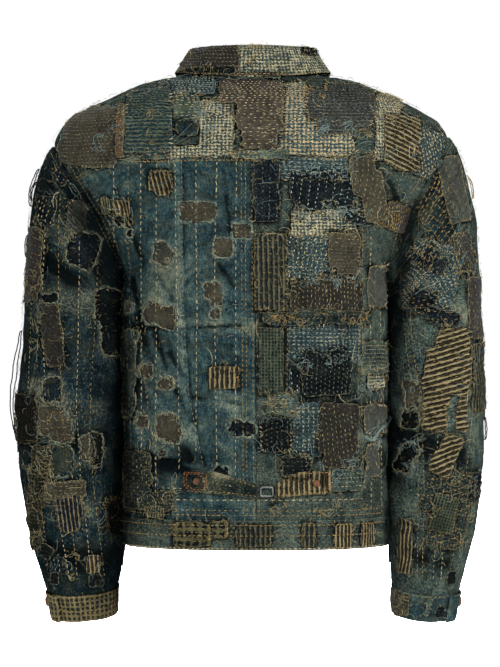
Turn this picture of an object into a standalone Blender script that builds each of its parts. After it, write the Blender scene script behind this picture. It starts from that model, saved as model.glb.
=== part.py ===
"""A patched boro work jacket in its hollow worn form, with no wearer inside. Metres, +Z up.

The front faces -Y and the back +Y, and the wearer's left is +X. The origin is on the centre line
between the shoulders, at the height of the back neck seam, where the wearer holds the jacket up.

Every cloth piece is a grid laid on one of three forms, then given its wall by Solidify:
the torso (angle round the body, level up it), a sleeve (angle round the arm, reach down it), and
the collar (angle round the neck, turn from stand to fall).
"""

import math

import bmesh
import bpy
import numpy as np

# Walls, clearances and the patches' own grids
CLOTH = 0.0018
BAND_CLOTH = 0.0026
PATCH_CLOTH = 0.0009
STRAP_CLOTH = 0.0022
COLLAR_CLOTH = 0.0022
SEAM_GAP = 0.0006
LAY_GAP = 0.0007
YOKE_PATCH_LIFT = 0.0028
PATCH_CELL = 0.018
PATCH_LINE_MARGIN = 0.15
FACET_STEP = 0.35

# Torso sections, hem to neck. An angle of 0 is the wearer's left side, 90 degrees the centre back.
# The lifts raise the centre back and the centre front above the section's height at the side.
# z, half_width, depth to the back, depth to the front, power, back_lift, front_lift, shift in x
TORSO_SECTIONS = np.array([
    (-0.5930, 0.1665, 0.1200, 0.1220, 2.45, 0.000, 0.000, -0.0085),
    (-0.5550, 0.1660, 0.1205, 0.1225, 2.45, 0.000, 0.000, -0.0080),
    (-0.4900, 0.1655, 0.1180, 0.1200, 2.40, 0.000, 0.000, -0.0075),
    (-0.3700, 0.1660, 0.1225, 0.1230, 2.35, 0.000, 0.000, -0.0070),
    (-0.2500, 0.1680, 0.1275, 0.1240, 2.30, 0.000, 0.000, -0.0060),
    (-0.2080, 0.2000, 0.1290, 0.1230, 2.25, 0.000, -0.004, -0.0050),
    (-0.1700, 0.2250, 0.1280, 0.1210, 2.20, 0.000, -0.010, -0.0035),
    (-0.1360, 0.2440, 0.1240, 0.1180, 2.15, 0.000, -0.018, -0.0025),
    (-0.1050, 0.2520, 0.1180, 0.1140, 2.10, 0.000, -0.028, -0.0015),
    (-0.0800, 0.2525, 0.1110, 0.1090, 2.05, 0.000, -0.038, -0.0015),
    (-0.0560, 0.2410, 0.1030, 0.1040, 2.00, 0.000, -0.050, -0.0025),
    (-0.0350, 0.2120, 0.0950, 0.1000, 2.00, 0.000, -0.061, -0.0035),
    (-0.0150, 0.1690, 0.0870, 0.0960, 2.00, -0.002, -0.071, -0.0035),
    (0.0010, 0.1215, 0.0780, 0.0920, 2.00, -0.004, -0.077, -0.0035),
    (0.0060, 0.0850, 0.0690, 0.0880, 2.00, 0.001, -0.079, -0.0035),
])

# Collar rings, from the neck seam up the stand, over the fold and down the fall to its edge.
# turn, then the columns of a torso section
COLLAR_RINGS = np.array([
    (0.00, 0.0085, 0.0845, 0.0690, 0.0880, 2.0, 0.001, -0.079, -0.0035),
    (0.25, 0.0240, 0.0785, 0.0625, 0.0830, 2.0, 0.001, -0.077, -0.0035),
    (0.45, 0.0370, 0.0755, 0.0600, 0.0810, 2.0, 0.001, -0.079, -0.0035),
    (0.53, 0.0410, 0.0775, 0.0620, 0.0830, 2.0, 0.000, -0.080, -0.0035),
    (0.61, 0.0385, 0.0810, 0.0660, 0.0870, 2.0, -0.001, -0.082, -0.0035),
    (0.80, 0.0255, 0.0895, 0.0755, 0.0985, 2.0, -0.005, -0.092, -0.0035),
    (1.00, 0.0112, 0.0995, 0.0840, 0.1120, 2.0, -0.012, -0.118, -0.0035),
])
COLLAR_END = math.radians(-86)
COLLAR_END_SPREAD = math.radians(13)

# Sleeve rings below the cap. An angle of 0 is the back of the arm, 90 degrees its outer side.
# z, left_x, left_half_width, right_x, right_half_width, y, half_depth
SLEEVE_RINGS = np.array([
    (-0.300, 0.2280, 0.0600, 0.2380, 0.0585, -0.004, 0.0640),
    (-0.360, 0.2305, 0.0630, 0.2395, 0.0605, -0.006, 0.0620),
    (-0.421, 0.2330, 0.0670, 0.2405, 0.0610, -0.010, 0.0600),
    (-0.479, 0.2325, 0.0665, 0.2400, 0.0610, -0.017, 0.0570),
    (-0.537, 0.2290, 0.0630, 0.2375, 0.0585, -0.027, 0.0520),
    (-0.595, 0.2225, 0.0585, 0.2340, 0.0535, -0.039, 0.0450),
    (-0.653, 0.2180, 0.0465, 0.2290, 0.0440, -0.053, 0.0365),
    (-0.695, 0.2150, 0.0415, 0.2255, 0.0400, -0.063, 0.0325),
])
SLEEVE_TOP_Z = SLEEVE_RINGS[0, 0]
CUFF_SEAM_Z = -0.653
CUFF_HEM_Z = -0.689
CAP_PULL = 0.58
CAP_LEAVE_OUT = (0.45, 0.35)
CAP_LEAVE_BACK = 0.40
CAP_LEAVE_DOWN = -0.75
SLEEVE_CLEAR = 0.0012
UNDERARM_CLEAR = 0.0018
SLEEVE_SEAM_TURN = 0.0050
SLEEVE_END_REACH = 0.0015
BACK_SEAM_TOP = math.radians(30)
BACK_SEAM_CUFF = math.radians(47)
FRONT_SEAM_TOP = math.radians(195)
FRONT_SEAM_CUFF = math.radians(210)
VENT_START = 0.88
VENT_OPENING = math.radians(3.0)

# Armholes: an oval in angle and height on the torso form.
ARMHOLE_BOTTOM = -0.252
ARMHOLE_TOP = {1: -0.082, -1: -0.070}
ARMHOLE_BACK = math.radians(30)
ARMHOLE_FRONT = math.radians(30)
ARMHOLE_SKEW = 0.15
SHOULDER_SEAM_TURN = math.radians(112)
SHOULDER_SEAM_NECK = math.radians(-38)

# Yoke seam: level across the shoulder blades, falling towards the armholes.
YOKE_Z = -0.1026
YOKE_DROP = 0.0295
BACK_CELLS = (10, 16)
YOKE_CELLS = (20, 6)
YOKE_ARMHOLE_SHARE = 2 / 6
FRONT_CELLS = (8, 15)
FRONT_SHOULDER_SHARE = 4 / 8
PLACKET_CELLS = (2, 14)
SLEEVE_TOP_CELLS = (7, 17)
SLEEVE_UNDER_CELLS = (9, 17)
COLLAR_CELLS = (22, 7)

WAIST_Z = -0.555
PLACKET_HALF = 0.019
FRONT_LAP = 0.014
LAP_RUN = 0.024
LAP_EDGE = 0.002
LAP_DEPTH = 0.0044
BAND_LAP_DEPTH = 0.0046

# Cuffs: each band starts over the vent, runs once round the arm and ends under its own start.
CUFF_END = math.radians(40)
CUFF_TURN = math.radians(375)
CUFF_RISE = 0.0046
CUFF_STAND = 0.0002
CUFF_LAP = 0.22
CUFF_CELLS = (22, 2)

# Cinch straps on the back, from the sewn box to the buckle.
# x, z, half_height
STRAP_LEFT = np.array([
    (0.083, -0.5065, 0.0142),
    (0.052, -0.5075, 0.0140),
    (0.020, -0.5130, 0.0112),
    (-0.0105, -0.5190, 0.0090),
])
STRAP_RIGHT = np.array([
    (-0.0985, -0.5080, 0.0145),
    (-0.0640, -0.5095, 0.0145),
    (-0.0480, -0.5130, 0.0125),
    (-0.0310, -0.5195, 0.0085),
])
STRAP_STAND = 0.0040
BUCKLE_CENTRE = (-0.0207, -0.5195)
BUCKLE_SIZE = (0.0150, 0.0110)
BUCKLE_WIRE = 0.0010
BUCKLE_CORNER = 0.0020
RIVETS = {"left": (0.065, -0.507), "right": (-0.081, -0.5095)}
RIVET_RADIUS = 0.0045
RIVET_HEIGHT = 0.0018

BUTTON_RADIUS = 0.0085
BUTTON_HEIGHT = 0.0040
BUTTON_HEIGHTS = (-0.112, -0.222, -0.332, -0.442, -0.572)
BUTTON_BEVEL = 0.3
BUTTON_SIDES = 16
RIVET_SIDES = 12
CUFF_BUTTON_RADIUS = 0.0070
CUFF_BUTTON_GAP = 0.0008
CUFF_BUTTON_TURN = math.radians(98)

# Folds and pleats on the back: ridges above zero, troughs below, in x and z across the body.
# x_start, z_start, x_end, z_end, width, height
BACK_FOLDS = np.array([
    (0.090, -0.105, 0.087, -0.280, 0.009, 0.0028),
    (0.087, -0.280, 0.080, -0.400, 0.009, 0.0028),
    (0.080, -0.400, 0.060, -0.492, 0.010, 0.0030),
    (-0.139, -0.190, -0.138, -0.405, 0.009, 0.0026),
    (0.124, -0.232, 0.066, -0.284, 0.012, 0.0030),
    (0.070, -0.236, 0.126, -0.290, 0.011, 0.0026),
    (0.126, -0.404, 0.082, -0.458, 0.013, 0.0040),
    (0.108, -0.440, 0.064, -0.484, 0.010, -0.0034),
    (0.052, -0.386, 0.004, -0.424, 0.014, 0.0034),
    (-0.148, -0.448, -0.098, -0.486, 0.013, 0.0034),
    (-0.104, -0.520, -0.040, -0.532, 0.010, 0.0030),
    (0.112, -0.486, 0.066, -0.492, 0.010, -0.0030),
])
SLEEVE_FOLDS = np.array([
    (0.262, -0.165, 0.206, -0.236, 0.014, 0.0040),
    (0.280, -0.215, 0.214, -0.262, 0.012, -0.0035),
    (0.284, -0.300, 0.196, -0.276, 0.014, 0.0042),
    (0.286, -0.388, 0.190, -0.426, 0.016, 0.0046),
    (0.184, -0.452, 0.276, -0.486, 0.014, -0.0036),
    (0.278, -0.520, 0.186, -0.556, 0.014, 0.0040),
    (0.190, -0.606, 0.262, -0.622, 0.011, -0.0028),
])

# Where the folds fade in: by the sine round the body, the cosine round the arm, the reach down it
FOLDS_FADE_BODY = (0.15, 0.45)
FOLDS_FADE_ARM = (0.0, 0.4)
FOLDS_FADE_CAP = (0.05, 0.3)

# Applied patches: the panel each lies on, then its edges seen from the back.
# x_left, x_right, z_top, z_bottom
PATCHES = {
    "patch_yoke_brown_left": ("yoke", "brown", (0.204, 0.158, -0.050, -0.108)),
    "patch_yoke_teal": ("yoke", "indigo", (0.154, 0.096, -0.026, -0.098)),
    "patch_yoke_weave": ("yoke", "boucle", (0.060, 0.021, -0.032, -0.096)),
    "patch_yoke_brown_centre": ("yoke", "brown", (0.012, -0.040, -0.014, -0.094)),
    "patch_yoke_charcoal": ("yoke", "charcoal", (-0.070, -0.156, -0.018, -0.070)),
    "patch_yoke_stripe": ("yoke", "stripe", (-0.166, -0.206, -0.050, -0.106)),
    "patch_navy_strip": ("back_right", "navy", (-0.003, -0.036, -0.108, -0.184)),
    "patch_navy_sashiko": ("back_right", "navy", (-0.050, -0.126, -0.124, -0.168)),
    "patch_brown_blade": ("back_right", "brown", (-0.130, -0.168, -0.112, -0.182)),
    "patch_stripe_upper": ("back_right", "stripe", (-0.006, -0.044, -0.203, -0.294)),
    "patch_kasuri_upper": ("back_right", "boucle", (-0.046, -0.092, -0.204, -0.252)),
    "patch_brown_upper": ("back_right", "brown", (-0.096, -0.134, -0.196, -0.244)),
    "patch_brown_large": ("back_right", "brown", (-0.050, -0.134, -0.256, -0.292)),
    "patch_green_plaid": ("back_right", "green", (-0.011, -0.040, -0.316, -0.400)),
    "patch_black": ("back_right", "navy", (-0.064, -0.124, -0.346, -0.402)),
    "patch_navy_low": ("back_right", "navy", (-0.014, -0.049, -0.428, -0.470)),
    "patch_charcoal_low": ("back_right", "charcoal", (-0.086, -0.134, -0.412, -0.486)),
    "patch_stripe_diagonal": ("back_left", "stripe", (0.124, 0.096, -0.120, -0.146)),
    "patch_brown_left": ("back_left", "brown", (0.084, 0.044, -0.162, -0.184)),
    "patch_stripe_small": ("back_left", "stripe", (0.050, 0.014, -0.364, -0.392)),
    "patch_sleeve_stripe": ("sleeve_under_right", "stripe", (-0.222, -0.254, -0.320, -0.440)),
    "patch_sleeve_brown": ("sleeve_under_left", "brown", (0.252, 0.222, -0.420, -0.456)),
}

# Base colour, roughness and metallic value of each material
MATERIALS = {
    "indigo": ((0.040, 0.070, 0.078), 0.90, 0.0),
    "boucle": ((0.150, 0.155, 0.125), 0.95, 0.0),
    "brown": ((0.060, 0.055, 0.040), 0.92, 0.0),
    "charcoal": ((0.055, 0.060, 0.055), 0.92, 0.0),
    "navy": ((0.013, 0.018, 0.022), 0.88, 0.0),
    "stripe": ((0.110, 0.100, 0.070), 0.92, 0.0),
    "green": ((0.035, 0.046, 0.038), 0.92, 0.0),
    "copper": ((0.420, 0.190, 0.100), 0.45, 1.0),
    "steel": ((0.330, 0.320, 0.300), 0.50, 1.0),
}


def spline(keys, rows, at):
    """Rows of a table read between its keys by a smooth curve that never overshoots them."""
    at = np.clip(at, keys[0], keys[-1])
    steps = np.diff(keys)[:, None]
    slopes = np.diff(rows, axis=0) / steps
    tangents = np.vstack([slopes[:1], np.zeros_like(slopes[1:]), slopes[-1:]])
    product = slopes[:-1] * slopes[1:]
    total = slopes[:-1] + slopes[1:]
    tangents[1:-1] = np.where(product > 0, 2 * product / np.where(total == 0, 1, total), 0)
    cell = np.clip(np.searchsorted(keys, at, side="right") - 1, 0, len(keys) - 2)
    step = steps[cell]
    part = (at[:, None] - keys[cell][:, None]) / step
    low = (1 + 2 * part) * (1 - part) ** 2 * rows[cell]
    high = part ** 2 * (3 - 2 * part) * rows[cell + 1]
    leave = part * (1 - part) ** 2 * step * tangents[cell]
    arrive = part ** 2 * (part - 1) * step * tangents[cell + 1]
    return low + high + leave + arrive


def smooth_step(start, end, value):
    part = np.clip((value - start) / (end - start), 0, 1)
    return part * part * (3 - 2 * part)


def levels_of(sections):
    """Distance up the body to each section, along the mean of its side and its centre back."""
    side = np.hypot(np.diff(sections[:, 1]), np.diff(sections[:, 0]))
    back = np.hypot(np.diff(sections[:, 2]), np.diff(sections[:, 0] + sections[:, 5]))
    return np.concatenate([[0], np.cumsum((side + back) / 2)])


TORSO_LEVELS = levels_of(TORSO_SECTIONS)
NECK_LEVEL = TORSO_LEVELS[-1]


def ring_point(columns, angle):
    """Points on superelliptic rings, one ring row for each angle."""
    z, half_width, back, front, power, back_lift, front_lift, shift = columns.T
    across = np.cos(angle)
    along = np.sin(angle)
    x = shift + half_width * np.sign(across) * np.abs(across) ** (2 / power)
    depth = np.where(along > 0, back, front)
    y = depth * np.sign(along) * np.abs(along) ** (2 / power)
    return np.stack([x, y, z + np.where(along > 0, back_lift, front_lift) * along ** 2], axis=1)


def level_at(z):
    """The level whose height at the side seam is z."""
    levels = np.linspace(0, NECK_LEVEL, 400)
    return np.interp(z, spline(TORSO_LEVELS, TORSO_SECTIONS, levels)[:, 0], levels)


def relief(folds, x, z):
    """Height of the folds over the plain form at x, z."""
    total = np.zeros_like(x)
    for x_start, z_start, x_end, z_end, width, height in folds:
        run = np.array([x_end - x_start, z_end - z_start])
        length = np.hypot(*run)
        along = ((x - x_start) * run[0] + (z - z_start) * run[1]) / length
        off = ((x - x_start) * run[1] - (z - z_start) * run[0]) / length
        ends = smooth_step(-width, width, along) * smooth_step(-width, width, length - along)
        total += height * np.exp(-((off / width) ** 2)) * ends
    return total


def outward(form, first, second, centre_of):
    """Unit normals of a form, turned away from its own centre line."""
    step = 1e-4
    point = form(first, second)
    one = form(first + step, second) - form(first - step, second)
    two = form(first, second + step) - form(first, second - step)
    normal = np.cross(one, two)
    normal /= np.linalg.norm(normal, axis=1)[:, None]
    facing = (normal * (point - centre_of(point))).sum(axis=1)
    return normal * np.where(facing < 0, -1, 1)[:, None]


def torso_plain(angle, level):
    return ring_point(spline(TORSO_LEVELS, TORSO_SECTIONS, level), angle)


def torso_centre(point):
    return point * np.array([0.25, 0, 1]) + np.array([0, 0, -0.03])


def torso_point(angle, level, lift=0.0):
    """A point on the torso with its folds, moved out by lift."""
    angle, level, lift = np.broadcast_arrays(angle, level, lift)
    level = np.clip(level, 2e-4, NECK_LEVEL - 2e-4)
    point = torso_plain(angle, level)
    normal = outward(torso_plain, angle, level, torso_centre)
    on_back = smooth_step(*FOLDS_FADE_BODY, np.sin(angle))
    height = relief(BACK_FOLDS, point[:, 0], point[:, 2]) * on_back
    return point + normal * (height + lift)[:, None]


def armhole(side, turn):
    """Angle and level on the torso of the armhole seam, turn 0 at the back and 90 degrees on top."""
    top = ARMHOLE_TOP[side]
    z = (top + ARMHOLE_BOTTOM) / 2 + (top - ARMHOLE_BOTTOM) / 2 * np.sin(turn)
    reach = np.where(np.cos(turn) > 0, ARMHOLE_BACK, ARMHOLE_FRONT)
    angle = reach * np.cos(turn) * (1 - ARMHOLE_SKEW * np.sin(turn))
    return mirrored(side, angle), level_at(z)


def mirrored(side, angle):
    """The angle itself on the wearer's left, and its mirror image on the right."""
    return angle if side > 0 else math.pi - angle


def yoke_level(side, angle):
    """Level of the yoke seam at an angle on one side of the back."""
    end = armhole(side, np.array([yoke_end(side)]))
    end_x = abs(torso_plain(*end)[0, 0])
    level = level_at(np.full_like(angle, YOKE_Z))
    for _ in range(12):
        x = torso_plain(angle, level)[:, 0]
        level = level_at(YOKE_Z - YOKE_DROP * (np.abs(x) / end_x) ** 4)
    return level


def yoke_end(side):
    """Turn of the armhole at which the yoke seam meets it."""
    top = ARMHOLE_TOP[side]
    middle = (top + ARMHOLE_BOTTOM) / 2
    return math.asin((YOKE_Z - YOKE_DROP - middle) / (top - middle))


def joined(*pieces):
    """One edge from several runs of (angle, level) points, evened out by length on the torso."""
    angle = np.concatenate([piece[0] for piece in pieces])
    level = np.concatenate([piece[1] for piece in pieces])
    steps = np.linalg.norm(np.diff(torso_plain(angle, level), axis=0), axis=1)
    length = np.concatenate([[0], np.cumsum(steps)])

    def edge(part):
        at = part * length[-1]
        return np.stack([np.interp(at, length, angle), np.interp(at, length, level)])

    edge.length = length[-1]
    return edge


def split(first, second, share):
    """Two edges end to end, with the corner between them at a share of the grid."""
    def edge(part):
        near = first(np.clip(part / share, 0, 1))
        far = second(np.clip((part - share) / (1 - share), 0, 1))
        return np.where(part < share, near, far)

    edge.length = first.length + second.length
    return edge


def reverse(edge):
    def turned(part):
        return edge(1 - part)

    turned.length = edge.length
    return turned


def run(start, end, count=60):
    """A straight run of (angle, level) points between two."""
    part = np.linspace(0, 1, count)
    return start[0] + (end[0] - start[0]) * part, start[1] + (end[1] - start[1]) * part


def armhole_run(side, start, end):
    return armhole(side, np.linspace(start, end, 80))


def quilt(bottom, top, start, end):
    """Angle and level across a panel from its four edges, drawn in by half a seam gap."""
    across = (bottom.length + top.length) / 2
    up = (start.length + end.length) / 2

    def place(u, v):
        u = SEAM_GAP / 2 / across + u * (1 - SEAM_GAP / across)
        v = SEAM_GAP / 2 / up + v * (1 - SEAM_GAP / up)
        low, high = bottom(np.array([0.0, 1.0])), top(np.array([0.0, 1.0]))
        ruled = (1 - v) * bottom(u) + v * top(u) + (1 - u) * start(v) + u * end(v)
        corners = (1 - u) * ((1 - v) * low[:, :1] + v * high[:, :1])
        corners += u * ((1 - v) * low[:, 1:] + v * high[:, 1:])
        return ruled - corners

    return place


def back_panel(side):
    waist = level_at(WAIST_Z)
    middle = math.pi / 2
    side_angle = mirrored(side, 0.0)
    top = yoke_half_seam(side)
    underarm = (side_angle, level_at(ARMHOLE_BOTTOM))
    return quilt(
        joined(run((side_angle, waist), (middle, waist))),
        top,
        joined(run((side_angle, waist), underarm, 30), armhole_run(side, -math.pi / 2, yoke_end(side))),
        joined(run((middle, waist), (middle, top(np.array([1.0]))[1, 0]))),
    )


def yoke_side(side):
    """The yoke's end: up the armhole, over the shoulder and along the front shoulder seam."""
    hole = armhole_run(side, yoke_end(side), SHOULDER_SEAM_TURN)
    neck = (mirrored(side, SHOULDER_SEAM_NECK), NECK_LEVEL)
    return split(joined(hole), joined(run((hole[0][-1], hole[1][-1]), neck)), YOKE_ARMHOLE_SHARE)


def yoke_half_seam(side):
    """The yoke seam from an armhole to the centre back."""
    outer = armhole(side, np.array([yoke_end(side)]))[0][0]
    angle = np.linspace(outer, math.pi / 2, 60)
    return joined((angle, yoke_level(side, angle)))


def yoke_panel():
    neck = run((SHOULDER_SEAM_NECK, NECK_LEVEL), (math.pi - SHOULDER_SEAM_NECK, NECK_LEVEL), 120)
    seam = split(yoke_half_seam(1), reverse(yoke_half_seam(-1)), 0.5)
    return quilt(seam, joined(neck), yoke_side(1), yoke_side(-1))


def front_line(side, x, start, end):
    """A vertical line up the front, x from its centre towards the wearer's left."""
    levels = np.linspace(start, end, 60)
    columns = spline(TORSO_LEVELS, TORSO_SECTIONS, levels)
    off = np.arcsin((abs(x) / columns[:, 1]) ** (columns[:, 4] / 2))
    return mirrored(side, -math.pi / 2) + math.copysign(1, x) * off, levels


def front_panel(side, edge_x):
    waist = level_at(WAIST_Z)
    side_angle = mirrored(side, 0.0)
    inner = front_line(side, edge_x, waist, NECK_LEVEL)
    hole = armhole_run(side, -math.pi / 2, -2 * math.pi + SHOULDER_SEAM_TURN)
    neck = (mirrored(side, SHOULDER_SEAM_NECK), NECK_LEVEL)
    shoulder = joined(run((hole[0][-1], hole[1][-1]), neck))
    return quilt(
        joined(run((side_angle, waist), (inner[0][0], waist))),
        split(shoulder, joined(run(neck, (inner[0][-1], NECK_LEVEL))), FRONT_SHOULDER_SHARE),
        joined(run((side_angle, waist), (side_angle, level_at(ARMHOLE_BOTTOM)), 30), hole),
        joined(inner),
    )


def front_strip(left_x, right_x, start, end):
    """A strip up the centre front between two vertical lines."""
    left = front_line(1, left_x, start, end)
    right = front_line(1, right_x, start, end)
    return quilt(
        joined(run((left[0][0], start), (right[0][0], start))),
        joined(run((left[0][-1], end), (right[0][-1], end))),
        joined(left),
        joined(right),
    )


def torso_panel(place, lift=0.0):
    def surface(u, v):
        angle, level = place(u, v)
        return torso_point(angle, level, lift)

    return surface


def lapped(place, depth):
    """A right front, whose edge drops under the piece that laps over it."""
    def surface(u, v):
        angle, level = place(u, v)
        shift = spline(TORSO_LEVELS, TORSO_SECTIONS, level)[:, 7]
        x = torso_plain(angle, level)[:, 0] - shift
        drop = smooth_step(-PLACKET_HALF - LAP_RUN, -PLACKET_HALF - LAP_EDGE, x)
        return torso_point(angle, level, -depth * drop)

    return surface


def waistband(start, end):
    """Angle and level over the waistband between two lines of (angle, level) points."""
    return quilt(
        joined(run((start[0][0], 0.0), (end[0][0], 0.0))),
        joined(run((start[0][-1], end[1][-1]), (end[0][-1], end[1][-1]))),
        joined(start),
        joined(end),
    )


def collar_surface(u, v):
    end = COLLAR_END + COLLAR_END_SPREAD * v
    angle = end + u * (math.pi - 2 * end)
    return ring_point(spline(COLLAR_RINGS[:, 0], COLLAR_RINGS[:, 1:], v), angle)


def sleeve_ring(side, turn, z):
    """A point on the sleeve below its cap, at the height z of the arm's centre line."""
    table = SLEEVE_RINGS[::-1]
    columns = [1, 2, 5, 6] if side > 0 else [3, 4, 5, 6]
    read = spline(table[:, 0], table[:, columns], z)
    slope = (spline(table[:, 0], table[:, columns], z + 1e-3) - read) / 1e-3
    dx = read[:, 1] * np.sin(turn)
    dy = read[:, 3] * np.cos(turn)
    tilt = dx * slope[:, 0] + dy * slope[:, 2]
    return np.stack([side * (read[:, 0] + dx), read[:, 2] + dy, z - tilt], axis=1)


def sleeve_plain(side):
    """The sleeve's form: reach 0 is the armhole seam, 1 the end of the cap, 2 the bottom ring."""
    def form(turn, reach):
        hole = torso_plain(*armhole(side, turn))
        hole[:, 0] += side * (CLOTH / 2 + SLEEVE_CLEAR - UNDERARM_CLEAR * np.minimum(np.sin(turn), 0))
        ring = sleeve_ring(side, turn, np.full_like(turn, SLEEVE_TOP_Z))
        chord = np.linalg.norm(ring - hole, axis=1)[:, None]
        out = side * (CAP_LEAVE_OUT[0] + CAP_LEAVE_OUT[1] * np.sin(turn))
        leave = np.stack([out, CAP_LEAVE_BACK * np.cos(turn), np.full_like(turn, CAP_LEAVE_DOWN)], axis=1)
        leave *= CAP_PULL * chord / np.linalg.norm(leave, axis=1)[:, None]
        arrive = chord * np.array([0, 0, -1.0])
        part = np.clip(reach, 0, 1)[:, None]
        cap = (1 + 2 * part) * (1 - part) ** 2 * hole + part ** 2 * (3 - 2 * part) * ring
        cap += part * (1 - part) ** 2 * leave + part ** 2 * (part - 1) * arrive
        down = SLEEVE_TOP_Z + (SLEEVE_RINGS[-1, 0] - SLEEVE_TOP_Z) * (reach - 1)
        return np.where((reach < 1)[:, None], cap, sleeve_ring(side, turn, down))

    return form


def arm_centre(side):
    """The middle of the arm beside each point of a sleeve."""
    table = SLEEVE_RINGS[::-1]

    def centre(point):
        column = 1 if side > 0 else 3
        x = side * np.interp(point[:, 2], table[:, 0], table[:, column])
        y = np.interp(point[:, 2], table[:, 0], table[:, 5])
        return np.stack([x - side * 0.02, y, np.minimum(point[:, 2], -0.14)], axis=1)

    return centre


def sleeve_point(side, turn, reach, lift=0.0):
    form = sleeve_plain(side)
    turn, reach, lift = np.broadcast_arrays(turn, reach, lift)
    point = form(turn, reach)
    normal = outward(form, turn, np.clip(reach, 2e-4, 2 - 2e-4), arm_centre(side))
    on_back = smooth_step(*FOLDS_FADE_ARM, np.cos(turn)) * smooth_step(*FOLDS_FADE_CAP, reach)
    height = relief(SLEEVE_FOLDS, np.abs(point[:, 0]), point[:, 2]) * on_back
    return point + normal * (height + lift)[:, None]


def reach_at(z):
    return 1 + (z - SLEEVE_TOP_Z) / (SLEEVE_RINGS[-1, 0] - SLEEVE_TOP_Z)


def sleeve_panel(side, top_piece):
    """One of a sleeve's two pieces, between its back and front seams, with the vent above the cuff."""
    last = reach_at(CUFF_SEAM_Z) - SLEEVE_END_REACH
    gap = SLEEVE_SEAM_TURN

    def surface(u, v):
        reach = v * last
        back = BACK_SEAM_TOP + (BACK_SEAM_CUFF - BACK_SEAM_TOP) * v
        front = FRONT_SEAM_TOP + (FRONT_SEAM_CUFF - FRONT_SEAM_TOP) * v
        vent = VENT_OPENING * smooth_step(VENT_START, 1.0, v)
        if top_piece:
            start, end = back + gap + vent, front - gap
        else:
            start, end = back + 2 * math.pi - gap, front + gap
        return sleeve_point(side, start + (end - start) * u, reach)

    return surface


def cuff_surface(side):
    def surface(u, v):
        z = CUFF_HEM_Z + v * (CUFF_SEAM_Z - SEAM_GAP - CUFF_HEM_Z)
        lift = CUFF_RISE * (1 - smooth_step(0, CUFF_LAP, u)) + CUFF_STAND
        return sleeve_point(side, CUFF_END + CUFF_TURN * u, reach_at(z), lift)

    return surface


def find_on_back(x, z):
    """Angle and level of the point of the back at x, z."""
    angle = np.full_like(x, math.pi / 2)
    level = level_at(z)
    for _ in range(12):
        columns = spline(TORSO_LEVELS, TORSO_SECTIONS, level)
        side = np.clip((x - columns[:, 7]) / columns[:, 1], -0.999, 0.999)
        angle = np.arccos(np.sign(side) * np.abs(side) ** (columns[:, 4] / 2))
        level = level_at(z - columns[:, 5] * np.sin(angle) ** 2)
    return angle, level


def strap_surface(table):
    order = np.argsort(table[:, 0])
    keys = table[order, 0]

    def surface(u, v):
        x = keys[0] + (keys[-1] - keys[0]) * u
        read = spline(keys, table[order, 1:], x)
        z = read[:, 0] + read[:, 1] * (2 * v - 1)
        return torso_point(*find_on_back(x, z), STRAP_STAND)

    return surface


def material(name):
    if name in bpy.data.materials:
        return bpy.data.materials[name]
    colour, roughness, metallic = MATERIALS[name]
    made = bpy.data.materials.new(name)
    made.use_nodes = True
    shader = made.node_tree.nodes["Principled BSDF"]
    shader.inputs["Base Color"].default_value = (*colour, 1)
    shader.inputs["Roughness"].default_value = roughness
    shader.inputs["Metallic"].default_value = metallic
    made.diffuse_color = (*colour, 1)
    return made


def add_object(name, mesh, look, collection):
    obj = bpy.data.objects.new(name, mesh)
    collection.objects.link(obj)
    mesh.materials.append(material(look))
    return obj


def unit_grid(columns, rows):
    """A grid primitive over 0 to 1 both ways, and the u and v of its points."""
    grid = bmesh.new()
    bmesh.ops.create_grid(grid, x_segments=columns, y_segments=rows, size=1.0)
    points = np.array([vertex.co for vertex in grid.verts])
    spread = points.max(axis=0)[:2] - points.min(axis=0)[:2]
    return grid, (points[:, :2] - points.min(axis=0)[:2]) / spread


def shell(name, grid, places, wall, look, collection):
    """An object from a grid whose points go to the given places, with its wall by Solidify."""
    for vertex, place in zip(grid.verts, places):
        vertex.co = place
    mesh = bpy.data.meshes.new(name)
    grid.to_mesh(mesh)
    grid.free()
    mesh.shade_smooth()
    obj = add_object(name, mesh, look, collection)
    solid = obj.modifiers.new("wall", "SOLIDIFY")
    solid.thickness = wall
    solid.offset = 0
    solid.use_quality_normals = True
    return obj


def cloth(name, surface, columns, rows, collection, wall=CLOTH, look="indigo"):
    grid, uv = unit_grid(columns, rows)
    return shell(name, grid, surface(uv[:, 0], uv[:, 1]), wall, look, collection)


def nearest_uv(surface, x, z):
    """The u and v at which a panel's back face passes x, z."""
    part = np.linspace(0, 1, 161)
    uv = np.stack(np.meshgrid(part, part), axis=-1).reshape(-1, 2)
    points = surface(uv[:, 0], uv[:, 1])
    off = np.hypot(points[:, 0] - x, points[:, 2] - z) + np.where(points[:, 1] < -0.02, 1.0, 0.0)
    return uv[np.argmin(off)]


def grid_lines(low, high, count):
    """A patch's own edge values, with the lines of its panel's grid that pass between them."""
    lines = np.arange(1, count) / count
    margin = PATCH_LINE_MARGIN / count
    inside = lines[(lines > low + margin) & (lines < high - margin)]
    return np.concatenate([[low], inside, [high]])


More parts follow.
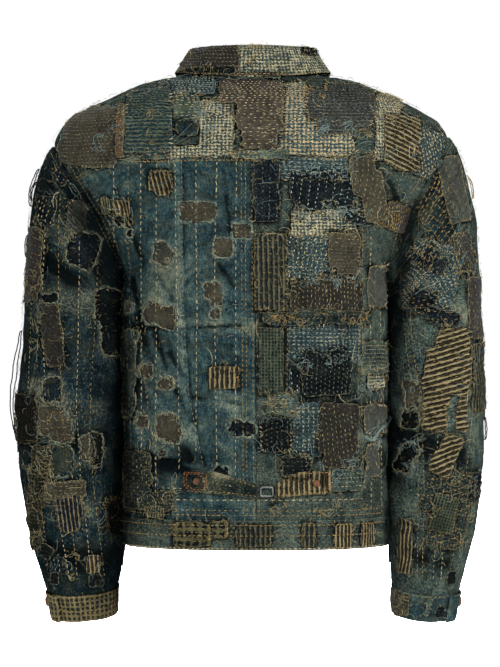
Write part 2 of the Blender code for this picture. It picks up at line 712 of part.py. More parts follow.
def panel_patch(name, surface, cells, look, edges, collection):
    """A patch laid on a panel's own facets, moved out so that it clears them."""
    x_left, x_right, z_top, z_bottom = edges
    x_mid, z_mid = (x_left + x_right) / 2, (z_top + z_bottom) / 2
    sides = sorted(nearest_uv(surface, x, z_mid)[0] for x in (x_left, x_right))
    ends = sorted(nearest_uv(surface, x_mid, z)[1] for z in (z_top, z_bottom))
    u_lines = grid_lines(*sides, cells[0])
    v_lines = grid_lines(*ends, cells[1])
    grid, uv = unit_grid(len(u_lines) - 1, len(v_lines) - 1)
    u = np.interp(uv[:, 0] * (len(u_lines) - 1), np.arange(len(u_lines)), u_lines)
    v = np.interp(uv[:, 1] * (len(v_lines) - 1), np.arange(len(v_lines)), v_lines)
    places, normals = facet_points(surface, cells, u, v)
    away = CLOTH / 2 + LAY_GAP + PATCH_CLOTH / 2
    return shell(name, grid, places + normals * away, PATCH_CLOTH, look, collection)


def yoke_patch(name, look, edges, collection):
    """A patch on the rounded yoke, laid on the torso form itself and moved out."""
    x_left, x_right, z_top, z_bottom = edges
    columns = max(2, round((x_left - x_right) / PATCH_CELL))
    rows = max(2, round((z_top - z_bottom) / PATCH_CELL))
    grid, uv = unit_grid(columns, rows)
    x = x_right + (x_left - x_right) * uv[:, 0]
    z = z_bottom + (z_top - z_bottom) * uv[:, 1]
    places = torso_point(*find_on_back(x, z), YOKE_PATCH_LIFT)
    return shell(name, grid, places, PATCH_CLOTH, look, collection)


def facet_points(surface, cells, u, v):
    """Points and outward normals on a panel's facets, blended between the corners of its grid."""
    step_u, step_v = FACET_STEP / cells[0], FACET_STEP / cells[1]

    def blended(u, v):
        u, v = np.clip(u, 0, 1) * cells[0], np.clip(v, 0, 1) * cells[1]
        column = np.clip(np.floor(u), 0, cells[0] - 1)
        row = np.clip(np.floor(v), 0, cells[1] - 1)
        corners = [surface((column + i) / cells[0], (row + j) / cells[1]) for i in (0, 1) for j in (0, 1)]
        across, up = (u - column)[:, None], (v - row)[:, None]
        near = corners[0] * (1 - up) + corners[1] * up
        far = corners[2] * (1 - up) + corners[3] * up
        return near * (1 - across) + far * across

    along = blended(u + step_u, v) - blended(u - step_u, v)
    upward = blended(u, v + step_v) - blended(u, v - step_v)
    normal = np.cross(along, upward)
    normal /= np.linalg.norm(normal, axis=1)[:, None]
    return blended(u, v), normal * np.where(normal[:, 1] < 0, -1, 1)[:, None]


def disc(name, radius, height, point, normal, look, collection, sides=BUTTON_SIDES):
    """A flat-topped button or rivet that stands on a point, along its normal."""
    made = bmesh.new()
    bmesh.ops.create_cone(made, cap_ends=True, segments=sides, radius1=radius, radius2=radius, depth=height)
    rims = [edge for edge in made.edges if all(abs(end.co.z - height / 2) < 1e-6 for end in edge.verts)]
    bmesh.ops.bevel(made, geom=rims, offset=height * BUTTON_BEVEL, segments=1, affect="EDGES")
    mesh = bpy.data.meshes.new(name)
    made.to_mesh(mesh)
    made.free()
    obj = add_object(name, mesh, look, collection)
    toward = math.atan2(normal[0], -normal[1])
    lean = math.acos(max(-1, min(1, normal[2])))
    obj.rotation_euler = (lean, 0, toward)
    obj.location = point + normal * height / 2
    return obj


def stand_on_torso(angle, level, stand):
    """Point and normal at a distance outside the torso form."""
    angle = np.array([angle])
    level = np.array([float(level)])
    point = torso_point(angle, level)[0]
    away = torso_point(angle, level, 1.0)[0] - point
    return point + away * stand, away


def buckle(collection):
    """A rounded rectangular wire frame between the two straps."""
    angle, level = find_on_back(*np.array(BUCKLE_CENTRE).reshape(2, 1))
    centre, away = stand_on_torso(angle[0], level[0], STRAP_STAND)
    curve = bpy.data.curves.new("buckle", "CURVE")
    curve.dimensions = "3D"
    curve.bevel_depth = BUCKLE_WIRE
    curve.bevel_resolution = 1
    curve.resolution_u = 2
    outline = curve.splines.new("POLY")
    corners = []
    for step in range(12):
        quarter = step // 3
        turn = math.pi / 2 * (quarter + step % 3 / 2)
        x = (BUCKLE_SIZE[0] / 2 - BUCKLE_CORNER) * (1, -1, -1, 1)[quarter] + BUCKLE_CORNER * math.cos(turn)
        z = (BUCKLE_SIZE[1] / 2 - BUCKLE_CORNER) * (1, 1, -1, -1)[quarter] + BUCKLE_CORNER * math.sin(turn)
        corners.append((x, z))
    outline.points.add(len(corners) - 1)
    for point, (x, z) in zip(outline.points, corners):
        point.co = (x, 0, z, 1)
    outline.use_cyclic_u = True
    obj = bpy.data.objects.new("buckle", curve)
    collection.objects.link(obj)
    curve.materials.append(material("steel"))
    obj.location = centre
    obj.rotation_euler = (0, 0, math.atan2(away[1], away[0]) - math.pi / 2)
    return obj


def build_torso(collection):
    """The body panels, with their surfaces and grid sizes for the patches on them."""
    waist = level_at(WAIST_Z)
    placket = front_strip(PLACKET_HALF, -PLACKET_HALF, waist, NECK_LEVEL)
    panels = {
        "back_left": (torso_panel(back_panel(1)), BACK_CELLS),
        "back_right": (torso_panel(back_panel(-1)), BACK_CELLS),
        "yoke": (torso_panel(yoke_panel()), YOKE_CELLS),
        "front_left": (torso_panel(front_panel(1, PLACKET_HALF)), FRONT_CELLS),
        "front_right": (lapped(front_panel(-1, FRONT_LAP), LAP_DEPTH), FRONT_CELLS),
        "placket": (torso_panel(placket), PLACKET_CELLS),
    }
    for name, (surface, cells) in panels.items():
        cloth(name, surface, *cells, collection)
    left_side = run((0.0, 0.0), (0.0, waist))
    right_side = run((math.pi, 0.0), (math.pi, waist))
    left_front = front_line(1, -PLACKET_HALF, 0.0, waist)
    right_front = front_line(-1, FRONT_LAP, 0.0, waist)
    bands = {
        "waistband_back": (torso_panel(waistband(left_side, right_side)), 18),
        "waistband_left": (torso_panel(waistband(left_side, left_front)), 9),
        "waistband_right": (lapped(waistband(right_side, right_front), BAND_LAP_DEPTH), 10),
    }
    for name, (surface, columns) in bands.items():
        cloth(name, surface, columns, 2, collection, BAND_CLOTH)
    cloth("collar", collar_surface, *COLLAR_CELLS, collection, COLLAR_CLOTH, "boucle")
    return panels


def build_sleeves(collection):
    panels = {}
    for side, word in ((1, "left"), (-1, "right")):
        panels["sleeve_top_" + word] = (sleeve_panel(side, True), SLEEVE_TOP_CELLS)
        panels["sleeve_under_" + word] = (sleeve_panel(side, False), SLEEVE_UNDER_CELLS)
        cloth("cuff_" + word, cuff_surface(side), *CUFF_CELLS, collection, BAND_CLOTH)
    for name, (surface, cells) in panels.items():
        cloth(name, surface, *cells, collection)
    return panels


def build_fastenings(collection):
    waist_button = level_at(BUTTON_HEIGHTS[-1])
    for number, z in enumerate(BUTTON_HEIGHTS, 1):
        wall = BAND_CLOTH if number == len(BUTTON_HEIGHTS) else CLOTH
        level = waist_button if number == len(BUTTON_HEIGHTS) else front_level(z)
        place = stand_on_torso(-math.pi / 2, level, wall / 2 + LAY_GAP)
        disc(f"button_{number}", BUTTON_RADIUS, BUTTON_HEIGHT, *place, "copper", collection)
    for side, word in ((1, "left"), (-1, "right")):
        turn = np.array([CUFF_BUTTON_TURN])
        reach = np.array([reach_at((CUFF_SEAM_Z + CUFF_HEM_Z) / 2)])
        near = sleeve_point(side, turn, reach)[0]
        away = sleeve_point(side, turn, reach, 1.0)[0] - near
        around = (CUFF_BUTTON_TURN - CUFF_END) / CUFF_TURN
        stand = CUFF_RISE * (1 - smooth_step(0, CUFF_LAP, around)) + BAND_CLOTH / 2 + CUFF_BUTTON_GAP
        place = near + away * stand, away
        disc("cuff_button_" + word, CUFF_BUTTON_RADIUS, BUTTON_HEIGHT, *place, "copper", collection)


def front_level(z):
    """The level at which the centre front passes the height z."""
    levels = np.linspace(0, NECK_LEVEL, 400)
    heights = torso_plain(np.full_like(levels, -math.pi / 2), levels)[:, 2]
    return np.interp(z, heights, levels)


def build_cinch(collection):
    cloth("strap_left", strap_surface(STRAP_LEFT), 5, 2, collection, STRAP_CLOTH)
    cloth("strap_right", strap_surface(STRAP_RIGHT), 4, 2, collection, STRAP_CLOTH, "stripe")
    buckle(collection)
    for word, (x, z) in RIVETS.items():
        angle, level = find_on_back(np.array([x]), np.array([z]))
        place = stand_on_torso(angle[0], level[0], STRAP_STAND + STRAP_CLOTH / 2 + 2 * LAY_GAP)
        disc("rivet_" + word, RIVET_RADIUS, RIVET_HEIGHT, *place, "copper", collection, RIVET_SIDES)


def main():
    for obj in list(bpy.data.objects):
        bpy.data.objects.remove(obj, do_unlink=True)
    collection = bpy.data.collections.new("boro_jacket")
    bpy.context.scene.collection.children.link(collection)
    panels = build_torso(collection)
    panels.update(build_sleeves(collection))
    build_fastenings(collection)
    build_cinch(collection)
    for name, (panel, look, edges) in PATCHES.items():
        if panel == "yoke":
            yoke_patch(name, look, edges, collection)
        else:
            panel_patch(name, *panels[panel], look, edges, collection)


main()
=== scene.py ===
"""The looks of a patched boro jacket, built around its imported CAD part. Metres, +Z up, the back at +Y.

The CAD's three forms (torso, sleeve, collar) are repeated here at a finer grid, with their creases.
Each CAD cloth is replaced by such a shell. Patches, holes and their frayed rims are cut out of the
same forms and laid on them, and every running stitch and loose thread is a small tube of its own.
"""

import math
from collections import namedtuple

import bpy
import numpy as np
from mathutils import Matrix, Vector


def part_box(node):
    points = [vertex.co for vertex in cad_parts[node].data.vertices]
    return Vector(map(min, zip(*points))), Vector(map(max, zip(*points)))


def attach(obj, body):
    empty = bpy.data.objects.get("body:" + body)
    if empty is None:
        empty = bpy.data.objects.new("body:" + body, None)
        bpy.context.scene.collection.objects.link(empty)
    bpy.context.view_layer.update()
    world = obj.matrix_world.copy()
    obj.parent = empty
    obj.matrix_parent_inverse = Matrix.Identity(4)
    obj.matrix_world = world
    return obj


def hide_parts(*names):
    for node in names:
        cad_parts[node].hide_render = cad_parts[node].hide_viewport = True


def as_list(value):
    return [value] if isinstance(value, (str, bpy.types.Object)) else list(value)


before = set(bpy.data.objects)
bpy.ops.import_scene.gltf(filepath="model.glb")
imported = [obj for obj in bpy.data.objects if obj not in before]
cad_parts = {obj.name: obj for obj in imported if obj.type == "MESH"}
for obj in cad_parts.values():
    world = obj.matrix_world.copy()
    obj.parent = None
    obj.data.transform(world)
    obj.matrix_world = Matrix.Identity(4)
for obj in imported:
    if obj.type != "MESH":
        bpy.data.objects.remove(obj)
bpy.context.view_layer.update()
MM = 0.001

# Thickness of the cloths here, and the height of each layer of patches over the base cloth: the last
# two are on the waistband and on the straps
BASE_WALL = 0.0012
BAND_WALL = 0.0018
STRAP_WALL = 0.0020
PATCH_WALL = 0.0007
LAYER_LIFTS = (0.0009, 0.0016, 0.0025, 0.0034, 0.0043, 0.0047)
HOLE_RIM = 0.0030
HOLE_RIM_LIFT = 0.0009

# Threads: their radius, the step between them along an outline, and their length
STITCH_RADIUS = 0.00045
RIM_RADIUS = 0.00026
RIM_STEP = 0.0038
RIM_LENGTH = 0.0055
FRAY_RADIUS = 0.00019
FRAY_STEP = 0.0046
FRAY_LENGTH = 0.0046
WHIP_STEP = 0.0060
LOOSE_RADIUS = 0.00020
LOOSE_STEP = 0.018
LOOSE_LENGTH = 0.020

# ---------------------------------------------------------------- the CAD's forms
CLOTH = 0.0018
SEAM_GAP = 0.0006
# How far the cloths run on behind the waistband and into the cuffs and how deep they lie there, then
# how far the collar runs on below the neck seam and over what share of its width
TUCK = 0.008
TUCK_DEPTH = 0.0019
COLLAR_TUCK = 0.005
COLLAR_TUCK_SHARE = 0.07

# z, half_width, depth to the back, depth to the front, power, back_lift, front_lift, shift in x
TORSO_SECTIONS = np.array([
    (-0.5930, 0.1665, 0.1200, 0.1220, 2.45, 0.000, 0.000, -0.0085),
    (-0.5550, 0.1660, 0.1205, 0.1225, 2.45, 0.000, 0.000, -0.0080),
    (-0.4900, 0.1655, 0.1180, 0.1200, 2.40, 0.000, 0.000, -0.0075),
    (-0.3700, 0.1660, 0.1225, 0.1230, 2.35, 0.000, 0.000, -0.0070),
    (-0.2500, 0.1680, 0.1275, 0.1240, 2.30, 0.000, 0.000, -0.0060),
    (-0.2080, 0.2000, 0.1290, 0.1230, 2.25, 0.000, -0.004, -0.0050),
    (-0.1700, 0.2250, 0.1280, 0.1210, 2.20, 0.000, -0.010, -0.0035),
    (-0.1360, 0.2440, 0.1240, 0.1180, 2.15, 0.000, -0.018, -0.0025),
    (-0.1050, 0.2520, 0.1180, 0.1140, 2.10, 0.000, -0.028, -0.0015),
    (-0.0800, 0.2525, 0.1110, 0.1090, 2.05, 0.000, -0.038, -0.0015),
    (-0.0560, 0.2410, 0.1030, 0.1040, 2.00, 0.000, -0.050, -0.0025),
    (-0.0350, 0.2120, 0.0950, 0.1000, 2.00, 0.000, -0.061, -0.0035),
    (-0.0150, 0.1690, 0.0870, 0.0960, 2.00, -0.002, -0.071, -0.0035),
    (0.0010, 0.1215, 0.0780, 0.0920, 2.00, -0.004, -0.077, -0.0035),
    (0.0060, 0.0850, 0.0690, 0.0880, 2.00, 0.001, -0.079, -0.0035),
])

# turn, then the columns of a torso section
COLLAR_RINGS = np.array([
    (0.00, 0.0085, 0.0845, 0.0690, 0.0880, 2.0, 0.001, -0.079, -0.0035),
    (0.25, 0.0240, 0.0785, 0.0625, 0.0830, 2.0, 0.001, -0.077, -0.0035),
    (0.45, 0.0370, 0.0755, 0.0600, 0.0810, 2.0, 0.001, -0.079, -0.0035),
    (0.53, 0.0410, 0.0775, 0.0620, 0.0830, 2.0, 0.000, -0.080, -0.0035),
    (0.61, 0.0385, 0.0810, 0.0660, 0.0870, 2.0, -0.001, -0.082, -0.0035),
    (0.80, 0.0255, 0.0895, 0.0755, 0.0985, 2.0, -0.005, -0.092, -0.0035),
    (1.00, 0.0112, 0.0995, 0.0840, 0.1120, 2.0, -0.012, -0.118, -0.0035),
])
COLLAR_FOLD = np.array([0.0800, 0.0660])
COLLAR_END = math.radians(-86)
COLLAR_END_SPREAD = math.radians(13)

# z, left_x, left_half_width, right_x, right_half_width, y, half_depth
SLEEVE_RINGS = np.array([
    (-0.300, 0.2280, 0.0600, 0.2380, 0.0585, -0.004, 0.0640),
    (-0.360, 0.2305, 0.0630, 0.2395, 0.0605, -0.006, 0.0620),
    (-0.421, 0.2330, 0.0670, 0.2405, 0.0610, -0.010, 0.0600),
    (-0.479, 0.2325, 0.0665, 0.2400, 0.0610, -0.017, 0.0570),
    (-0.537, 0.2290, 0.0630, 0.2375, 0.0585, -0.027, 0.0520),
    (-0.595, 0.2225, 0.0585, 0.2340, 0.0535, -0.039, 0.0450),
    (-0.653, 0.2180, 0.0465, 0.2290, 0.0440, -0.053, 0.0365),
    (-0.695, 0.2150, 0.0415, 0.2255, 0.0400, -0.063, 0.0325),
])
SLEEVE_TOP_Z = SLEEVE_RINGS[0, 0]
SLEEVE_LENGTH = SLEEVE_TOP_Z - SLEEVE_RINGS[-1, 0]
CAP_LENGTH = 0.20
ARM_RADIUS = 0.062
CUFF_SEAM_Z = -0.653
CUFF_HEM_Z = -0.689
CAP_PULL = 0.58
CAP_LEAVE_OUT = (0.45, 0.35)
CAP_LEAVE_BACK = 0.40
CAP_LEAVE_DOWN = -0.75
# How far the body's sides and the sleeves swell towards each other, between which heights, and how
# near to the side of the body or of the arm it begins (1 is the side itself)
BODY_SWELL = 0.0030
SLEEVE_SWELL = 0.0045
SWELL_BOTTOM = (-0.600, -0.572)
SWELL_TOP = (-0.272, -0.246)
BODY_SWELL_FROM = 0.90
SLEEVE_SWELL_FROM = 0.75
ARMHOLE_TUCK = 0.0040
ARMHOLE_TUCK_REACH = 0.016
SLEEVE_CLEAR = 0.0012
UNDERARM_CLEAR = 0.0018
SLEEVE_SEAM_TURN = 0.0050
BACK_SEAM_TOP = math.radians(30)
BACK_SEAM_CUFF = math.radians(47)
FRONT_SEAM_TOP = math.radians(195)
FRONT_SEAM_CUFF = math.radians(210)

ARMHOLE_BOTTOM = -0.252
ARMHOLE_TOP = {1: -0.082, -1: -0.070}
ARMHOLE_BACK = math.radians(30)
ARMHOLE_FRONT = math.radians(30)
ARMHOLE_SKEW = 0.15
SHOULDER_SEAM_TURN = math.radians(112)
SHOULDER_SEAM_NECK = math.radians(-38)
YOKE_Z = -0.1026
YOKE_DROP = 0.0295
YOKE_ARMHOLE_SHARE = 2 / 6
FRONT_SHOULDER_SHARE = 4 / 8
WAIST_Z = -0.555
PLACKET_HALF = 0.019
FRONT_LAP = 0.014
LAP_RUN = 0.024
LAP_EDGE = 0.002
LAP_DEPTH = 0.0044
BAND_LAP_DEPTH = 0.0046
CUFF_END = math.radians(40)
CUFF_TURN = math.radians(375)
CUFF_RISE = 0.0046
CUFF_STAND = 0.0002
CUFF_LAP = 0.22

# x, z, half_height of the cinch straps
STRAP_LEFT = np.array([
    (0.083, -0.5065, 0.0142),
    (0.052, -0.5075, 0.0140),
    (0.020, -0.5130, 0.0112),
    (-0.0105, -0.5190, 0.0090),
])
STRAP_RIGHT = np.array([
    (-0.0985, -0.5080, 0.0145),
    (-0.0640, -0.5095, 0.0145),
    (-0.0480, -0.5130, 0.0125),
    (-0.0310, -0.5195, 0.0085),
])
STRAP_STAND = 0.0040

# Folds in x and z across the body: x_start, z_start, x_end, z_end, width, height.
# The first rows are the CAD's own, and the narrower ones after them are finer creases.
BACK_FOLDS = np.array([
    (0.090, -0.105, 0.087, -0.280, 0.009, 0.0028),
    (0.087, -0.280, 0.080, -0.400, 0.009, 0.0028),
    (0.080, -0.400, 0.060, -0.492, 0.010, 0.0030),
    (-0.139, -0.190, -0.138, -0.405, 0.009, 0.0026),
    (0.124, -0.232, 0.066, -0.284, 0.012, 0.0030),
    (0.070, -0.236, 0.126, -0.290, 0.011, 0.0026),
    (0.126, -0.404, 0.082, -0.458, 0.013, 0.0040),
    (0.108, -0.440, 0.064, -0.484, 0.010, -0.0034),
    (0.052, -0.386, 0.004, -0.424, 0.014, 0.0034),
    (-0.148, -0.448, -0.098, -0.486, 0.013, 0.0034),
    (-0.104, -0.520, -0.040, -0.532, 0.010, 0.0030),
    (0.112, -0.486, 0.066, -0.492, 0.010, -0.0030),
    (0.0835, -0.104, 0.0815, -0.290, 0.0030, -0.0034),
    (0.0815, -0.290, 0.0740, -0.405, 0.0030, -0.0034),
    (0.0740, -0.405, 0.0560, -0.490, 0.0032, -0.0037),
    (-0.1330, -0.186, -0.1320, -0.410, 0.0030, -0.0031),
    (0.100, -0.262, 0.066, -0.234, 0.0032, -0.0025),
    (0.118, -0.248, 0.096, -0.282, 0.0034, -0.0028),
    (0.066, -0.244, 0.084, -0.268, 0.0030, -0.0025),
    (0.040, -0.236, 0.018, -0.268, 0.0036, -0.0023),
    (0.014, -0.300, -0.002, -0.330, 0.0040, 0.0022),
    (0.118, -0.352, 0.098, -0.392, 0.0050, 0.0028),
    (0.102, -0.344, 0.082, -0.380, 0.0038, -0.0025),
    (0.096, -0.388, 0.070, -0.436, 0.0042, -0.0031),
    (0.128, -0.392, 0.108, -0.424, 0.0040, 0.0028),
    (0.124, -0.466, 0.066, -0.4895, 0.0045, 0.0037),
    (0.112, -0.478, 0.070, -0.483, 0.0030, -0.0031),
    (0.052, -0.396, 0.010, -0.414, 0.0032, -0.0028),
    (0.040, -0.458, 0.020, -0.478, 0.0036, 0.0031),
    (0.028, -0.440, 0.008, -0.430, 0.0040, 0.0023),
    (0.058, -0.502, 0.046, -0.548, 0.0040, 0.0028),
    (0.100, -0.506, 0.092, -0.548, 0.0050, 0.0025),
    (0.140, -0.300, 0.128, -0.356, 0.0060, -0.0028),
    (0.146, -0.420, 0.134, -0.470, 0.0060, 0.0028),
    (-0.010, -0.108, -0.006, -0.180, 0.0040, -0.0019),
    (-0.130, -0.120, -0.152, -0.176, 0.0050, -0.0028),
    (-0.148, -0.196, -0.164, -0.250, 0.0060, 0.0031),
    (-0.146, -0.330, -0.158, -0.386, 0.0050, -0.0025),
    (-0.040, -0.300, -0.120, -0.304, 0.0040, 0.0031),
    (-0.010, -0.406, -0.050, -0.410, 0.0040, 0.0028),
    (-0.050, -0.490, -0.110, -0.470, 0.0050, -0.0025),
    (-0.150, -0.500, -0.120, -0.540, 0.0050, 0.0031),
    (-0.136, -0.492, -0.104, -0.520, 0.0040, -0.0025),
    (-0.020, -0.536, -0.060, -0.530, 0.0036, -0.0022),
    (0.150, -0.130, 0.178, -0.170, 0.0060, 0.0028),
    (0.168, -0.140, 0.150, -0.190, 0.0050, -0.0028),
    (-0.172, -0.128, -0.190, -0.168, 0.0050, -0.0025),
    (0.150, -0.314, 0.084, -0.318, 0.0030, -0.0030),
    (0.078, -0.316, 0.004, -0.313, 0.0030, -0.0030),
    (0.074, -0.402, 0.004, -0.411, 0.0030, -0.0028),
    (0.148, -0.250, 0.136, -0.312, 0.0034, -0.0028),
    (0.120, -0.320, 0.104, -0.372, 0.0034, -0.0028),
    (0.146, -0.500, 0.110, -0.540, 0.0040, -0.0028),
    (0.030, -0.150, 0.024, -0.200, 0.0034, -0.0022),
    (0.152, -0.190, 0.132, -0.236, 0.0036, -0.0026),
])
FRONT_FOLDS = np.array([
    (0.105, -0.165, 0.102, -0.400, 0.008, 0.0026),
    (-0.108, -0.165, -0.105, -0.400, 0.008, 0.0026),
    (0.150, -0.230, 0.080, -0.290, 0.012, 0.0032),
    (-0.150, -0.226, -0.090, -0.300, 0.013, 0.0030),
    (0.140, -0.350, 0.060, -0.410, 0.014, 0.0034),
    (-0.132, -0.380, -0.050, -0.430, 0.014, -0.0030),
    (0.120, -0.470, 0.040, -0.500, 0.012, 0.0032),
    (-0.126, -0.500, -0.060, -0.478, 0.011, 0.0030),
    (0.070, -0.200, 0.110, -0.260, 0.005, -0.0018),
    (-0.060, -0.230, -0.100, -0.250, 0.005, -0.0018),
    (0.060, -0.330, 0.034, -0.380, 0.006, 0.0020),
    (-0.034, -0.460, -0.070, -0.520, 0.006, 0.0020),
])
# Folds in the distance from the centre line and z, the same on both arms but for the second table
SLEEVE_FOLDS = np.array([
    (0.262, -0.165, 0.206, -0.236, 0.014, 0.0040),
    (0.280, -0.215, 0.214, -0.262, 0.012, -0.0035),
    (0.284, -0.300, 0.196, -0.276, 0.014, 0.0042),
    (0.286, -0.388, 0.190, -0.426, 0.016, 0.0046),
    (0.184, -0.452, 0.276, -0.486, 0.014, -0.0036),
    (0.278, -0.520, 0.186, -0.556, 0.014, 0.0040),
    (0.190, -0.606, 0.262, -0.622, 0.011, -0.0028),
])
ARM_CREASES = {
    1: np.array([
        (0.226, -0.190, 0.196, -0.262, 0.005, 0.0022),
        (0.214, -0.200, 0.190, -0.250, 0.004, -0.0020),
        (0.250, -0.250, 0.214, -0.300, 0.006, 0.0022),
        (0.262, -0.330, 0.222, -0.352, 0.005, -0.0020),
        (0.226, -0.360, 0.190, -0.352, 0.006, 0.0022),
        (0.270, -0.436, 0.238, -0.450, 0.005, 0.0020),
        (0.210, -0.470, 0.186, -0.500, 0.006, -0.0020),
        (0.262, -0.556, 0.216, -0.586, 0.006, 0.0024),
        (0.240, -0.600, 0.200, -0.640, 0.006, -0.0020),
        (0.216, -0.610, 0.204, -0.646, 0.004, 0.0018),
    ]),
    -1: np.array([
        (0.240, -0.180, 0.204, -0.236, 0.005, 0.0022),
        (0.222, -0.196, 0.196, -0.270, 0.005, -0.0022),
        (0.270, -0.240, 0.236, -0.262, 0.005, -0.0018),
        (0.252, -0.310, 0.212, -0.290, 0.006, 0.0024),
        (0.214, -0.350, 0.200, -0.410, 0.006, 0.0022),
        (0.280, -0.420, 0.246, -0.446, 0.005, 0.0020),
        (0.228, -0.470, 0.198, -0.450, 0.005, -0.0020),
        (0.262, -0.530, 0.226, -0.560, 0.006, 0.0022),
        (0.246, -0.590, 0.214, -0.640, 0.006, 0.0020),
        (0.232, -0.600, 0.222, -0.640, 0.004, -0.0018),
    ]),
}
FOLDS_FADE_BODY = (0.15, 0.45)
FOLDS_FADE_ARM = (0.0, 0.4)
FOLDS_FADE_CAP = (0.05, 0.3)

# Crumple of all the cloth: the size of its lumps and their height
CRUMPLE = ((0.036, 0.0015), (0.014, 0.0011), (0.0065, 0.00050))
CRUMPLE_SEED = 3
# The collar's share of it and where that fades in, and where it fades in below an armhole
COLLAR_CRUMPLE = 0.6
COLLAR_CRUMPLE_FADE = (0.45, 0.7)
CAP_CRUMPLE_FADE = (0, 0.04)

# Steps for the slopes of the forms, and how far inside a form's ends its points stay for them
NORMAL_STEP = 1e-4
RING_STEP = 1e-3
FORM_EDGE = 2e-4
LEVEL_ROUNDS = 12


def spline(keys, rows, at):
    """Rows of a table read between its keys by a smooth curve that never overshoots them."""
    at = np.clip(at, keys[0], keys[-1])
    steps = np.diff(keys)[:, None]
    slopes = np.diff(rows, axis=0) / steps
    tangents = np.vstack([slopes[:1], np.zeros_like(slopes[1:]), slopes[-1:]])
    product = slopes[:-1] * slopes[1:]
    total = slopes[:-1] + slopes[1:]
    tangents[1:-1] = np.where(product > 0, 2 * product / np.where(total == 0, 1, total), 0)
    cell = np.clip(np.searchsorted(keys, at, side="right") - 1, 0, len(keys) - 2)
    step = steps[cell]
    part = (at[:, None] - keys[cell][:, None]) / step
    low = (1 + 2 * part) * (1 - part) ** 2 * rows[cell]
    high = part ** 2 * (3 - 2 * part) * rows[cell + 1]
    leave = part * (1 - part) ** 2 * step * tangents[cell]
    arrive = part ** 2 * (part - 1) * step * tangents[cell + 1]
    return low + high + leave + arrive


def smooth_step(start, end, value):
    part = np.clip((value - start) / (end - start), 0, 1)
    return part * part * (3 - 2 * part)


def levels_of(sections):
    """Distance up the body to each section, along the mean of its side and its centre back."""
    side = np.hypot(np.diff(sections[:, 1]), np.diff(sections[:, 0]))
    back = np.hypot(np.diff(sections[:, 2]), np.diff(sections[:, 0] + sections[:, 5]))
    return np.concatenate([[0], np.cumsum((side + back) / 2)])


TORSO_LEVELS = levels_of(TORSO_SECTIONS)
NECK_LEVEL = TORSO_LEVELS[-1]
LEVEL_STEPS = np.linspace(0, NECK_LEVEL, 400)
LEVEL_HEIGHTS = spline(TORSO_LEVELS, TORSO_SECTIONS, LEVEL_STEPS)[:, 0]


def level_at(z):
    """The level whose height at the side seam is z."""
    return np.interp(z, LEVEL_HEIGHTS, LEVEL_STEPS)


def scatter_value(cell, seed):
    """A fixed value from -1 to 1 for each lattice point."""
    mixed = (cell[0] * 73856093) ^ (cell[1] * 19349663) ^ (cell[2] * 83492791) ^ (seed * 2654435761)
    mixed = ((mixed & 0x7FFFFFFF) * 1103515245 + 12345) & 0x7FFFFFFF
    mixed = (mixed ^ (mixed >> 11)) * 48271 & 0x7FFFFFFF
    return (mixed >> 7 & 0xFFFF) / 32767.5 - 1


def lumps(point, size, seed=0):
    """Smooth noise from -1 to 1 over points in space, with lumps of about the given size."""
    scaled = point / size
    base = np.floor(scaled).astype(np.int64)
    part = scaled - base
    part = part * part * (3 - 2 * part)
    total = np.zeros(len(point))
    for corner in range(8):
        offset = np.array([corner & 1, corner >> 1 & 1, corner >> 2 & 1])
        weight = np.prod(np.where(offset, part, 1 - part), axis=1)
        total += weight * scatter_value((base + offset).T, seed)
    return total


def lumps_flat(s, t, size, seed=0):
    return lumps(np.stack([s, t, np.full_like(s, 0.37 * size)], axis=1), size, seed)


def ring_point(columns, angle):
    """Points on superelliptic rings, one ring row for each angle."""
    z, half_width, back, front, power, back_lift, front_lift, shift = columns.T
    across = np.cos(angle)
    along = np.sin(angle)
    x = shift + half_width * np.sign(across) * np.abs(across) ** (2 / power)
    depth = np.where(along > 0, back, front)
    y = depth * np.sign(along) * np.abs(along) ** (2 / power)
    return np.stack([x, y, z + np.where(along > 0, back_lift, front_lift) * along ** 2], axis=1)


def relief(folds, x, z):
    """Height of the folds over the plain form at x, z."""
    total = np.zeros_like(x)
    for x_start, z_start, x_end, z_end, width, height in folds:
        run = np.array([x_end - x_start, z_end - z_start])
        length = np.hypot(*run)
        along = ((x - x_start) * run[0] + (z - z_start) * run[1]) / length
        off = ((x - x_start) * run[1] - (z - z_start) * run[0]) / length
        ends = smooth_step(-width, width, along) * smooth_step(-width, width, length - along)
        total += height * np.exp(-((off / width) ** 2)) * ends
    return total


METAL_NAMES = ("button", "cuff_button", "rivet", "buckle")


def fastening_places():
    """The middles of the CAD's buttons, rivets and buckle."""
    names = [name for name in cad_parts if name.startswith(METAL_NAMES)]
    return np.array([(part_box(name)[0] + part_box(name)[1]) / 2 for name in names])


FASTENINGS = fastening_places()
FLAT_RADIUS = 0.016


def crumple(point):
    """Height of the small crumple of all cloth, which lies flat round each fastening."""
    height = sum(tall * lumps(point, size, CRUMPLE_SEED) for size, tall in CRUMPLE)
    for place in FASTENINGS:
        off = ((point - place) ** 2).sum(axis=1) / FLAT_RADIUS ** 2
        height *= 1 - np.exp(-off * off)
    return height


def outward(form, first, second, centre_of):
    """Points of a form and its unit normals, turned away from its own centre line."""
    step = NORMAL_STEP
    point = form(first, second)
    one = form(first + step, second) - form(first - step, second)
    two = form(first, second + step) - form(first, second - step)
    normal = np.cross(one, two)
    normal /= np.linalg.norm(normal, axis=1)[:, None]
    facing = (normal * (point - centre_of(point))).sum(axis=1)
    return point, normal * np.where(facing < 0, -1, 1)[:, None]


CORE_SHARE = np.array([0.25, 0, 1])
CORE_SHIFT = np.array([0, 0, -0.03])


def torso_plain(angle, level):
    return ring_point(spline(TORSO_LEVELS, TORSO_SECTIONS, level), angle)


def torso_centre(point):
    """A point of the body's core beside each point of the torso."""
    return point * CORE_SHARE + CORE_SHIFT


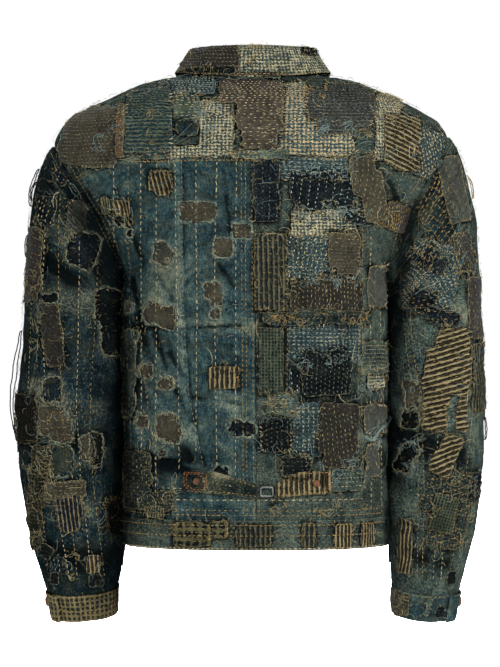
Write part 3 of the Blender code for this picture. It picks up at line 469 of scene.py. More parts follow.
def side_swell(z):
    """How far the body's sides and the sleeves swell towards each other at a height."""
    return smooth_step(*SWELL_BOTTOM, z) * (1 - smooth_step(*SWELL_TOP, z))


def torso_point(angle, level, lift=0.0):
    """A point on the torso with its folds and crumple, moved out by lift."""
    angle, level, lift = np.broadcast_arrays(angle, level, lift)
    level = np.clip(level, FORM_EDGE, NECK_LEVEL - FORM_EDGE)
    point, normal = outward(torso_plain, angle, level, torso_centre)
    on_back = smooth_step(*FOLDS_FADE_BODY, np.sin(angle))
    on_front = smooth_step(*FOLDS_FADE_BODY, -np.sin(angle))
    height = relief(BACK_FOLDS, point[:, 0], point[:, 2]) * on_back
    height += relief(FRONT_FOLDS, point[:, 0], point[:, 2]) * on_front
    at_side = smooth_step(BODY_SWELL_FROM, 1.0, np.abs(np.cos(angle))) * side_swell(point[:, 2])
    return point + normal * (height + BODY_SWELL * at_side + crumple(point) + lift)[:, None]


def mirrored(side, angle):
    """The angle itself on the wearer's left, and its mirror image on the right."""
    return angle if side > 0 else math.pi - angle


def armhole(side, turn):
    """Angle and level on the torso of the armhole seam, turn 0 at the back and 90 degrees on top."""
    top = ARMHOLE_TOP[side]
    z = (top + ARMHOLE_BOTTOM) / 2 + (top - ARMHOLE_BOTTOM) / 2 * np.sin(turn)
    reach = np.where(np.cos(turn) > 0, ARMHOLE_BACK, ARMHOLE_FRONT)
    angle = reach * np.cos(turn) * (1 - ARMHOLE_SKEW * np.sin(turn))
    return mirrored(side, angle), level_at(z)


def yoke_end(side):
    """Turn of the armhole at which the yoke seam meets it."""
    top = ARMHOLE_TOP[side]
    middle = (top + ARMHOLE_BOTTOM) / 2
    return math.asin((YOKE_Z - YOKE_DROP - middle) / (top - middle))


def yoke_level(side, angle):
    """Level of the yoke seam at an angle on one side of the back."""
    end = armhole(side, np.array([yoke_end(side)]))
    end_x = abs(torso_plain(*end)[0, 0])
    level = level_at(np.full_like(angle, YOKE_Z))
    for _ in range(LEVEL_ROUNDS):
        x = torso_plain(angle, level)[:, 0]
        level = level_at(YOKE_Z - YOKE_DROP * (np.abs(x) / end_x) ** 4)
    return level


def joined(*pieces):
    """One edge from several runs of (angle, level) points, evened out by length on the torso."""
    angle = np.concatenate([piece[0] for piece in pieces])
    level = np.concatenate([piece[1] for piece in pieces])
    steps = np.linalg.norm(np.diff(torso_plain(angle, level), axis=0), axis=1)
    length = np.concatenate([[0], np.cumsum(steps)])

    def edge(part):
        at = part * length[-1]
        return np.stack([np.interp(at, length, angle), np.interp(at, length, level)])

    edge.length = length[-1]
    return edge


def split(first, second, share):
    """Two edges end to end, with the corner between them at a share of the grid."""
    def edge(part):
        near = first(np.clip(part / share, 0, 1))
        far = second(np.clip((part - share) / (1 - share), 0, 1))
        return np.where(part < share, near, far)

    edge.length = first.length + second.length
    return edge


def reverse(edge):
    def turned(part):
        return edge(1 - part)

    turned.length = edge.length
    return turned


def run(start, end, count=60):
    """A straight run of (angle, level) points between two."""
    part = np.linspace(0, 1, count)
    return start[0] + (end[0] - start[0]) * part, start[1] + (end[1] - start[1]) * part


def armhole_run(side, start, end):
    return armhole(side, np.linspace(start, end, 80))


def quilt(bottom, top, start, end):
    """Angle and level across a panel from its four edges, drawn in by half a seam gap."""
    across = (bottom.length + top.length) / 2
    up = (start.length + end.length) / 2

    def place(u, v):
        u = SEAM_GAP / 2 / across + u * (1 - SEAM_GAP / across)
        v = SEAM_GAP / 2 / up + v * (1 - SEAM_GAP / up)
        low, high = bottom(np.array([0.0, 1.0])), top(np.array([0.0, 1.0]))
        ruled = (1 - v) * bottom(u) + v * top(u) + (1 - u) * start(v) + u * end(v)
        corners = (1 - u) * ((1 - v) * low[:, :1] + v * high[:, :1])
        corners += u * ((1 - v) * low[:, 1:] + v * high[:, 1:])
        return ruled - corners

    place.size = (across, up)
    return place


def yoke_half_seam(side):
    """The yoke seam from an armhole to the centre back."""
    outer = armhole(side, np.array([yoke_end(side)]))[0][0]
    angle = np.linspace(outer, math.pi / 2, 60)
    return joined((angle, yoke_level(side, angle)))


def back_panel(side):
    waist = level_at(WAIST_Z - TUCK)
    middle = math.pi / 2
    side_angle = mirrored(side, 0.0)
    top = yoke_half_seam(side)
    underarm = (side_angle, level_at(ARMHOLE_BOTTOM))
    return quilt(
        joined(run((side_angle, waist), (middle, waist))),
        top,
        joined(run((side_angle, waist), underarm, 30), armhole_run(side, -math.pi / 2, yoke_end(side))),
        joined(run((middle, waist), (middle, top(np.array([1.0]))[1, 0]))),
    )


def yoke_side(side):
    """The yoke's end: up the armhole, over the shoulder and along the front shoulder seam."""
    hole = armhole_run(side, yoke_end(side), SHOULDER_SEAM_TURN)
    neck = (mirrored(side, SHOULDER_SEAM_NECK), NECK_LEVEL)
    return split(joined(hole), joined(run((hole[0][-1], hole[1][-1]), neck)), YOKE_ARMHOLE_SHARE)


def yoke_panel():
    neck = run((SHOULDER_SEAM_NECK, NECK_LEVEL), (math.pi - SHOULDER_SEAM_NECK, NECK_LEVEL), 120)
    seam = split(yoke_half_seam(1), reverse(yoke_half_seam(-1)), 0.5)
    return quilt(seam, joined(neck), yoke_side(1), yoke_side(-1))


def front_line(side, x, start, end):
    """A vertical line up the front, x from its centre towards the wearer's left."""
    levels = np.linspace(start, end, 60)
    columns = spline(TORSO_LEVELS, TORSO_SECTIONS, levels)
    off = np.arcsin((abs(x) / columns[:, 1]) ** (columns[:, 4] / 2))
    return mirrored(side, -math.pi / 2) + math.copysign(1, x) * off, levels


def front_panel(side, edge_x):
    waist = level_at(WAIST_Z - TUCK)
    side_angle = mirrored(side, 0.0)
    inner = front_line(side, edge_x, waist, NECK_LEVEL)
    hole = armhole_run(side, -math.pi / 2, -2 * math.pi + SHOULDER_SEAM_TURN)
    neck = (mirrored(side, SHOULDER_SEAM_NECK), NECK_LEVEL)
    shoulder = joined(run((hole[0][-1], hole[1][-1]), neck))
    return quilt(
        joined(run((side_angle, waist), (inner[0][0], waist))),
        split(shoulder, joined(run(neck, (inner[0][-1], NECK_LEVEL))), FRONT_SHOULDER_SHARE),
        joined(run((side_angle, waist), (side_angle, level_at(ARMHOLE_BOTTOM)), 30), hole),
        joined(inner),
    )


def front_strip(left_x, right_x, start, end):
    """A strip up the centre front between two vertical lines."""
    left = front_line(1, left_x, start, end)
    right = front_line(1, right_x, start, end)
    return quilt(
        joined(run((left[0][0], start), (right[0][0], start))),
        joined(run((left[0][-1], end), (right[0][-1], end))),
        joined(left),
        joined(right),
    )


def waistband(start, end):
    """Angle and level over the waistband between two lines of (angle, level) points."""
    return quilt(
        joined(run((start[0][0], 0.0), (end[0][0], 0.0))),
        joined(run((start[0][-1], end[1][-1]), (end[0][-1], end[1][-1]))),
        joined(start),
        joined(end),
    )


def on_torso(place, depth=0.0, tucked=False):
    """A panel's surface. A right front drops by depth under the piece that laps over it.

    The lower edge of a tucked panel lies behind the waistband."""
    def surface(u, v, lift=0.0):
        angle, level = place(u, v)
        if tucked:
            clear = smooth_step(level_at(WAIST_Z), level_at(WAIST_Z + TUCK / 2), level)
            lift = lift - TUCK_DEPTH * (1 - clear)
        if not depth:
            return torso_point(angle, level, lift)
        shift = spline(TORSO_LEVELS, TORSO_SECTIONS, level)[:, 7]
        x = torso_plain(angle, level)[:, 0] - shift
        drop = smooth_step(-PLACKET_HALF - LAP_RUN, -PLACKET_HALF - LAP_EDGE, x)
        return torso_point(angle, level, lift - depth * drop)

    surface.size = place.size
    return surface


def collar_plain(angle, turn):
    return ring_point(spline(COLLAR_RINGS[:, 0], COLLAR_RINGS[:, 1:], turn), angle)


def collar_middle(point):
    """A point beside each point of the collar, inside its fold, so that normals face away from it."""
    around = point[:, :2] / np.linalg.norm(point[:, :2], axis=1)[:, None]
    return np.concatenate([around * COLLAR_FOLD, (point[:, 2] - 0.006)[:, None]], axis=1)


def collar_point(angle, turn, lift=0.0):
    angle, turn, lift = np.broadcast_arrays(angle, turn, lift)
    inside = np.clip(turn, FORM_EDGE, 1 - FORM_EDGE)
    point, normal = outward(collar_plain, angle, inside, collar_middle)
    height = crumple(point) * COLLAR_CRUMPLE * smooth_step(*COLLAR_CRUMPLE_FADE, turn)
    return point + normal * (height + lift)[:, None]


def on_collar(u, v, lift=0.0):
    end = COLLAR_END + COLLAR_END_SPREAD * v
    point = collar_point(end + u * (math.pi - 2 * end), v, lift)
    point[:, 2] -= COLLAR_TUCK * (1 - smooth_step(0, COLLAR_TUCK_SHARE, v))
    return point


def sleeve_ring(side, turn, z):
    """A point on the sleeve below its cap, at the height z of the arm's centre line."""
    table = SLEEVE_RINGS[::-1]
    columns = [1, 2, 5, 6] if side > 0 else [3, 4, 5, 6]
    read = spline(table[:, 0], table[:, columns], z)
    slope = (spline(table[:, 0], table[:, columns], z + RING_STEP) - read) / RING_STEP
    dx = read[:, 1] * np.sin(turn)
    dy = read[:, 3] * np.cos(turn)
    tilt = dx * slope[:, 0] + dy * slope[:, 2]
    return np.stack([side * (read[:, 0] + dx), read[:, 2] + dy, z - tilt], axis=1)


def sleeve_plain(side):
    """The sleeve's form: reach 0 is the armhole seam, 1 the end of the cap, 2 the bottom ring."""
    def form(turn, reach):
        hole = torso_plain(*armhole(side, turn))
        hole[:, 0] += side * (CLOTH / 2 + SLEEVE_CLEAR - UNDERARM_CLEAR * np.minimum(np.sin(turn), 0))
        ring = sleeve_ring(side, turn, np.full_like(turn, SLEEVE_TOP_Z))
        chord = np.linalg.norm(ring - hole, axis=1)[:, None]
        out = side * (CAP_LEAVE_OUT[0] + CAP_LEAVE_OUT[1] * np.sin(turn))
        leave = np.stack([out, CAP_LEAVE_BACK * np.cos(turn), np.full_like(turn, CAP_LEAVE_DOWN)], axis=1)
        leave *= CAP_PULL * chord / np.linalg.norm(leave, axis=1)[:, None]
        arrive = chord * np.array([0, 0, -1.0])
        part = np.clip(reach, 0, 1)[:, None]
        cap = (1 + 2 * part) * (1 - part) ** 2 * hole + part ** 2 * (3 - 2 * part) * ring
        cap += part * (1 - part) ** 2 * leave + part ** 2 * (part - 1) * arrive
        down = SLEEVE_TOP_Z - SLEEVE_LENGTH * (reach - 1)
        return np.where((reach < 1)[:, None], cap, sleeve_ring(side, turn, down))

    return form


def arm_centre(side):
    """The middle of the arm beside each point of a sleeve."""
    table = SLEEVE_RINGS[::-1]

    def centre(point):
        column = 1 if side > 0 else 3
        x = side * np.interp(point[:, 2], table[:, 0], table[:, column])
        y = np.interp(point[:, 2], table[:, 0], table[:, 5])
        return np.stack([x - side * 0.02, y, np.minimum(point[:, 2], -0.14)], axis=1)

    return centre


def sleeve_point(side, turn, reach, lift=0.0):
    turn, reach, lift = np.broadcast_arrays(turn, reach, lift)
    reach = np.clip(reach, FORM_EDGE, 2 - FORM_EDGE)
    point, normal = outward(sleeve_plain(side), turn, reach, arm_centre(side))
    x, z = np.abs(point[:, 0]), point[:, 2]
    in_cap = smooth_step(*FOLDS_FADE_CAP, reach)
    on_back = smooth_step(*FOLDS_FADE_ARM, np.cos(turn)) * in_cap
    on_front = smooth_step(*FOLDS_FADE_ARM, -np.cos(turn)) * in_cap
    height = (relief(SLEEVE_FOLDS, x, z) + relief(ARM_CREASES[side], x, z)) * on_back
    height += relief(ARM_CREASES[-side], x, z) * on_front
    height += crumple(point) * smooth_step(*CAP_CRUMPLE_FADE, reach)
    at_side = smooth_step(SLEEVE_SWELL_FROM, 1.0, -np.sin(turn)) * side_swell(point[:, 2])
    height += SLEEVE_SWELL * at_side
    tuck = 1 - smooth_step(0, ARMHOLE_TUCK_REACH, reach)
    point = point + normal * (height + lift - ARMHOLE_TUCK / 3 * tuck)[:, None]
    point[:, 0] -= side * ARMHOLE_TUCK * tuck
    return point


def reach_at(z):
    return 1 + (SLEEVE_TOP_Z - z) / SLEEVE_LENGTH


def on_sleeve(side, top_piece):
    """One of a sleeve's two pieces, between its back and front seams, its end tucked into the cuff."""
    seam, last = reach_at(CUFF_SEAM_Z), reach_at(CUFF_SEAM_Z - TUCK)
    above = reach_at(CUFF_SEAM_Z + TUCK / 2)

    def surface(u, v, lift=0.0):
        back = BACK_SEAM_TOP + (BACK_SEAM_CUFF - BACK_SEAM_TOP) * v
        front = FRONT_SEAM_TOP + (FRONT_SEAM_CUFF - FRONT_SEAM_TOP) * v
        if top_piece:
            start, end = back + SLEEVE_SEAM_TURN, front - SLEEVE_SEAM_TURN
        else:
            start, end = back + 2 * math.pi - SLEEVE_SEAM_TURN, front + SLEEVE_SEAM_TURN
        inward = TUCK_DEPTH * smooth_step(above, seam, v * last)
        return sleeve_point(side, start + (end - start) * u, v * last, lift - inward)

    return surface


def on_cuff(side):
    def surface(u, v, lift=0.0):
        z = CUFF_HEM_Z + v * (CUFF_SEAM_Z - SEAM_GAP - CUFF_HEM_Z)
        rise = CUFF_RISE * (1 - smooth_step(0, CUFF_LAP, u)) + CUFF_STAND
        return sleeve_point(side, CUFF_END + CUFF_TURN * u, reach_at(z), lift + rise)

    return surface


def find_on_back(x, z):
    """Angle and level of the point of the back at x, z."""
    angle = np.full_like(x, math.pi / 2)
    level = level_at(z)
    for _ in range(LEVEL_ROUNDS):
        columns = spline(TORSO_LEVELS, TORSO_SECTIONS, level)
        side = np.clip((x - columns[:, 7]) / columns[:, 1], -0.999, 0.999)
        angle = np.arccos(np.sign(side) * np.abs(side) ** (columns[:, 4] / 2))
        level = level_at(z - columns[:, 5] * np.sin(angle) ** 2)
    return angle, level


def on_strap(table):
    order = np.argsort(table[:, 0])
    keys = table[order, 0]

    def surface(u, v, lift=0.0):
        x = keys[0] + (keys[-1] - keys[0]) * u
        read = spline(keys, table[order, 1:], x)
        z = read[:, 0] + read[:, 1] * (2 * v - 1)
        return torso_point(*find_on_back(x, z), lift + STRAP_STAND)

    return surface


# ---------------------------------------------------------------- charts: flat coordinates on the forms
SCAN_GRID = (70, 110)
FIND_STEP = 1e-4
FIND_ROUNDS = 4
LEAST_AREA = 1e-6
# Where pieces stop that wrap round a form's sides, short of the chart's end: how far, and how raggedly
SIDE_STOP = 0.008
SIDE_RAG = 0.005
SIDE_RAG_SIZE = 0.02


class Chart:
    """Coordinates a, b on a form: a function that places them, the part seen in the view that its
    pieces are drawn in, and how many metres one unit of a and of b is."""

    def __init__(self, point, a_span, b_span, metres, uv=None, seen=None):
        self.point = point
        self.a_span = a_span
        self.b_span = b_span
        self.metres = metres
        self.uv = uv or (lambda a, b: np.stack([a * metres[0], b * metres[1]], axis=1))
        self.seen = seen or a_span
        columns, rows = SCAN_GRID
        a, b = np.meshgrid(np.linspace(*self.seen, columns), np.linspace(*b_span, rows), indexing="ij")
        self.scan_a, self.scan_b = a.ravel(), b.ravel()
        self.scan_at = point(self.scan_a, self.scan_b)
        self.step = ((self.seen[1] - self.seen[0]) / (columns - 1), (b_span[1] - b_span[0]) / (rows - 1))

    def past_side(self, a, b):
        """Distance past the ragged ends where pieces that wrap round the form's sides stop."""
        if self.seen == self.a_span:
            return np.full_like(a, -1.0)
        ends = SIDE_STOP + SIDE_RAG * lumps_flat(a * self.metres[0], b, SIDE_RAG_SIZE, 17)
        past = np.maximum(a - self.a_span[1], self.a_span[0] - a) * self.metres[0]
        return past + ends

    def find(self, x, z):
        """The a and b of points given by x and z."""
        x, z = np.atleast_1d(x).astype(float), np.atleast_1d(z).astype(float)
        off = (self.scan_at[:, 0][None] - x[:, None]) ** 2 + (self.scan_at[:, 2][None] - z[:, None]) ** 2
        best = np.argmin(off, axis=1)
        a, b = self.scan_a[best].copy(), self.scan_b[best].copy()
        for _ in range(FIND_ROUNDS):
            here = self.point(a, b)
            along_a = (self.point(a + FIND_STEP, b) - here) / FIND_STEP
            along_b = (self.point(a, b + FIND_STEP) - here) / FIND_STEP
            gap_x, gap_z = x - here[:, 0], z - here[:, 2]
            area = along_a[:, 0] * along_b[:, 2] - along_a[:, 2] * along_b[:, 0]
            area = np.where(np.abs(area) < LEAST_AREA, LEAST_AREA, area)
            move_a = (gap_x * along_b[:, 2] - gap_z * along_b[:, 0]) / area
            move_b = (gap_z * along_a[:, 0] - gap_x * along_a[:, 2]) / area
            a = np.clip(a + np.clip(move_a, -self.step[0], self.step[0]), *self.seen)
            b = np.clip(b + np.clip(move_b, -self.step[1], self.step[1]), *self.b_span)
        return a, b


def torso_at(turn, level, lift=0.0):
    """A torso point by its turn round the ring: 0 at the centre back, a quarter at the left side."""
    turn, level, lift = np.broadcast_arrays(turn, level, lift)
    power = spline(TORSO_LEVELS, TORSO_SECTIONS, level)[:, 4]
    across = np.sign(np.sin(turn)) * np.abs(np.sin(turn)) ** (power / 2)
    along = np.sign(np.cos(turn)) * np.sqrt(np.maximum(1 - across ** 2, 0))
    return torso_point(np.arctan2(along, across), level, lift)


def torso_uv(turn, level):
    width = spline(TORSO_LEVELS, TORSO_SECTIONS, level)[:, 1]
    return np.stack([turn * width, level], axis=1)


def arm_at(side):
    """A sleeve point by its turn round the arm and its distance down from the armhole."""
    def point(turn, down, lift=0.0):
        reach = np.where(down < CAP_LENGTH, down / CAP_LENGTH, 1 + (down - CAP_LENGTH) / SLEEVE_LENGTH)
        return sleeve_point(side, turn, reach, lift)

    return point


def arm_down(z):
    return CAP_LENGTH + SLEEVE_TOP_Z - z


def cuff_at(side):
    """A cuff point by its turn round the arm and its height above the hem."""
    def point(turn, height, lift=0.0):
        round_band = np.where(turn < CUFF_END, turn + 2 * math.pi, turn)
        rise = CUFF_RISE * (1 - smooth_step(0, CUFF_LAP, (round_band - CUFF_END) / CUFF_TURN)) + CUFF_STAND
        return sleeve_point(side, turn, reach_at(CUFF_HEM_Z + height), lift + rise)

    return point


def collar_at(angle, fall, lift=0.0):
    """A collar point by its angle and how many metres it is from the neck seam, over the fold."""
    return collar_point(angle, fall / COLLAR_WIDTH, lift)


# Turns in radians, and metres up the body, down the arm, over the collar and up the cuff
QUARTER = math.pi / 2
BACK_TURNS = (-1.50, 1.50)
BACK_SEEN = (-1.42, 1.42)
FRONT_TURNS = (QUARTER + 0.12, 3 * QUARTER - 0.12)
BODY_SPAN = (0.001, NECK_LEVEL - 0.002)
BODY_METRES = (0.166, 1.0)
COLLAR_WIDTH = 0.10
COLLAR_TURNS = (0.15, math.pi - 0.15)
COLLAR_SPAN = (0.056, 0.0998)
COLLAR_METRES = (0.09, 1.0)
ARM_TURNS = (-1.50, 2.05)
ARM_SEEN = (-1.45, 1.50)
ARM_FRONT = (1.70, 4.60)
ARM_SPAN = (0.010, arm_down(CUFF_SEAM_Z))
ARM_METRES = (ARM_RADIUS, 1.0)
CUFF_TURNS = (-1.5, 1.5)
CUFF_SPAN = (0.0, 0.034)
CHARTS = {
    "back": Chart(torso_at, BACK_TURNS, BODY_SPAN, BODY_METRES, torso_uv, BACK_SEEN),
    "front": Chart(torso_at, FRONT_TURNS, BODY_SPAN, BODY_METRES, torso_uv),
    "collar": Chart(collar_at, COLLAR_TURNS, COLLAR_SPAN, COLLAR_METRES),
    "arm_left": Chart(arm_at(1), ARM_TURNS, ARM_SPAN, ARM_METRES, None, ARM_SEEN),
    "arm_right": Chart(arm_at(-1), ARM_TURNS, ARM_SPAN, ARM_METRES, None, ARM_SEEN),
    "arm_front_left": Chart(arm_at(1), ARM_FRONT, ARM_SPAN, ARM_METRES),
    "arm_front_right": Chart(arm_at(-1), ARM_FRONT, ARM_SPAN, ARM_METRES),
    "cuff_left": Chart(cuff_at(1), CUFF_TURNS, CUFF_SPAN, (0.048, 1.0)),
    "cuff_right": Chart(cuff_at(-1), CUFF_TURNS, CUFF_SPAN, (0.046, 1.0)),
}


# ---------------------------------------------------------------- building meshes
class Build:
    """Triangles gathered for one object, with their flat coordinates, wear and materials."""

    def __init__(self):
        self.points, self.uv, self.marks, self.faces, self.looks = [], [], [], [], []
        self.names = []
        self.count = 0

    def add(self, points, faces, look, uv=None, edge=None, wear=None, dirt=None):
        if look not in self.names:
            self.names.append(look)
        zero = np.zeros(len(points))
        marks = [zero if mark is None else mark for mark in (edge, wear, dirt)]
        self.points.append(points)
        self.uv.append(np.zeros((len(points), 2)) if uv is None else uv)
        self.marks.append(np.stack(marks, axis=1))
        self.faces.append(faces + self.count)
        self.looks.append(np.full(len(faces), self.names.index(look)))
        self.count += len(points)

    def emit(self, name, slot, wall=0.0):
        """The object, with a wall by Solidify where one is given."""
        points, faces = np.concatenate(self.points), np.concatenate(self.faces)
        mesh = bpy.data.meshes.new(name)
        mesh.vertices.add(len(points))
        mesh.vertices.foreach_set("co", points.astype(np.float32).ravel())
        mesh.loops.add(faces.size)
        mesh.loops.foreach_set("vertex_index", faces.astype(np.int32).ravel())
        mesh.polygons.add(len(faces))
        mesh.polygons.foreach_set("loop_start", np.arange(0, faces.size, 3, dtype=np.int32))
        mesh.polygons.foreach_set("material_index", np.concatenate(self.looks).astype(np.int32))
        mesh.update(calc_edges=True)
        layer = mesh.uv_layers.new(name="flat")
        corner_uv = np.concatenate(self.uv)[faces.ravel()]
        layer.uv.foreach_set("vector", corner_uv.astype(np.float32).ravel())
        marks = np.concatenate(self.marks)
        # The marks: frayed edge, wear, and dirt together with painted shade
        for column, word in enumerate(("edge", "wear", "dirt")):
            held = mesh.attributes.new(word, "FLOAT", "POINT")
            held.data.foreach_set("value", marks[:, column].astype(np.float32))
        mesh.validate()
        mesh.shade_smooth()
        for kind in self.names:
            mesh.materials.append(look(kind))
        obj = bpy.data.objects.new(name, mesh)
        bpy.context.scene.collection.objects.link(obj)
        if wall:
            solid = obj.modifiers.new("wall", "SOLIDIFY")
            solid.thickness = wall
            solid.offset = 0
        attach(obj, "root")
        return obj


def grid_faces(rows, columns):
    """Triangles over a grid of points, with alternate diagonals."""
    index = np.arange(rows * columns).reshape(rows, columns)
    a, b, c, d = index[:-1, :-1], index[1:, :-1], index[1:, 1:], index[:-1, 1:]
    odd = (np.add.outer(np.arange(rows - 1), np.arange(columns - 1)) % 2 == 0)
    first = np.where(odd[..., None], np.stack([a, b, c], -1), np.stack([a, b, d], -1))
    second = np.where(odd[..., None], np.stack([a, c, d], -1), np.stack([b, c, d], -1))
    return np.concatenate([first.reshape(-1, 3), second.reshape(-1, 3)])


def outward_faces(points, faces, middle):
    """The faces turned so that they look away from the middle point beside them."""
    corner = points[faces]
    normal = np.cross(corner[:, 1] - corner[:, 0], corner[:, 2] - corner[:, 0])
    away = corner.mean(axis=1) - middle(corner.mean(axis=1))
    return faces if (normal * away).sum() >= 0 else faces[:, ::-1]


LEAST_SHARE = 0.03
BLOB_MELT = 0.003
# Lumps of an outline's roughness: their size, and their height as a share of the roughness
RAGGED = ((0.011, 1.1), (0.0042, 0.8))
# How far past a piece's outline the grid that it's cut from reaches
GRID_MARGIN = 0.006


def clip(a, b, value, faces):
    """The part of a triangle mesh where value is below zero: a, b, value, faces and rim segments."""
    inside = value < 0
    count = inside[faces].sum(axis=1)
    whole = faces[count == 3]
    # Each partly inside face is turned so that its odd corner comes first.
    part = faces[(count == 1) | (count == 2)]
    odd = np.where(inside[part].sum(axis=1)[:, None] == 1, inside[part], ~inside[part])
    first = np.argmax(odd, axis=1)
    part = part[np.arange(len(part))[:, None], (first[:, None] + np.arange(3)) % 3]
    one = inside[part[:, 0]]
    ends = np.concatenate([part[:, [0, 1]], part[:, [0, 2]]])
    keys = np.sort(ends, axis=1)
    unique, back = np.unique(keys, axis=0, return_inverse=True)
    back = back.reshape(-1)
    share = value[unique[:, 0]] / (value[unique[:, 0]] - value[unique[:, 1]])
    share = np.clip(share, LEAST_SHARE, 1 - LEAST_SHARE)
    cut_a = a[unique[:, 0]] + share * (a[unique[:, 1]] - a[unique[:, 0]])
    cut_b = b[unique[:, 0]] + share * (b[unique[:, 1]] - b[unique[:, 0]])
    near, far = back[:len(part)] + len(a), back[len(part):] + len(a)
    tips = np.stack([part[:, 0], near, far], axis=1)[one]
    trunks = np.concatenate([
        np.stack([near, part[:, 1], part[:, 2]], axis=1)[~one],
        np.stack([near, part[:, 2], far], axis=1)[~one],
    ])
    rim = np.stack([near, far], axis=1)
    faces = np.concatenate([whole, tips, trunks])
    a, b = np.concatenate([a, cut_a]), np.concatenate([b, cut_b])
    value = np.concatenate([value, np.zeros(len(cut_a))])
    used, faces_in = np.unique(faces, return_inverse=True)
    number = np.full(len(a), -1)
    number[used] = np.arange(len(used))
    return a[used], b[used], value[used], faces_in.reshape(faces.shape), number[rim]


def rim_loops(rim, shortest=8):
    """Chains of point numbers along a rim, from its segments."""
    beside = {}
    for one, two in rim.tolist():
        beside.setdefault(one, []).append(two)
        beside.setdefault(two, []).append(one)
    ends = [point for point, near in beside.items() if len(near) == 1]
    loops, seen = [], set()
    for start in ends + list(beside):
        if start in seen:
            continue
        chain = [start]
        seen.add(start)
        while True:
            onward = [near for near in beside[chain[-1]] if near not in seen]
            if not onward:
                break
            chain.append(onward[0])
            seen.add(onward[0])
        if len(chain) >= shortest:
            loops.append(np.array(chain))
    return loops


def blob_distance(x, z, blobs):
    """Distance outside the joined shape of rounded slanted boxes, in metres."""
    total = None
    for x_left, x_right, z_top, z_bottom, lean, roundness in blobs:
        centre = np.array([x_left + x_right, z_top + z_bottom]) / 2 * MM
        half = np.array([abs(x_left - x_right), abs(z_top - z_bottom)]) / 2 * MM
        slant = math.radians(lean)
        dx, dz = x - centre[0], z - centre[1]
        across = np.abs(dx * math.cos(slant) + dz * math.sin(slant))
        up = np.abs(dz * math.cos(slant) - dx * math.sin(slant))
        corner = roundness * half.min()
        over_x, over_z = across - half[0] + corner, up - half[1] + corner
        one = np.hypot(np.maximum(over_x, 0), np.maximum(over_z, 0)) - corner
        one += np.minimum(np.maximum(over_x, over_z), 0)
        if total is None:
            total = one
        else:
            mixed = np.maximum(BLOB_MELT - np.abs(total - one), 0) / BLOB_MELT
            total = np.minimum(total, one) - mixed * mixed * BLOB_MELT / 4
    return total


def ragged(x, z, amount, seed):
    """Roughness of an outline, in metres."""
    rough = sum(lumps_flat(x, z, size, seed + number) * tall for number, (size, tall) in enumerate(RAGGED))
    return amount * rough


def piece_grid(chart, near, cell):
    """A grid over the part of a chart where near(x, z) is below zero, and on round the form's sides."""
    close = near(chart.scan_at[:, 0], chart.scan_at[:, 2]) < 0
    if not close.any():
        return None
    a_low, a_high = chart.scan_a[close].min() - chart.step[0], chart.scan_a[close].max() + chart.step[0]
    a_low = chart.a_span[0] if a_low < chart.seen[0] else a_low
    a_high = chart.a_span[1] if a_high > chart.seen[1] else a_high
    b_low = max(chart.scan_b[close].min() - chart.step[1], chart.b_span[0])
    b_high = min(chart.scan_b[close].max() + chart.step[1], chart.b_span[1])
    columns = max(3, round((a_high - a_low) * chart.metres[0] / cell) + 1)
    rows = max(3, round((b_high - b_low) * chart.metres[1] / cell) + 1)
    a, b = np.meshgrid(np.linspace(a_low, a_high, columns), np.linspace(b_low, b_high, rows), indexing="ij")
    return a.ravel(), b.ravel(), grid_faces(columns, rows)


def middle_of(chart_name):
    if chart_name.startswith(("arm", "cuff")):
        return arm_centre(1 if chart_name.endswith("left") else -1)
    return collar_middle if chart_name == "collar" else torso_centre


class Cut:
    """A piece cut from a form: its mesh in a and b, and the distance in from its outline."""

    def __init__(self, chart_name, distance, cell):
        self.chart = CHARTS[chart_name]
        grid = piece_grid(self.chart, lambda x, z: distance(x, z) - GRID_MARGIN, cell)
        self.empty = grid is None
        if self.empty:
            return
        a, b, faces = grid
        at = self.chart.point(a, b)
        value = np.maximum(distance(at[:, 0], at[:, 2]), self.chart.past_side(a, b))
        self.empty = not (value < 0).any()
        if self.empty:
            return
        self.a, self.b, value, faces, self.rim = clip(a, b, value, faces)
        self.deep = -value
        at = self.chart.point(self.a, self.b)
        self.faces = outward_faces(at, faces, middle_of(chart_name))

    def place(self, lift):
        return self.chart.point(self.a, self.b, lift)


# ---------------------------------------------------------------- threads
TUBE_SIDES = 3
# A direction that hardly any thread follows, from which each tube's own sides are found
TUBE_ASIDE = np.array([0.3, 0.9, 0.25])
# Along a stitch, from -0.5 to 0.5: where it bends, and how high it is there
STITCH_BENDS = np.array([-0.5, -0.30, 0.30, 0.5])
STITCH_HEIGHTS = np.array([-0.0005, 0.00035, 0.00035, -0.0005])
# How high a loose thread's curl stands, and how high above the cloth it starts
STRAND_RISE = (0.0003, 0.0022)
STRAND_START = 0.0002


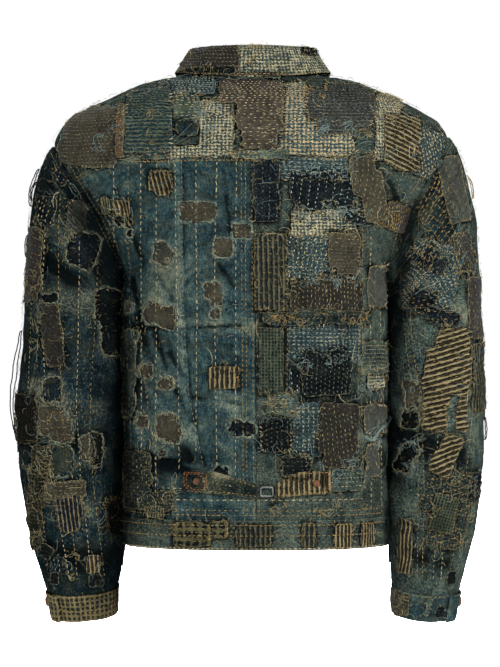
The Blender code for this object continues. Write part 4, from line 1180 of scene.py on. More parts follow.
def tubes(paths, radius):
    """Closed tubes along paths of shape (tubes, points, 3), each ending in points."""
    sides = TUBE_SIDES
    count, length, _ = paths.shape
    ahead = np.gradient(paths, axis=1)
    ahead /= np.maximum(np.linalg.norm(ahead, axis=2, keepdims=True), 1e-9)
    aside = np.cross(ahead, TUBE_ASIDE)
    aside /= np.maximum(np.linalg.norm(aside, axis=2, keepdims=True), 1e-9)
    above = np.cross(aside, ahead)
    turn = np.arange(sides) / sides * 2 * math.pi
    radius = np.broadcast_to(np.asarray(radius, float).reshape(-1, 1, 1, 1), (count, 1, 1, 1))
    ring = aside[:, 1:-1, None] * np.cos(turn)[:, None] + above[:, 1:-1, None] * np.sin(turn)[:, None]
    rings = paths[:, 1:-1, None] + ring * radius
    middle = (length - 2) * sides
    points = np.concatenate([rings.reshape(count, middle, 3), paths[:, :1], paths[:, -1:]], axis=1)
    faces = []
    for side in range(sides):
        after = (side + 1) % sides
        faces.append((middle, side, after))
        last = middle - sides
        faces.append((middle + 1, last + after, last + side))
        for row in range(length - 3):
            low, high = row * sides, (row + 1) * sides
            faces.append((low + side, high + side, high + after))
            faces.append((low + side, high + after, low + after))
    faces = np.array(faces)[:, ::-1]
    every = faces[None] + (np.arange(count) * (middle + 2))[:, None, None]
    return points.reshape(-1, 3), every.reshape(-1, 3), np.arange(count).repeat(middle + 2)


def along_path(chart, a, b, spacing):
    """Even steps along a path in a chart: a, b and their unit direction in a and b per metre."""
    fine = np.linspace(0, len(a) - 1, max(40, 12 * len(a)))
    a, b = np.interp(fine, np.arange(len(a)), a), np.interp(fine, np.arange(len(b)), b)
    at = chart.point(a, b)
    length = np.concatenate([[0], np.cumsum(np.linalg.norm(np.diff(at, axis=0), axis=1))])
    steps = np.arange(spacing / 2, length[-1], spacing)
    slope = np.maximum(np.gradient(length), 1e-9)
    go_a, go_b = np.gradient(a) / slope, np.gradient(b) / slope
    return [np.interp(steps, length, column) for column in (a, b, go_a, go_b)]


def stitches(chart, a, b, go_a, go_b, length, lift, random, thick, wobble=0.12):
    """Running stitches centred on a, b: each dips into the cloth at its ends."""
    if not len(a):
        return None
    span = length * (1 + 0.22 * random.standard_normal((len(a), 1)))
    twist = wobble * random.standard_normal((len(a), 1))
    step = STITCH_BENDS * span
    side_a = -go_b[:, None] * chart.metres[1] / chart.metres[0]
    side_b = go_a[:, None] * chart.metres[0] / chart.metres[1]
    path_a = a[:, None] + step * (go_a[:, None] + twist * side_a)
    path_b = b[:, None] + step * (go_b[:, None] + twist * side_b)
    lifts = np.broadcast_to(lift, (len(a),))[:, None] + STITCH_HEIGHTS
    at = chart.point(path_a.ravel(), path_b.ravel(), lifts.ravel()).reshape(*lifts.shape, 3)
    return tubes(at, thick * (1 + 0.15 * random.standard_normal(len(a))))


def strands(chart, a, b, out_a, out_b, length, lift, random, thick, points=5, curl=1.0, stand=1.0):
    """Loose threads that start at a, b, leave along out and curl."""
    count = len(a)
    part = np.linspace(0, 1, points)[None]
    heading = random.normal(0, 0.7, (count, 1)) + random.normal(0, 1.3, (count, 1)) * part
    heading = curl * (heading + random.normal(0, 0.8, (count, 1)) * part ** 2)
    reach = length * random.uniform(0.35, 1.5, (count, 1)) / (points - 1)
    out_s, out_t = out_a[:, None] * chart.metres[0], out_b[:, None] * chart.metres[1]
    go_s = out_s * np.cos(heading) - out_t * np.sin(heading)
    go_t = out_t * np.cos(heading) + out_s * np.sin(heading)
    path_a = a[:, None] + np.cumsum(go_s * reach / chart.metres[0], axis=1)
    path_b = b[:, None] + np.cumsum(go_t * reach / chart.metres[1], axis=1)
    bend = np.sin(part * math.pi * random.uniform(0.5, 1.0, (count, 1)))
    rise = random.uniform(*STRAND_RISE, (count, 1)) * bend * stand
    lifts = np.broadcast_to(lift, (count,))[:, None] + rise + STRAND_START
    at = chart.point(path_a.ravel(), path_b.ravel(), lifts.ravel()).reshape(count, points, 3)
    return tubes(at, thick * random.uniform(0.6, 1.3, count))


# ---------------------------------------------------------------- materials
class Graph:
    """A material whose nodes are made and wired by plain calls. Lengths are in millimetres."""

    def __init__(self, name, roughness=0.9, sheen=0.0, metallic=0.0):
        self.material = bpy.data.materials.new(name)
        self.material.use_nodes = True
        self.tree = self.material.node_tree
        self.shader = self.tree.nodes["Principled BSDF"]
        self.shader.inputs["Roughness"].default_value = roughness
        self.shader.inputs["Metallic"].default_value = metallic
        self.shader.inputs["Sheen Weight"].default_value = sheen
        self.shader.inputs["Sheen Roughness"].default_value = 0.6
        self.shader.inputs["Specular IOR Level"].default_value = 0.0 if metallic == 0 else 0.5
        flat = self.tree.nodes.new("ShaderNodeUVMap")
        flat.uv_map = "flat"
        self.flat = self.vector("MULTIPLY", flat.outputs[0], (1000, 1000, 1000))
        parts = self.add("ShaderNodeSeparateXYZ", self.flat)
        self.x, self.y = parts.outputs[0], parts.outputs[1]

    def add(self, kind, *inputs, **settings):
        node = self.tree.nodes.new(kind)
        for name, value in settings.items():
            setattr(node, name, value)
        for socket, value in zip(node.inputs, inputs):
            self.feed(socket, value)
        return node

    def feed(self, socket, value):
        if isinstance(value, bpy.types.NodeSocket):
            self.tree.links.new(value, socket)
        elif value is not None:
            socket.default_value = value

    def vector(self, operation, one, two):
        return self.add("ShaderNodeVectorMath", one, two, operation=operation).outputs[0]

    def sum(self, one, two, operation="ADD"):
        return self.add("ShaderNodeMath", one, two, operation=operation).outputs[0]

    def product(self, one, two):
        return self.sum(one, two, "MULTIPLY")

    def wave(self, value, pitch, shift=0.0):
        """A sine from 0 to 1 along value, one turn for each pitch."""
        turn = self.sum(self.product(value, 2 * math.pi / pitch), shift)
        return self.sum(self.product(self.sum(turn, None, "SINE"), 0.5), 0.5)

    def noise(self, size, detail=3.0, stretch=(1.0, 1.0), seed=0.0, rough=0.55):
        """Noise from 0 to 1 with lumps of the given size."""
        at = self.vector("MULTIPLY", self.flat, (stretch[0] / size, stretch[1] / size, 1))
        at = self.vector("ADD", at, (seed * 7.3, seed * 3.1, seed))
        made = self.add("ShaderNodeTexNoise", at, None, 1.0, detail, rough, noise_dimensions="3D")
        return made.outputs[0]

    def jitter(self, size, amount, stretch=(1.0, 1.0), seed=0.0):
        """Noise either side of zero."""
        made = self.noise(size, 3.0, stretch, seed, 0.62)
        return self.product(self.sum(made, -0.5), amount)

    def steep(self, value, middle, width):
        """0 well below the middle and 1 well above it."""
        made = self.add("ShaderNodeMapRange", value, middle - width / 2, middle + width / 2, 0.0, 1.0)
        made.interpolation_type = "SMOOTHSTEP"
        return made.outputs[0]

    def mark(self, name):
        made = self.add("ShaderNodeAttribute", attribute_type="GEOMETRY", attribute_name=name)
        return made.outputs["Fac"]

    def ramp(self, value, stops):
        made = self.add("ShaderNodeValToRGB", value)
        elements = made.color_ramp.elements
        while len(elements) < len(stops):
            elements.new(0.5)
        for element, (place, colour) in zip(elements, stops):
            element.position = place
            element.color = (*colour, 1)
        return made.outputs[0]

    def mix(self, share, one, two):
        made = self.add("ShaderNodeMix", data_type="RGBA")
        made.clamp_factor = True
        self.feed(made.inputs["Factor"], share)
        for socket, colour in zip((made.inputs[6], made.inputs[7]), (one, two)):
            self.feed(socket, colour if isinstance(colour, bpy.types.NodeSocket) else (*colour, 1))
        return made.outputs[2]

    def finish(self, colour, height=None, relief=0.4, roughness=None):
        """Wires the colour, a bump from height (relief in mm) and the roughness."""
        self.feed(self.shader.inputs["Base Color"], colour)
        if height is not None:
            bump = self.add("ShaderNodeBump")
            self.feed(bump.inputs["Height"], height)
            bump.inputs["Distance"].default_value = relief * MM
            bump.inputs["Strength"].default_value = 1.0
            self.feed(self.shader.inputs["Normal"], bump.outputs[0])
        if roughness is not None:
            self.feed(self.shader.inputs["Roughness"], roughness)
        return self.material


WEAVE_PITCH = 1.1


def woven(graph, twill=False):
    """The height of a weave: plain, or with the slanted ribs of a twill."""
    if twill:
        slant = graph.sum(graph.x, graph.product(graph.y, 0.8))
        return graph.sum(graph.product(graph.wave(slant, WEAVE_PITCH * 1.3), 0.7),
                         graph.product(graph.wave(graph.x, WEAVE_PITCH * 0.8), 0.3))
    return graph.product(graph.wave(graph.x, WEAVE_PITCH), graph.wave(graph.y, WEAVE_PITCH))


def aged(graph, colour, pale, dark, pale_share=0.85, fuzz=1.6):
    """A cloth colour with its worn places, its pale frayed edge, and its dirt with the painted shade that
    the same mark carries.
    """
    fine = graph.noise(fuzz, 2.0, (1.0, 0.45), 5.0)
    worn = graph.sum(graph.mark("wear"), graph.product(graph.sum(fine, -0.5), 2.2))
    colour = graph.mix(graph.product(graph.steep(worn, 0.72, 0.7), pale_share), colour, pale)
    edge = graph.sum(graph.mark("edge"), graph.product(graph.sum(fine, -0.5), 3.0))
    colour = graph.mix(graph.product(graph.steep(edge, 0.80, 0.5), 0.55), colour, pale)
    fleck = graph.noise(1.5, 2.0, (1.0, 0.7), 12.0, 0.6)
    colour = graph.mix(graph.product(graph.steep(fleck, 0.66, 0.16), 0.35), colour, pale)
    grain = graph.sum(graph.noise(1.7, 3.0, (0.7, 1.0), 9.0, 0.7), graph.jitter(9, 0.35, seed=10.0))
    colour = graph.mix(graph.product(graph.steep(grain, 0.58, 0.26), 0.65), colour, dark)
    # Darkened by one mark: real dirt, and painted shade in creases, beside patches and between the sleeves
    # and the body
    soil_and_shade = graph.sum(graph.mark("dirt"), graph.jitter(7, 0.8, seed=8.0))
    return graph.mix(graph.product(graph.steep(soil_and_shade, 0.62, 0.9), 0.92), colour, dark)


def rough_cloth(graph, seed=2.0):
    """A roughness that varies over the cloth."""
    return graph.sum(0.78, graph.product(graph.noise(6, 2.0, seed=seed), 0.22))


def mended(graph, colour, thread_colour, amount, seed):
    """Old mending: short pale floats along and across the cloth, in patches that fade out."""
    for stretch, shift in (((0.45, 1.6), 0.0), ((1.6, 0.45), 4.0)):
        floats = graph.noise(1.2, 2.0, stretch, seed + shift, 0.4)
        kept = graph.steep(graph.noise(15, 3.0, seed=seed + shift + 2), 0.66 - amount * 0.24, 0.2)
        share = graph.product(graph.steep(floats, 0.60, 0.10), graph.product(kept, 0.8))
        colour = graph.mix(share, colour, thread_colour)
    return colour


def denim(name, stops, khaki=0.35, seed=1.0, mending=0.0):
    """Indigo denim: slubs run down it, broad patches of it are faded, and some are greenish."""
    def make():
        graph = Graph(name)
        slub = graph.noise(1.5, 3.0, (1.0, 0.11), seed, 0.7)
        weft = graph.noise(1.6, 3.0, (0.14, 1.0), seed + 5, 0.7)
        broad = graph.noise(38, 3.0, seed=seed + 1)
        middle = graph.noise(7, 4.0, (1.0, 0.7), seed + 2, 0.7)
        fine = graph.noise(1.4, 3.0, seed=seed + 3, rough=0.75)
        tone = graph.sum(graph.product(slub, 0.90), graph.product(broad, 0.66))
        tone = graph.sum(tone, graph.product(weft, 0.60))
        tone = graph.sum(tone, graph.product(middle, 1.00))
        tone = graph.sum(tone, graph.product(fine, 1.36))
        tone = graph.sum(tone, -1.85)
        tone = graph.sum(tone, graph.product(graph.mark("wear"), 0.36))
        colour = graph.ramp(tone, stops)
        green = graph.steep(graph.noise(22, 4.0, (0.6, 1.2), seed + 4, 0.65), 0.53, 0.16)
        colour = graph.mix(graph.product(green, khaki), colour, paint(80, 80, 56))
        if mending:
            colour = mended(graph, colour, paint(132, 136, 112), mending, seed)
        colour = aged(graph, colour, paint(152, 154, 128), paint(8, 12, 14), 0.5)
        height = graph.sum(graph.product(woven(graph, True), 0.5), graph.product(slub, 1.2))
        height = graph.sum(height, graph.product(graph.sum(middle, fine), 1.3))
        return graph.finish(colour, height, 1.0, rough_cloth(graph))

    return make


def wool(name, ground, fleck, share, pale, seed):
    """Brushed wool: mottled, with felted flecks and short hairs."""
    def make():
        graph = Graph(name, 0.95, 0.01)
        hair = graph.noise(1.3, 3.0, (1.0, 0.5), seed, 0.65)
        clump = graph.noise(5.5, 3.0, seed=seed + 1)
        broad = graph.noise(24, 2.0, seed=seed + 2)
        shade = graph.sum(graph.product(hair, 0.45), graph.product(broad, 0.55))
        colour = graph.mix(graph.steep(shade, 0.5, 0.5), ground[0], ground[1])
        colour = graph.mix(graph.product(graph.steep(graph.sum(clump, graph.product(hair, 0.3)), 0.74, 0.16),
                                         share), colour, fleck)
        colour = aged(graph, colour, pale, paint(22, 19, 16), 0.6, 1.3)
        height = graph.sum(graph.product(hair, 1.3), graph.product(clump, 1.4))
        return graph.finish(colour, height, 0.9, rough_cloth(graph, seed))

    return make


def lined(name, ground, line, pitch, share, pale, down=False, seed=1.0, broken=0.7, second=None):
    """Stripes: lines of one colour over a ground, uneven and worn away in places."""
    def make():
        graph = Graph(name)
        wobble = graph.sum(graph.jitter(14, 2.6, seed=seed), graph.jitter(3.5, 0.9, seed=seed + 5))
        across = graph.y if down else graph.x
        streak = graph.jitter(1.8, broken * 2.0, (0.3, 1.3) if down else (1.3, 0.3), seed + 1)
        worn = graph.jitter(12, broken * 1.7, seed=seed + 2)
        stripe = graph.sum(graph.sum(graph.wave(across, pitch, wobble), streak), worn)
        body = graph.mix(graph.steep(graph.noise(3, 3.0, seed=seed + 3), 0.5, 0.35), ground[0], ground[1])
        colour = graph.mix(graph.product(graph.steep(stripe, 1 - share, 0.28), 0.9), body, line)
        if second is not None:
            thin = graph.sum(graph.wave(across, pitch, graph.sum(wobble, 2.6)), streak)
            colour = graph.mix(graph.product(graph.steep(thin, 0.90, 0.16), 0.7), colour, second)
        colour = aged(graph, colour, pale, paint(12, 13, 12), 0.6)
        height = graph.sum(graph.product(woven(graph), 0.8), graph.product(stripe, 0.7))
        height = graph.sum(height, graph.noise(1.6, 3.0, seed=seed + 6, rough=0.7))
        return graph.finish(colour, height, 0.9, rough_cloth(graph, seed))

    return make


def dotted(name, ground, dot, pitch, share, pale, seed=1.0, broken=0.6, loops=0.6):
    """A weave whose second colour comes up in short loops, row by row."""
    def make():
        graph = Graph(name, 0.92)
        bend = graph.sum(graph.jitter(15, 8.0 * broken, seed=seed),
                         graph.jitter(5, 5.0 * broken, seed=seed + 5))
        sway = graph.sum(graph.jitter(19, 9.0 * broken, seed=seed + 4),
                         graph.jitter(4.5, 6.0 * broken, seed=seed + 6))
        across = graph.wave(graph.x, pitch[0], sway)
        up = graph.wave(graph.y, pitch[1], bend)
        loop = graph.sum(graph.product(across, 0.42), graph.product(up, 0.42))
        loop = graph.sum(loop, graph.jitter(1.7, 1.7 * broken, (0.6, 1.0), seed + 1))
        loop = graph.sum(loop, graph.jitter(13, 1.5 * broken, seed=seed + 2))
        body = graph.mix(graph.steep(graph.noise(2.8, 3.0, seed=seed + 3), 0.5, 0.35), ground[0], ground[1])
        colour = graph.mix(graph.product(graph.steep(loop, 0.92 - share, 0.26), 0.95), body, dot)
        colour = aged(graph, colour, pale, paint(10, 14, 16), 0.6)
        height = graph.sum(graph.product(loop, 1.8 * loops), graph.noise(1.5, 3.0, seed=seed + 7, rough=0.7))
        return graph.finish(colour, height, 1.1, rough_cloth(graph, seed))

    return make


def checked(name, ground, line, cross, pitch, pale, seed=1.0):
    """A fine check of two line colours on a ground."""
    def make():
        graph = Graph(name)
        bend = graph.sum(graph.jitter(14, 4.0, seed=seed), graph.jitter(4, 2.0, seed=seed + 4))
        fine = graph.noise(1.8, 3.0, seed=seed + 1, rough=0.6)
        across = graph.sum(graph.wave(graph.x, pitch, bend), graph.jitter(1.8, 1.3, (1.3, 0.4), seed + 5))
        up = graph.sum(graph.wave(graph.y, pitch, bend), graph.jitter(1.8, 1.3, (0.4, 1.3), seed + 6))
        patchy = graph.jitter(11, 1.3, seed=seed + 2)
        body = graph.mix(graph.steep(graph.noise(3, 3.0, seed=seed + 3), 0.5, 0.5), ground[0], ground[1])
        colour = graph.mix(graph.product(graph.steep(graph.sum(across, patchy), 0.72, 0.3), 0.8), body, line)
        colour = graph.mix(graph.product(graph.steep(graph.sum(up, patchy), 0.76, 0.3), 0.8), colour, cross)
        colour = aged(graph, colour, pale, paint(18, 20, 18), 0.6)
        height = graph.sum(graph.product(woven(graph), 0.9), graph.product(fine, 1.0))
        return graph.finish(colour, height, 0.6, rough_cloth(graph, seed))

    return make


def thread(name, light, dark):
    """Cotton thread, each length a little different."""
    def make():
        graph = Graph(name, 0.85)
        shade = graph.noise(3.0, 2.0, seed=2.0)
        colour = graph.mix(graph.steep(shade, 0.5, 0.5), dark, light)
        # Darkened by the painted shade where the sleeves hang against the body
        colour = graph.mix(graph.product(graph.steep(graph.mark("dirt"), 0.45, 0.8), 0.88), colour,
                           paint(16, 18, 16))
        return graph.finish(colour, graph.wave(graph.sum(graph.x, graph.y), 0.8), 0.15)

    return make


def metal(name, bright, dull, tarnish):
    """Worn metal with tarnish in spots and fine scratches."""
    def make():
        graph = Graph(name, 0.5, 0.0, 1.0)
        at = graph.add("ShaderNodeTexCoord").outputs["Object"]
        spot = graph.add("ShaderNodeTexNoise", at, None, 420.0, 4.0, 0.6).outputs[0]
        scratch = graph.add("ShaderNodeTexNoise", at, None, 2600.0, 3.0, 0.7).outputs[0]
        colour = graph.mix(graph.steep(spot, 0.5, 0.3), bright, dull)
        colour = graph.mix(graph.product(graph.steep(scratch, 0.6, 0.2), 0.7), colour, tarnish)
        rough = graph.sum(0.3, graph.product(spot, 0.3))
        return graph.finish(colour, graph.sum(spot, scratch), 0.12, rough)

    return make


LIGHT_GAIN = 8.1


def paint(red, green, blue):
    """The surface colour that shows as this sRGB colour, from 0 to 255, in the studio's light."""
    return tuple(((channel / 255 + 0.055) / 1.055) ** 2.4 / LIGHT_GAIN for channel in (red, green, blue))


def tones(*rows):
    return [(place, paint(*colour)) for place, colour in rows]


KHAKI = paint(156, 143, 106)
PALE_BLUE = paint(128, 144, 138)
MAKERS = {
    "denim": denim("denim", tones(
        (0.08, (11, 20, 25)), (0.30, (26, 44, 51)), (0.50, (46, 69, 74)),
        (0.68, (70, 94, 93)), (0.86, (108, 124, 110)), (1.0, (160, 158, 128))), 0.20),
    "mended": denim("mended_denim", tones(
        (0.08, (10, 17, 20)), (0.30, (24, 39, 43)), (0.50, (44, 63, 65)),
        (0.70, (74, 95, 91)), (0.88, (118, 128, 108)), (1.0, (164, 156, 120))), 0.12, 6.0, 0.8),
    # The left sleeve's denim: the mended denim made darker, partly for its own darker cloth and partly as
    # painted shade on that sleeve
    "mended_dark": denim("mended_dark_denim", tones(
        (0.10, (6, 11, 14)), (0.34, (13, 25, 30)), (0.56, (24, 41, 47)),
        (0.76, (44, 58, 58)), (0.92, (84, 88, 70)), (1.0, (134, 122, 88))), 0.18, 16.0, 0.0),
    "denim_dark": denim("denim_dark", tones(
        (0.10, (8, 13, 16)), (0.34, (17, 28, 33)), (0.56, (29, 47, 52)),
        (0.76, (50, 67, 66)), (0.92, (94, 100, 80)), (1.0, (136, 130, 96))), 0.3, 11.0),
    "denim_worn": denim("denim_worn", tones(
        (0.06, (20, 30, 33)), (0.28, (42, 58, 60)), (0.48, (72, 88, 82)),
        (0.68, (112, 120, 98)), (0.86, (158, 150, 112)), (1.0, (194, 180, 134))), 0.4, 21.0),
    "strap_denim": denim("strap_denim", tones(
        (0.08, (7, 11, 13)), (0.32, (16, 25, 27)), (0.54, (28, 38, 38)),
        (0.74, (46, 54, 48)), (0.90, (78, 78, 60)), (1.0, (120, 110, 80))), 0.2, 26.0),
    "navy": denim("navy", tones(
        (0.15, (9, 12, 17)), (0.42, (16, 22, 29)), (0.66, (26, 35, 43)),
        (0.86, (44, 55, 60)), (1.0, (90, 100, 96))), 0.05, 31.0),
    "black": denim("black", tones(
        (0.18, (8, 11, 13)), (0.50, (15, 19, 22)), (0.76, (28, 34, 37)),
        (1.0, (74, 80, 76))), 0.05, 41.0),
    "brown": wool("brown_wool", (paint(17, 17, 14), paint(72, 68, 54)),
                  paint(92, 88, 70), 0.34, KHAKI, 51.0),
    "brown_warm": wool("warm_brown_wool", (paint(24, 21, 18), paint(72, 65, 55)),
                       paint(110, 102, 86), 0.30, KHAKI, 58.0),
    "brown_red": wool("brown_red_wool", (paint(40, 30, 21), paint(100, 76, 50)),
                      paint(140, 118, 80), 0.3, KHAKI, 56.0),
    "brown_dark": wool("brown_dark_wool", (paint(9, 9, 8), paint(34, 32, 27)),
                       paint(66, 62, 52), 0.25, KHAKI, 61.0),
    "grey": wool("grey_wool", (paint(18, 23, 21), paint(62, 67, 58)),
                 paint(100, 100, 82), 0.4, KHAKI, 66.0),
    "charcoal": lined("charcoal_lined", (paint(34, 37, 36), paint(70, 73, 69)),
                      paint(92, 94, 86), 6.2, 0.10, KHAKI, True, 71.0, 1.0),
    "boucle": dotted("cream_boucle", (paint(24, 36, 40), paint(82, 98, 94)),
                     paint(192, 184, 148), (4.8, 4.2), 0.40, KHAKI, 76.0, 1.0, 1.0),
    "boucle_grid": dotted("grid_boucle", (paint(30, 44, 50), paint(88, 106, 104)),
                          paint(194, 178, 134), (5.6, 5.2), 0.36, KHAKI, 79.0, 0.8, 1.0),
    "kasuri": dotted("blue_kasuri", (paint(24, 37, 42), paint(66, 84, 84)),
                     paint(146, 144, 120), (6.2, 4.4), 0.16, PALE_BLUE, 81.0, 0.8, 0.7),
    "felted": denim("felted_denim", tones(
        (0.08, (11, 17, 20)), (0.30, (25, 38, 41)), (0.52, (44, 59, 60)),
        (0.72, (66, 86, 84)), (0.90, (106, 118, 100)), (1.0, (156, 148, 112))), 0.10, 84.0, 0.8),
    "teal_lined": lined("teal_lined", (paint(22, 38, 43), paint(56, 78, 78)),
                        paint(112, 114, 88), 5.4, 0.16, PALE_BLUE, True, 86.0, 1.0),
    "stripe": lined("stripe", (paint(12, 16, 19), paint(36, 43, 43)),
                    paint(104, 101, 80), 6.2, 0.26, KHAKI, False, 91.0, 0.9, paint(52, 58, 52)),
    "stripe_brown": lined("brown_stripe", (paint(16, 17, 16), paint(46, 44, 36)),
                          paint(164, 149, 112), 6.2, 0.26, KHAKI, False, 96.0, 0.8, paint(70, 64, 48)),
    "stripe_grey": lined("grey_stripe", (paint(24, 32, 32), paint(66, 72, 64)),
                         paint(144, 136, 102), 5.4, 0.30, KHAKI, False, 101.0, 0.9),
    "pinstripe": lined("pinstripe", (paint(12, 17, 24), paint(30, 38, 46)),
                       paint(136, 124, 96), 4.9, 0.16, KHAKI, False, 121.0, 0.6),
    "black_ribbed": lined("black_ribbed", (paint(8, 9, 9), paint(24, 24, 23)),
                          paint(48, 48, 44), 3.6, 0.20, KHAKI, False, 126.0, 0.6),
    "knit": dotted("khaki_knit", (paint(14, 18, 18), paint(44, 48, 42)),
                   paint(112, 102, 72), (5.2, 4.4), 0.22, KHAKI, 131.0, 1.2, 1.2),
    "boucle_dark": dotted("dark_boucle", (paint(20, 30, 33), paint(52, 64, 62)),
                          paint(120, 112, 82), (5.0, 4.4), 0.18, KHAKI, 136.0, 1.0, 1.0),
    "plaid": checked("cream_plaid", (paint(20, 27, 29), paint(58, 62, 54)),
                     paint(150, 134, 92), paint(140, 128, 92), 6.6, KHAKI, 106.0),
    "green_plaid": checked("green_plaid", (paint(8, 13, 13), paint(30, 40, 38)),
                           paint(80, 92, 80), paint(78, 82, 62), 4.0, KHAKI, 111.0),
    "polka": checked("navy_polka", (paint(10, 15, 20), paint(22, 30, 38)),
                     paint(96, 94, 66), paint(96, 94, 66), 11.5, KHAKI, 116.0),
    "thread_cream": thread("thread_cream", paint(214, 196, 152), paint(154, 138, 102)),
    "thread_white": thread("thread_white", paint(184, 192, 178), paint(120, 130, 122)),
    "thread_gold": thread("thread_gold", paint(178, 148, 94), paint(110, 92, 58)),
    "thread_dim": thread("thread_dim", paint(120, 128, 120), paint(62, 70, 70)),
    "thread_copper": thread("thread_copper", paint(180, 122, 76), paint(108, 72, 46)),
    "thread_blue": thread("thread_blue", paint(130, 150, 146), paint(66, 88, 92)),
    "thread_dark": thread("thread_dark", paint(32, 38, 42), paint(10, 13, 16)),
    "thread_khaki": thread("thread_khaki", paint(156, 144, 106), paint(94, 90, 68)),
    "copper": metal("aged_copper", (0.024, 0.0105, 0.0055), (0.012, 0.006, 0.004), (0.004, 0.003, 0.0025)),
    "steel": metal("aged_steel", (0.040, 0.040, 0.038), (0.018, 0.018, 0.018), (0.008, 0.0075, 0.007)),
}
MADE = {}


def look(name):
    if name not in MADE:
        MADE[name] = MAKERS[name]()
    return MADE[name]


# ---------------------------------------------------------------- patches, holes and stitch rows
Patch = namedtuple("Patch", "chart cloth layer slant rough rim fray fills blobs node", defaults=(None,))
Hole = namedtuple("Hole", "chart cloth slant rough rim fray fills blobs node", defaults=(None,))

# Stitch fills: thread, direction in degrees (0 across, 90 down), pitch, stitch length, gap between, in mm
FILLS = {
    "rows": ("thread_cream", 0, 5.0, 3.6, 2.6),
    "rows_tight": ("thread_cream", 0, 4.2, 3.0, 2.2),
    "rows_cream": ("thread_cream", 0, 5.2, 2.8, 3.0),
    "rows_fine": ("thread_khaki", 0, 5.0, 2.6, 2.6),
    "rows_white": ("thread_white", 2, 5.2, 3.4, 2.8),
    "rows_blue": ("thread_blue", -2, 6.2, 4.4, 2.6),
    "rows_gold": ("thread_gold", 0, 5.4, 3.8, 2.6),
    "rows_khaki": ("thread_khaki", 1, 4.8, 3.4, 2.6),
    "columns": ("thread_white", 90, 7.4, 3.0, 3.0),
    "columns_dim": ("thread_dim", 90, 6.4, 2.8, 3.0),
    "rows_dim": ("thread_dim", 1, 5.2, 3.2, 2.8),
    "columns_cream": ("thread_cream", 91, 6.6, 3.8, 3.0),
    "columns_gold": ("thread_gold", 90, 5.8, 3.8, 2.4),
    "columns_khaki": ("thread_khaki", 89, 5.4, 3.6, 2.8),
    "columns_lean": ("thread_khaki", 82, 6.8, 3.4, 3.0),
    "ladder": ("thread_gold", 72, 3.6, 4.6, 1.6),
    "ladder_short": ("thread_khaki", 88, 3.2, 5.0, 5.0),
    "slanted": ("thread_cream", 70, 5.4, 3.8, 2.8),
    "net_rows": ("thread_gold", -14, 9.0, 3.4, 1.6),
    "net_columns": ("thread_gold", 76, 9.0, 3.4, 1.6),
    "sparse": ("thread_khaki", 86, 11.0, 4.0, 4.4),
    "sparse_gold": ("thread_gold", 3, 9.0, 3.8, 3.6),
}
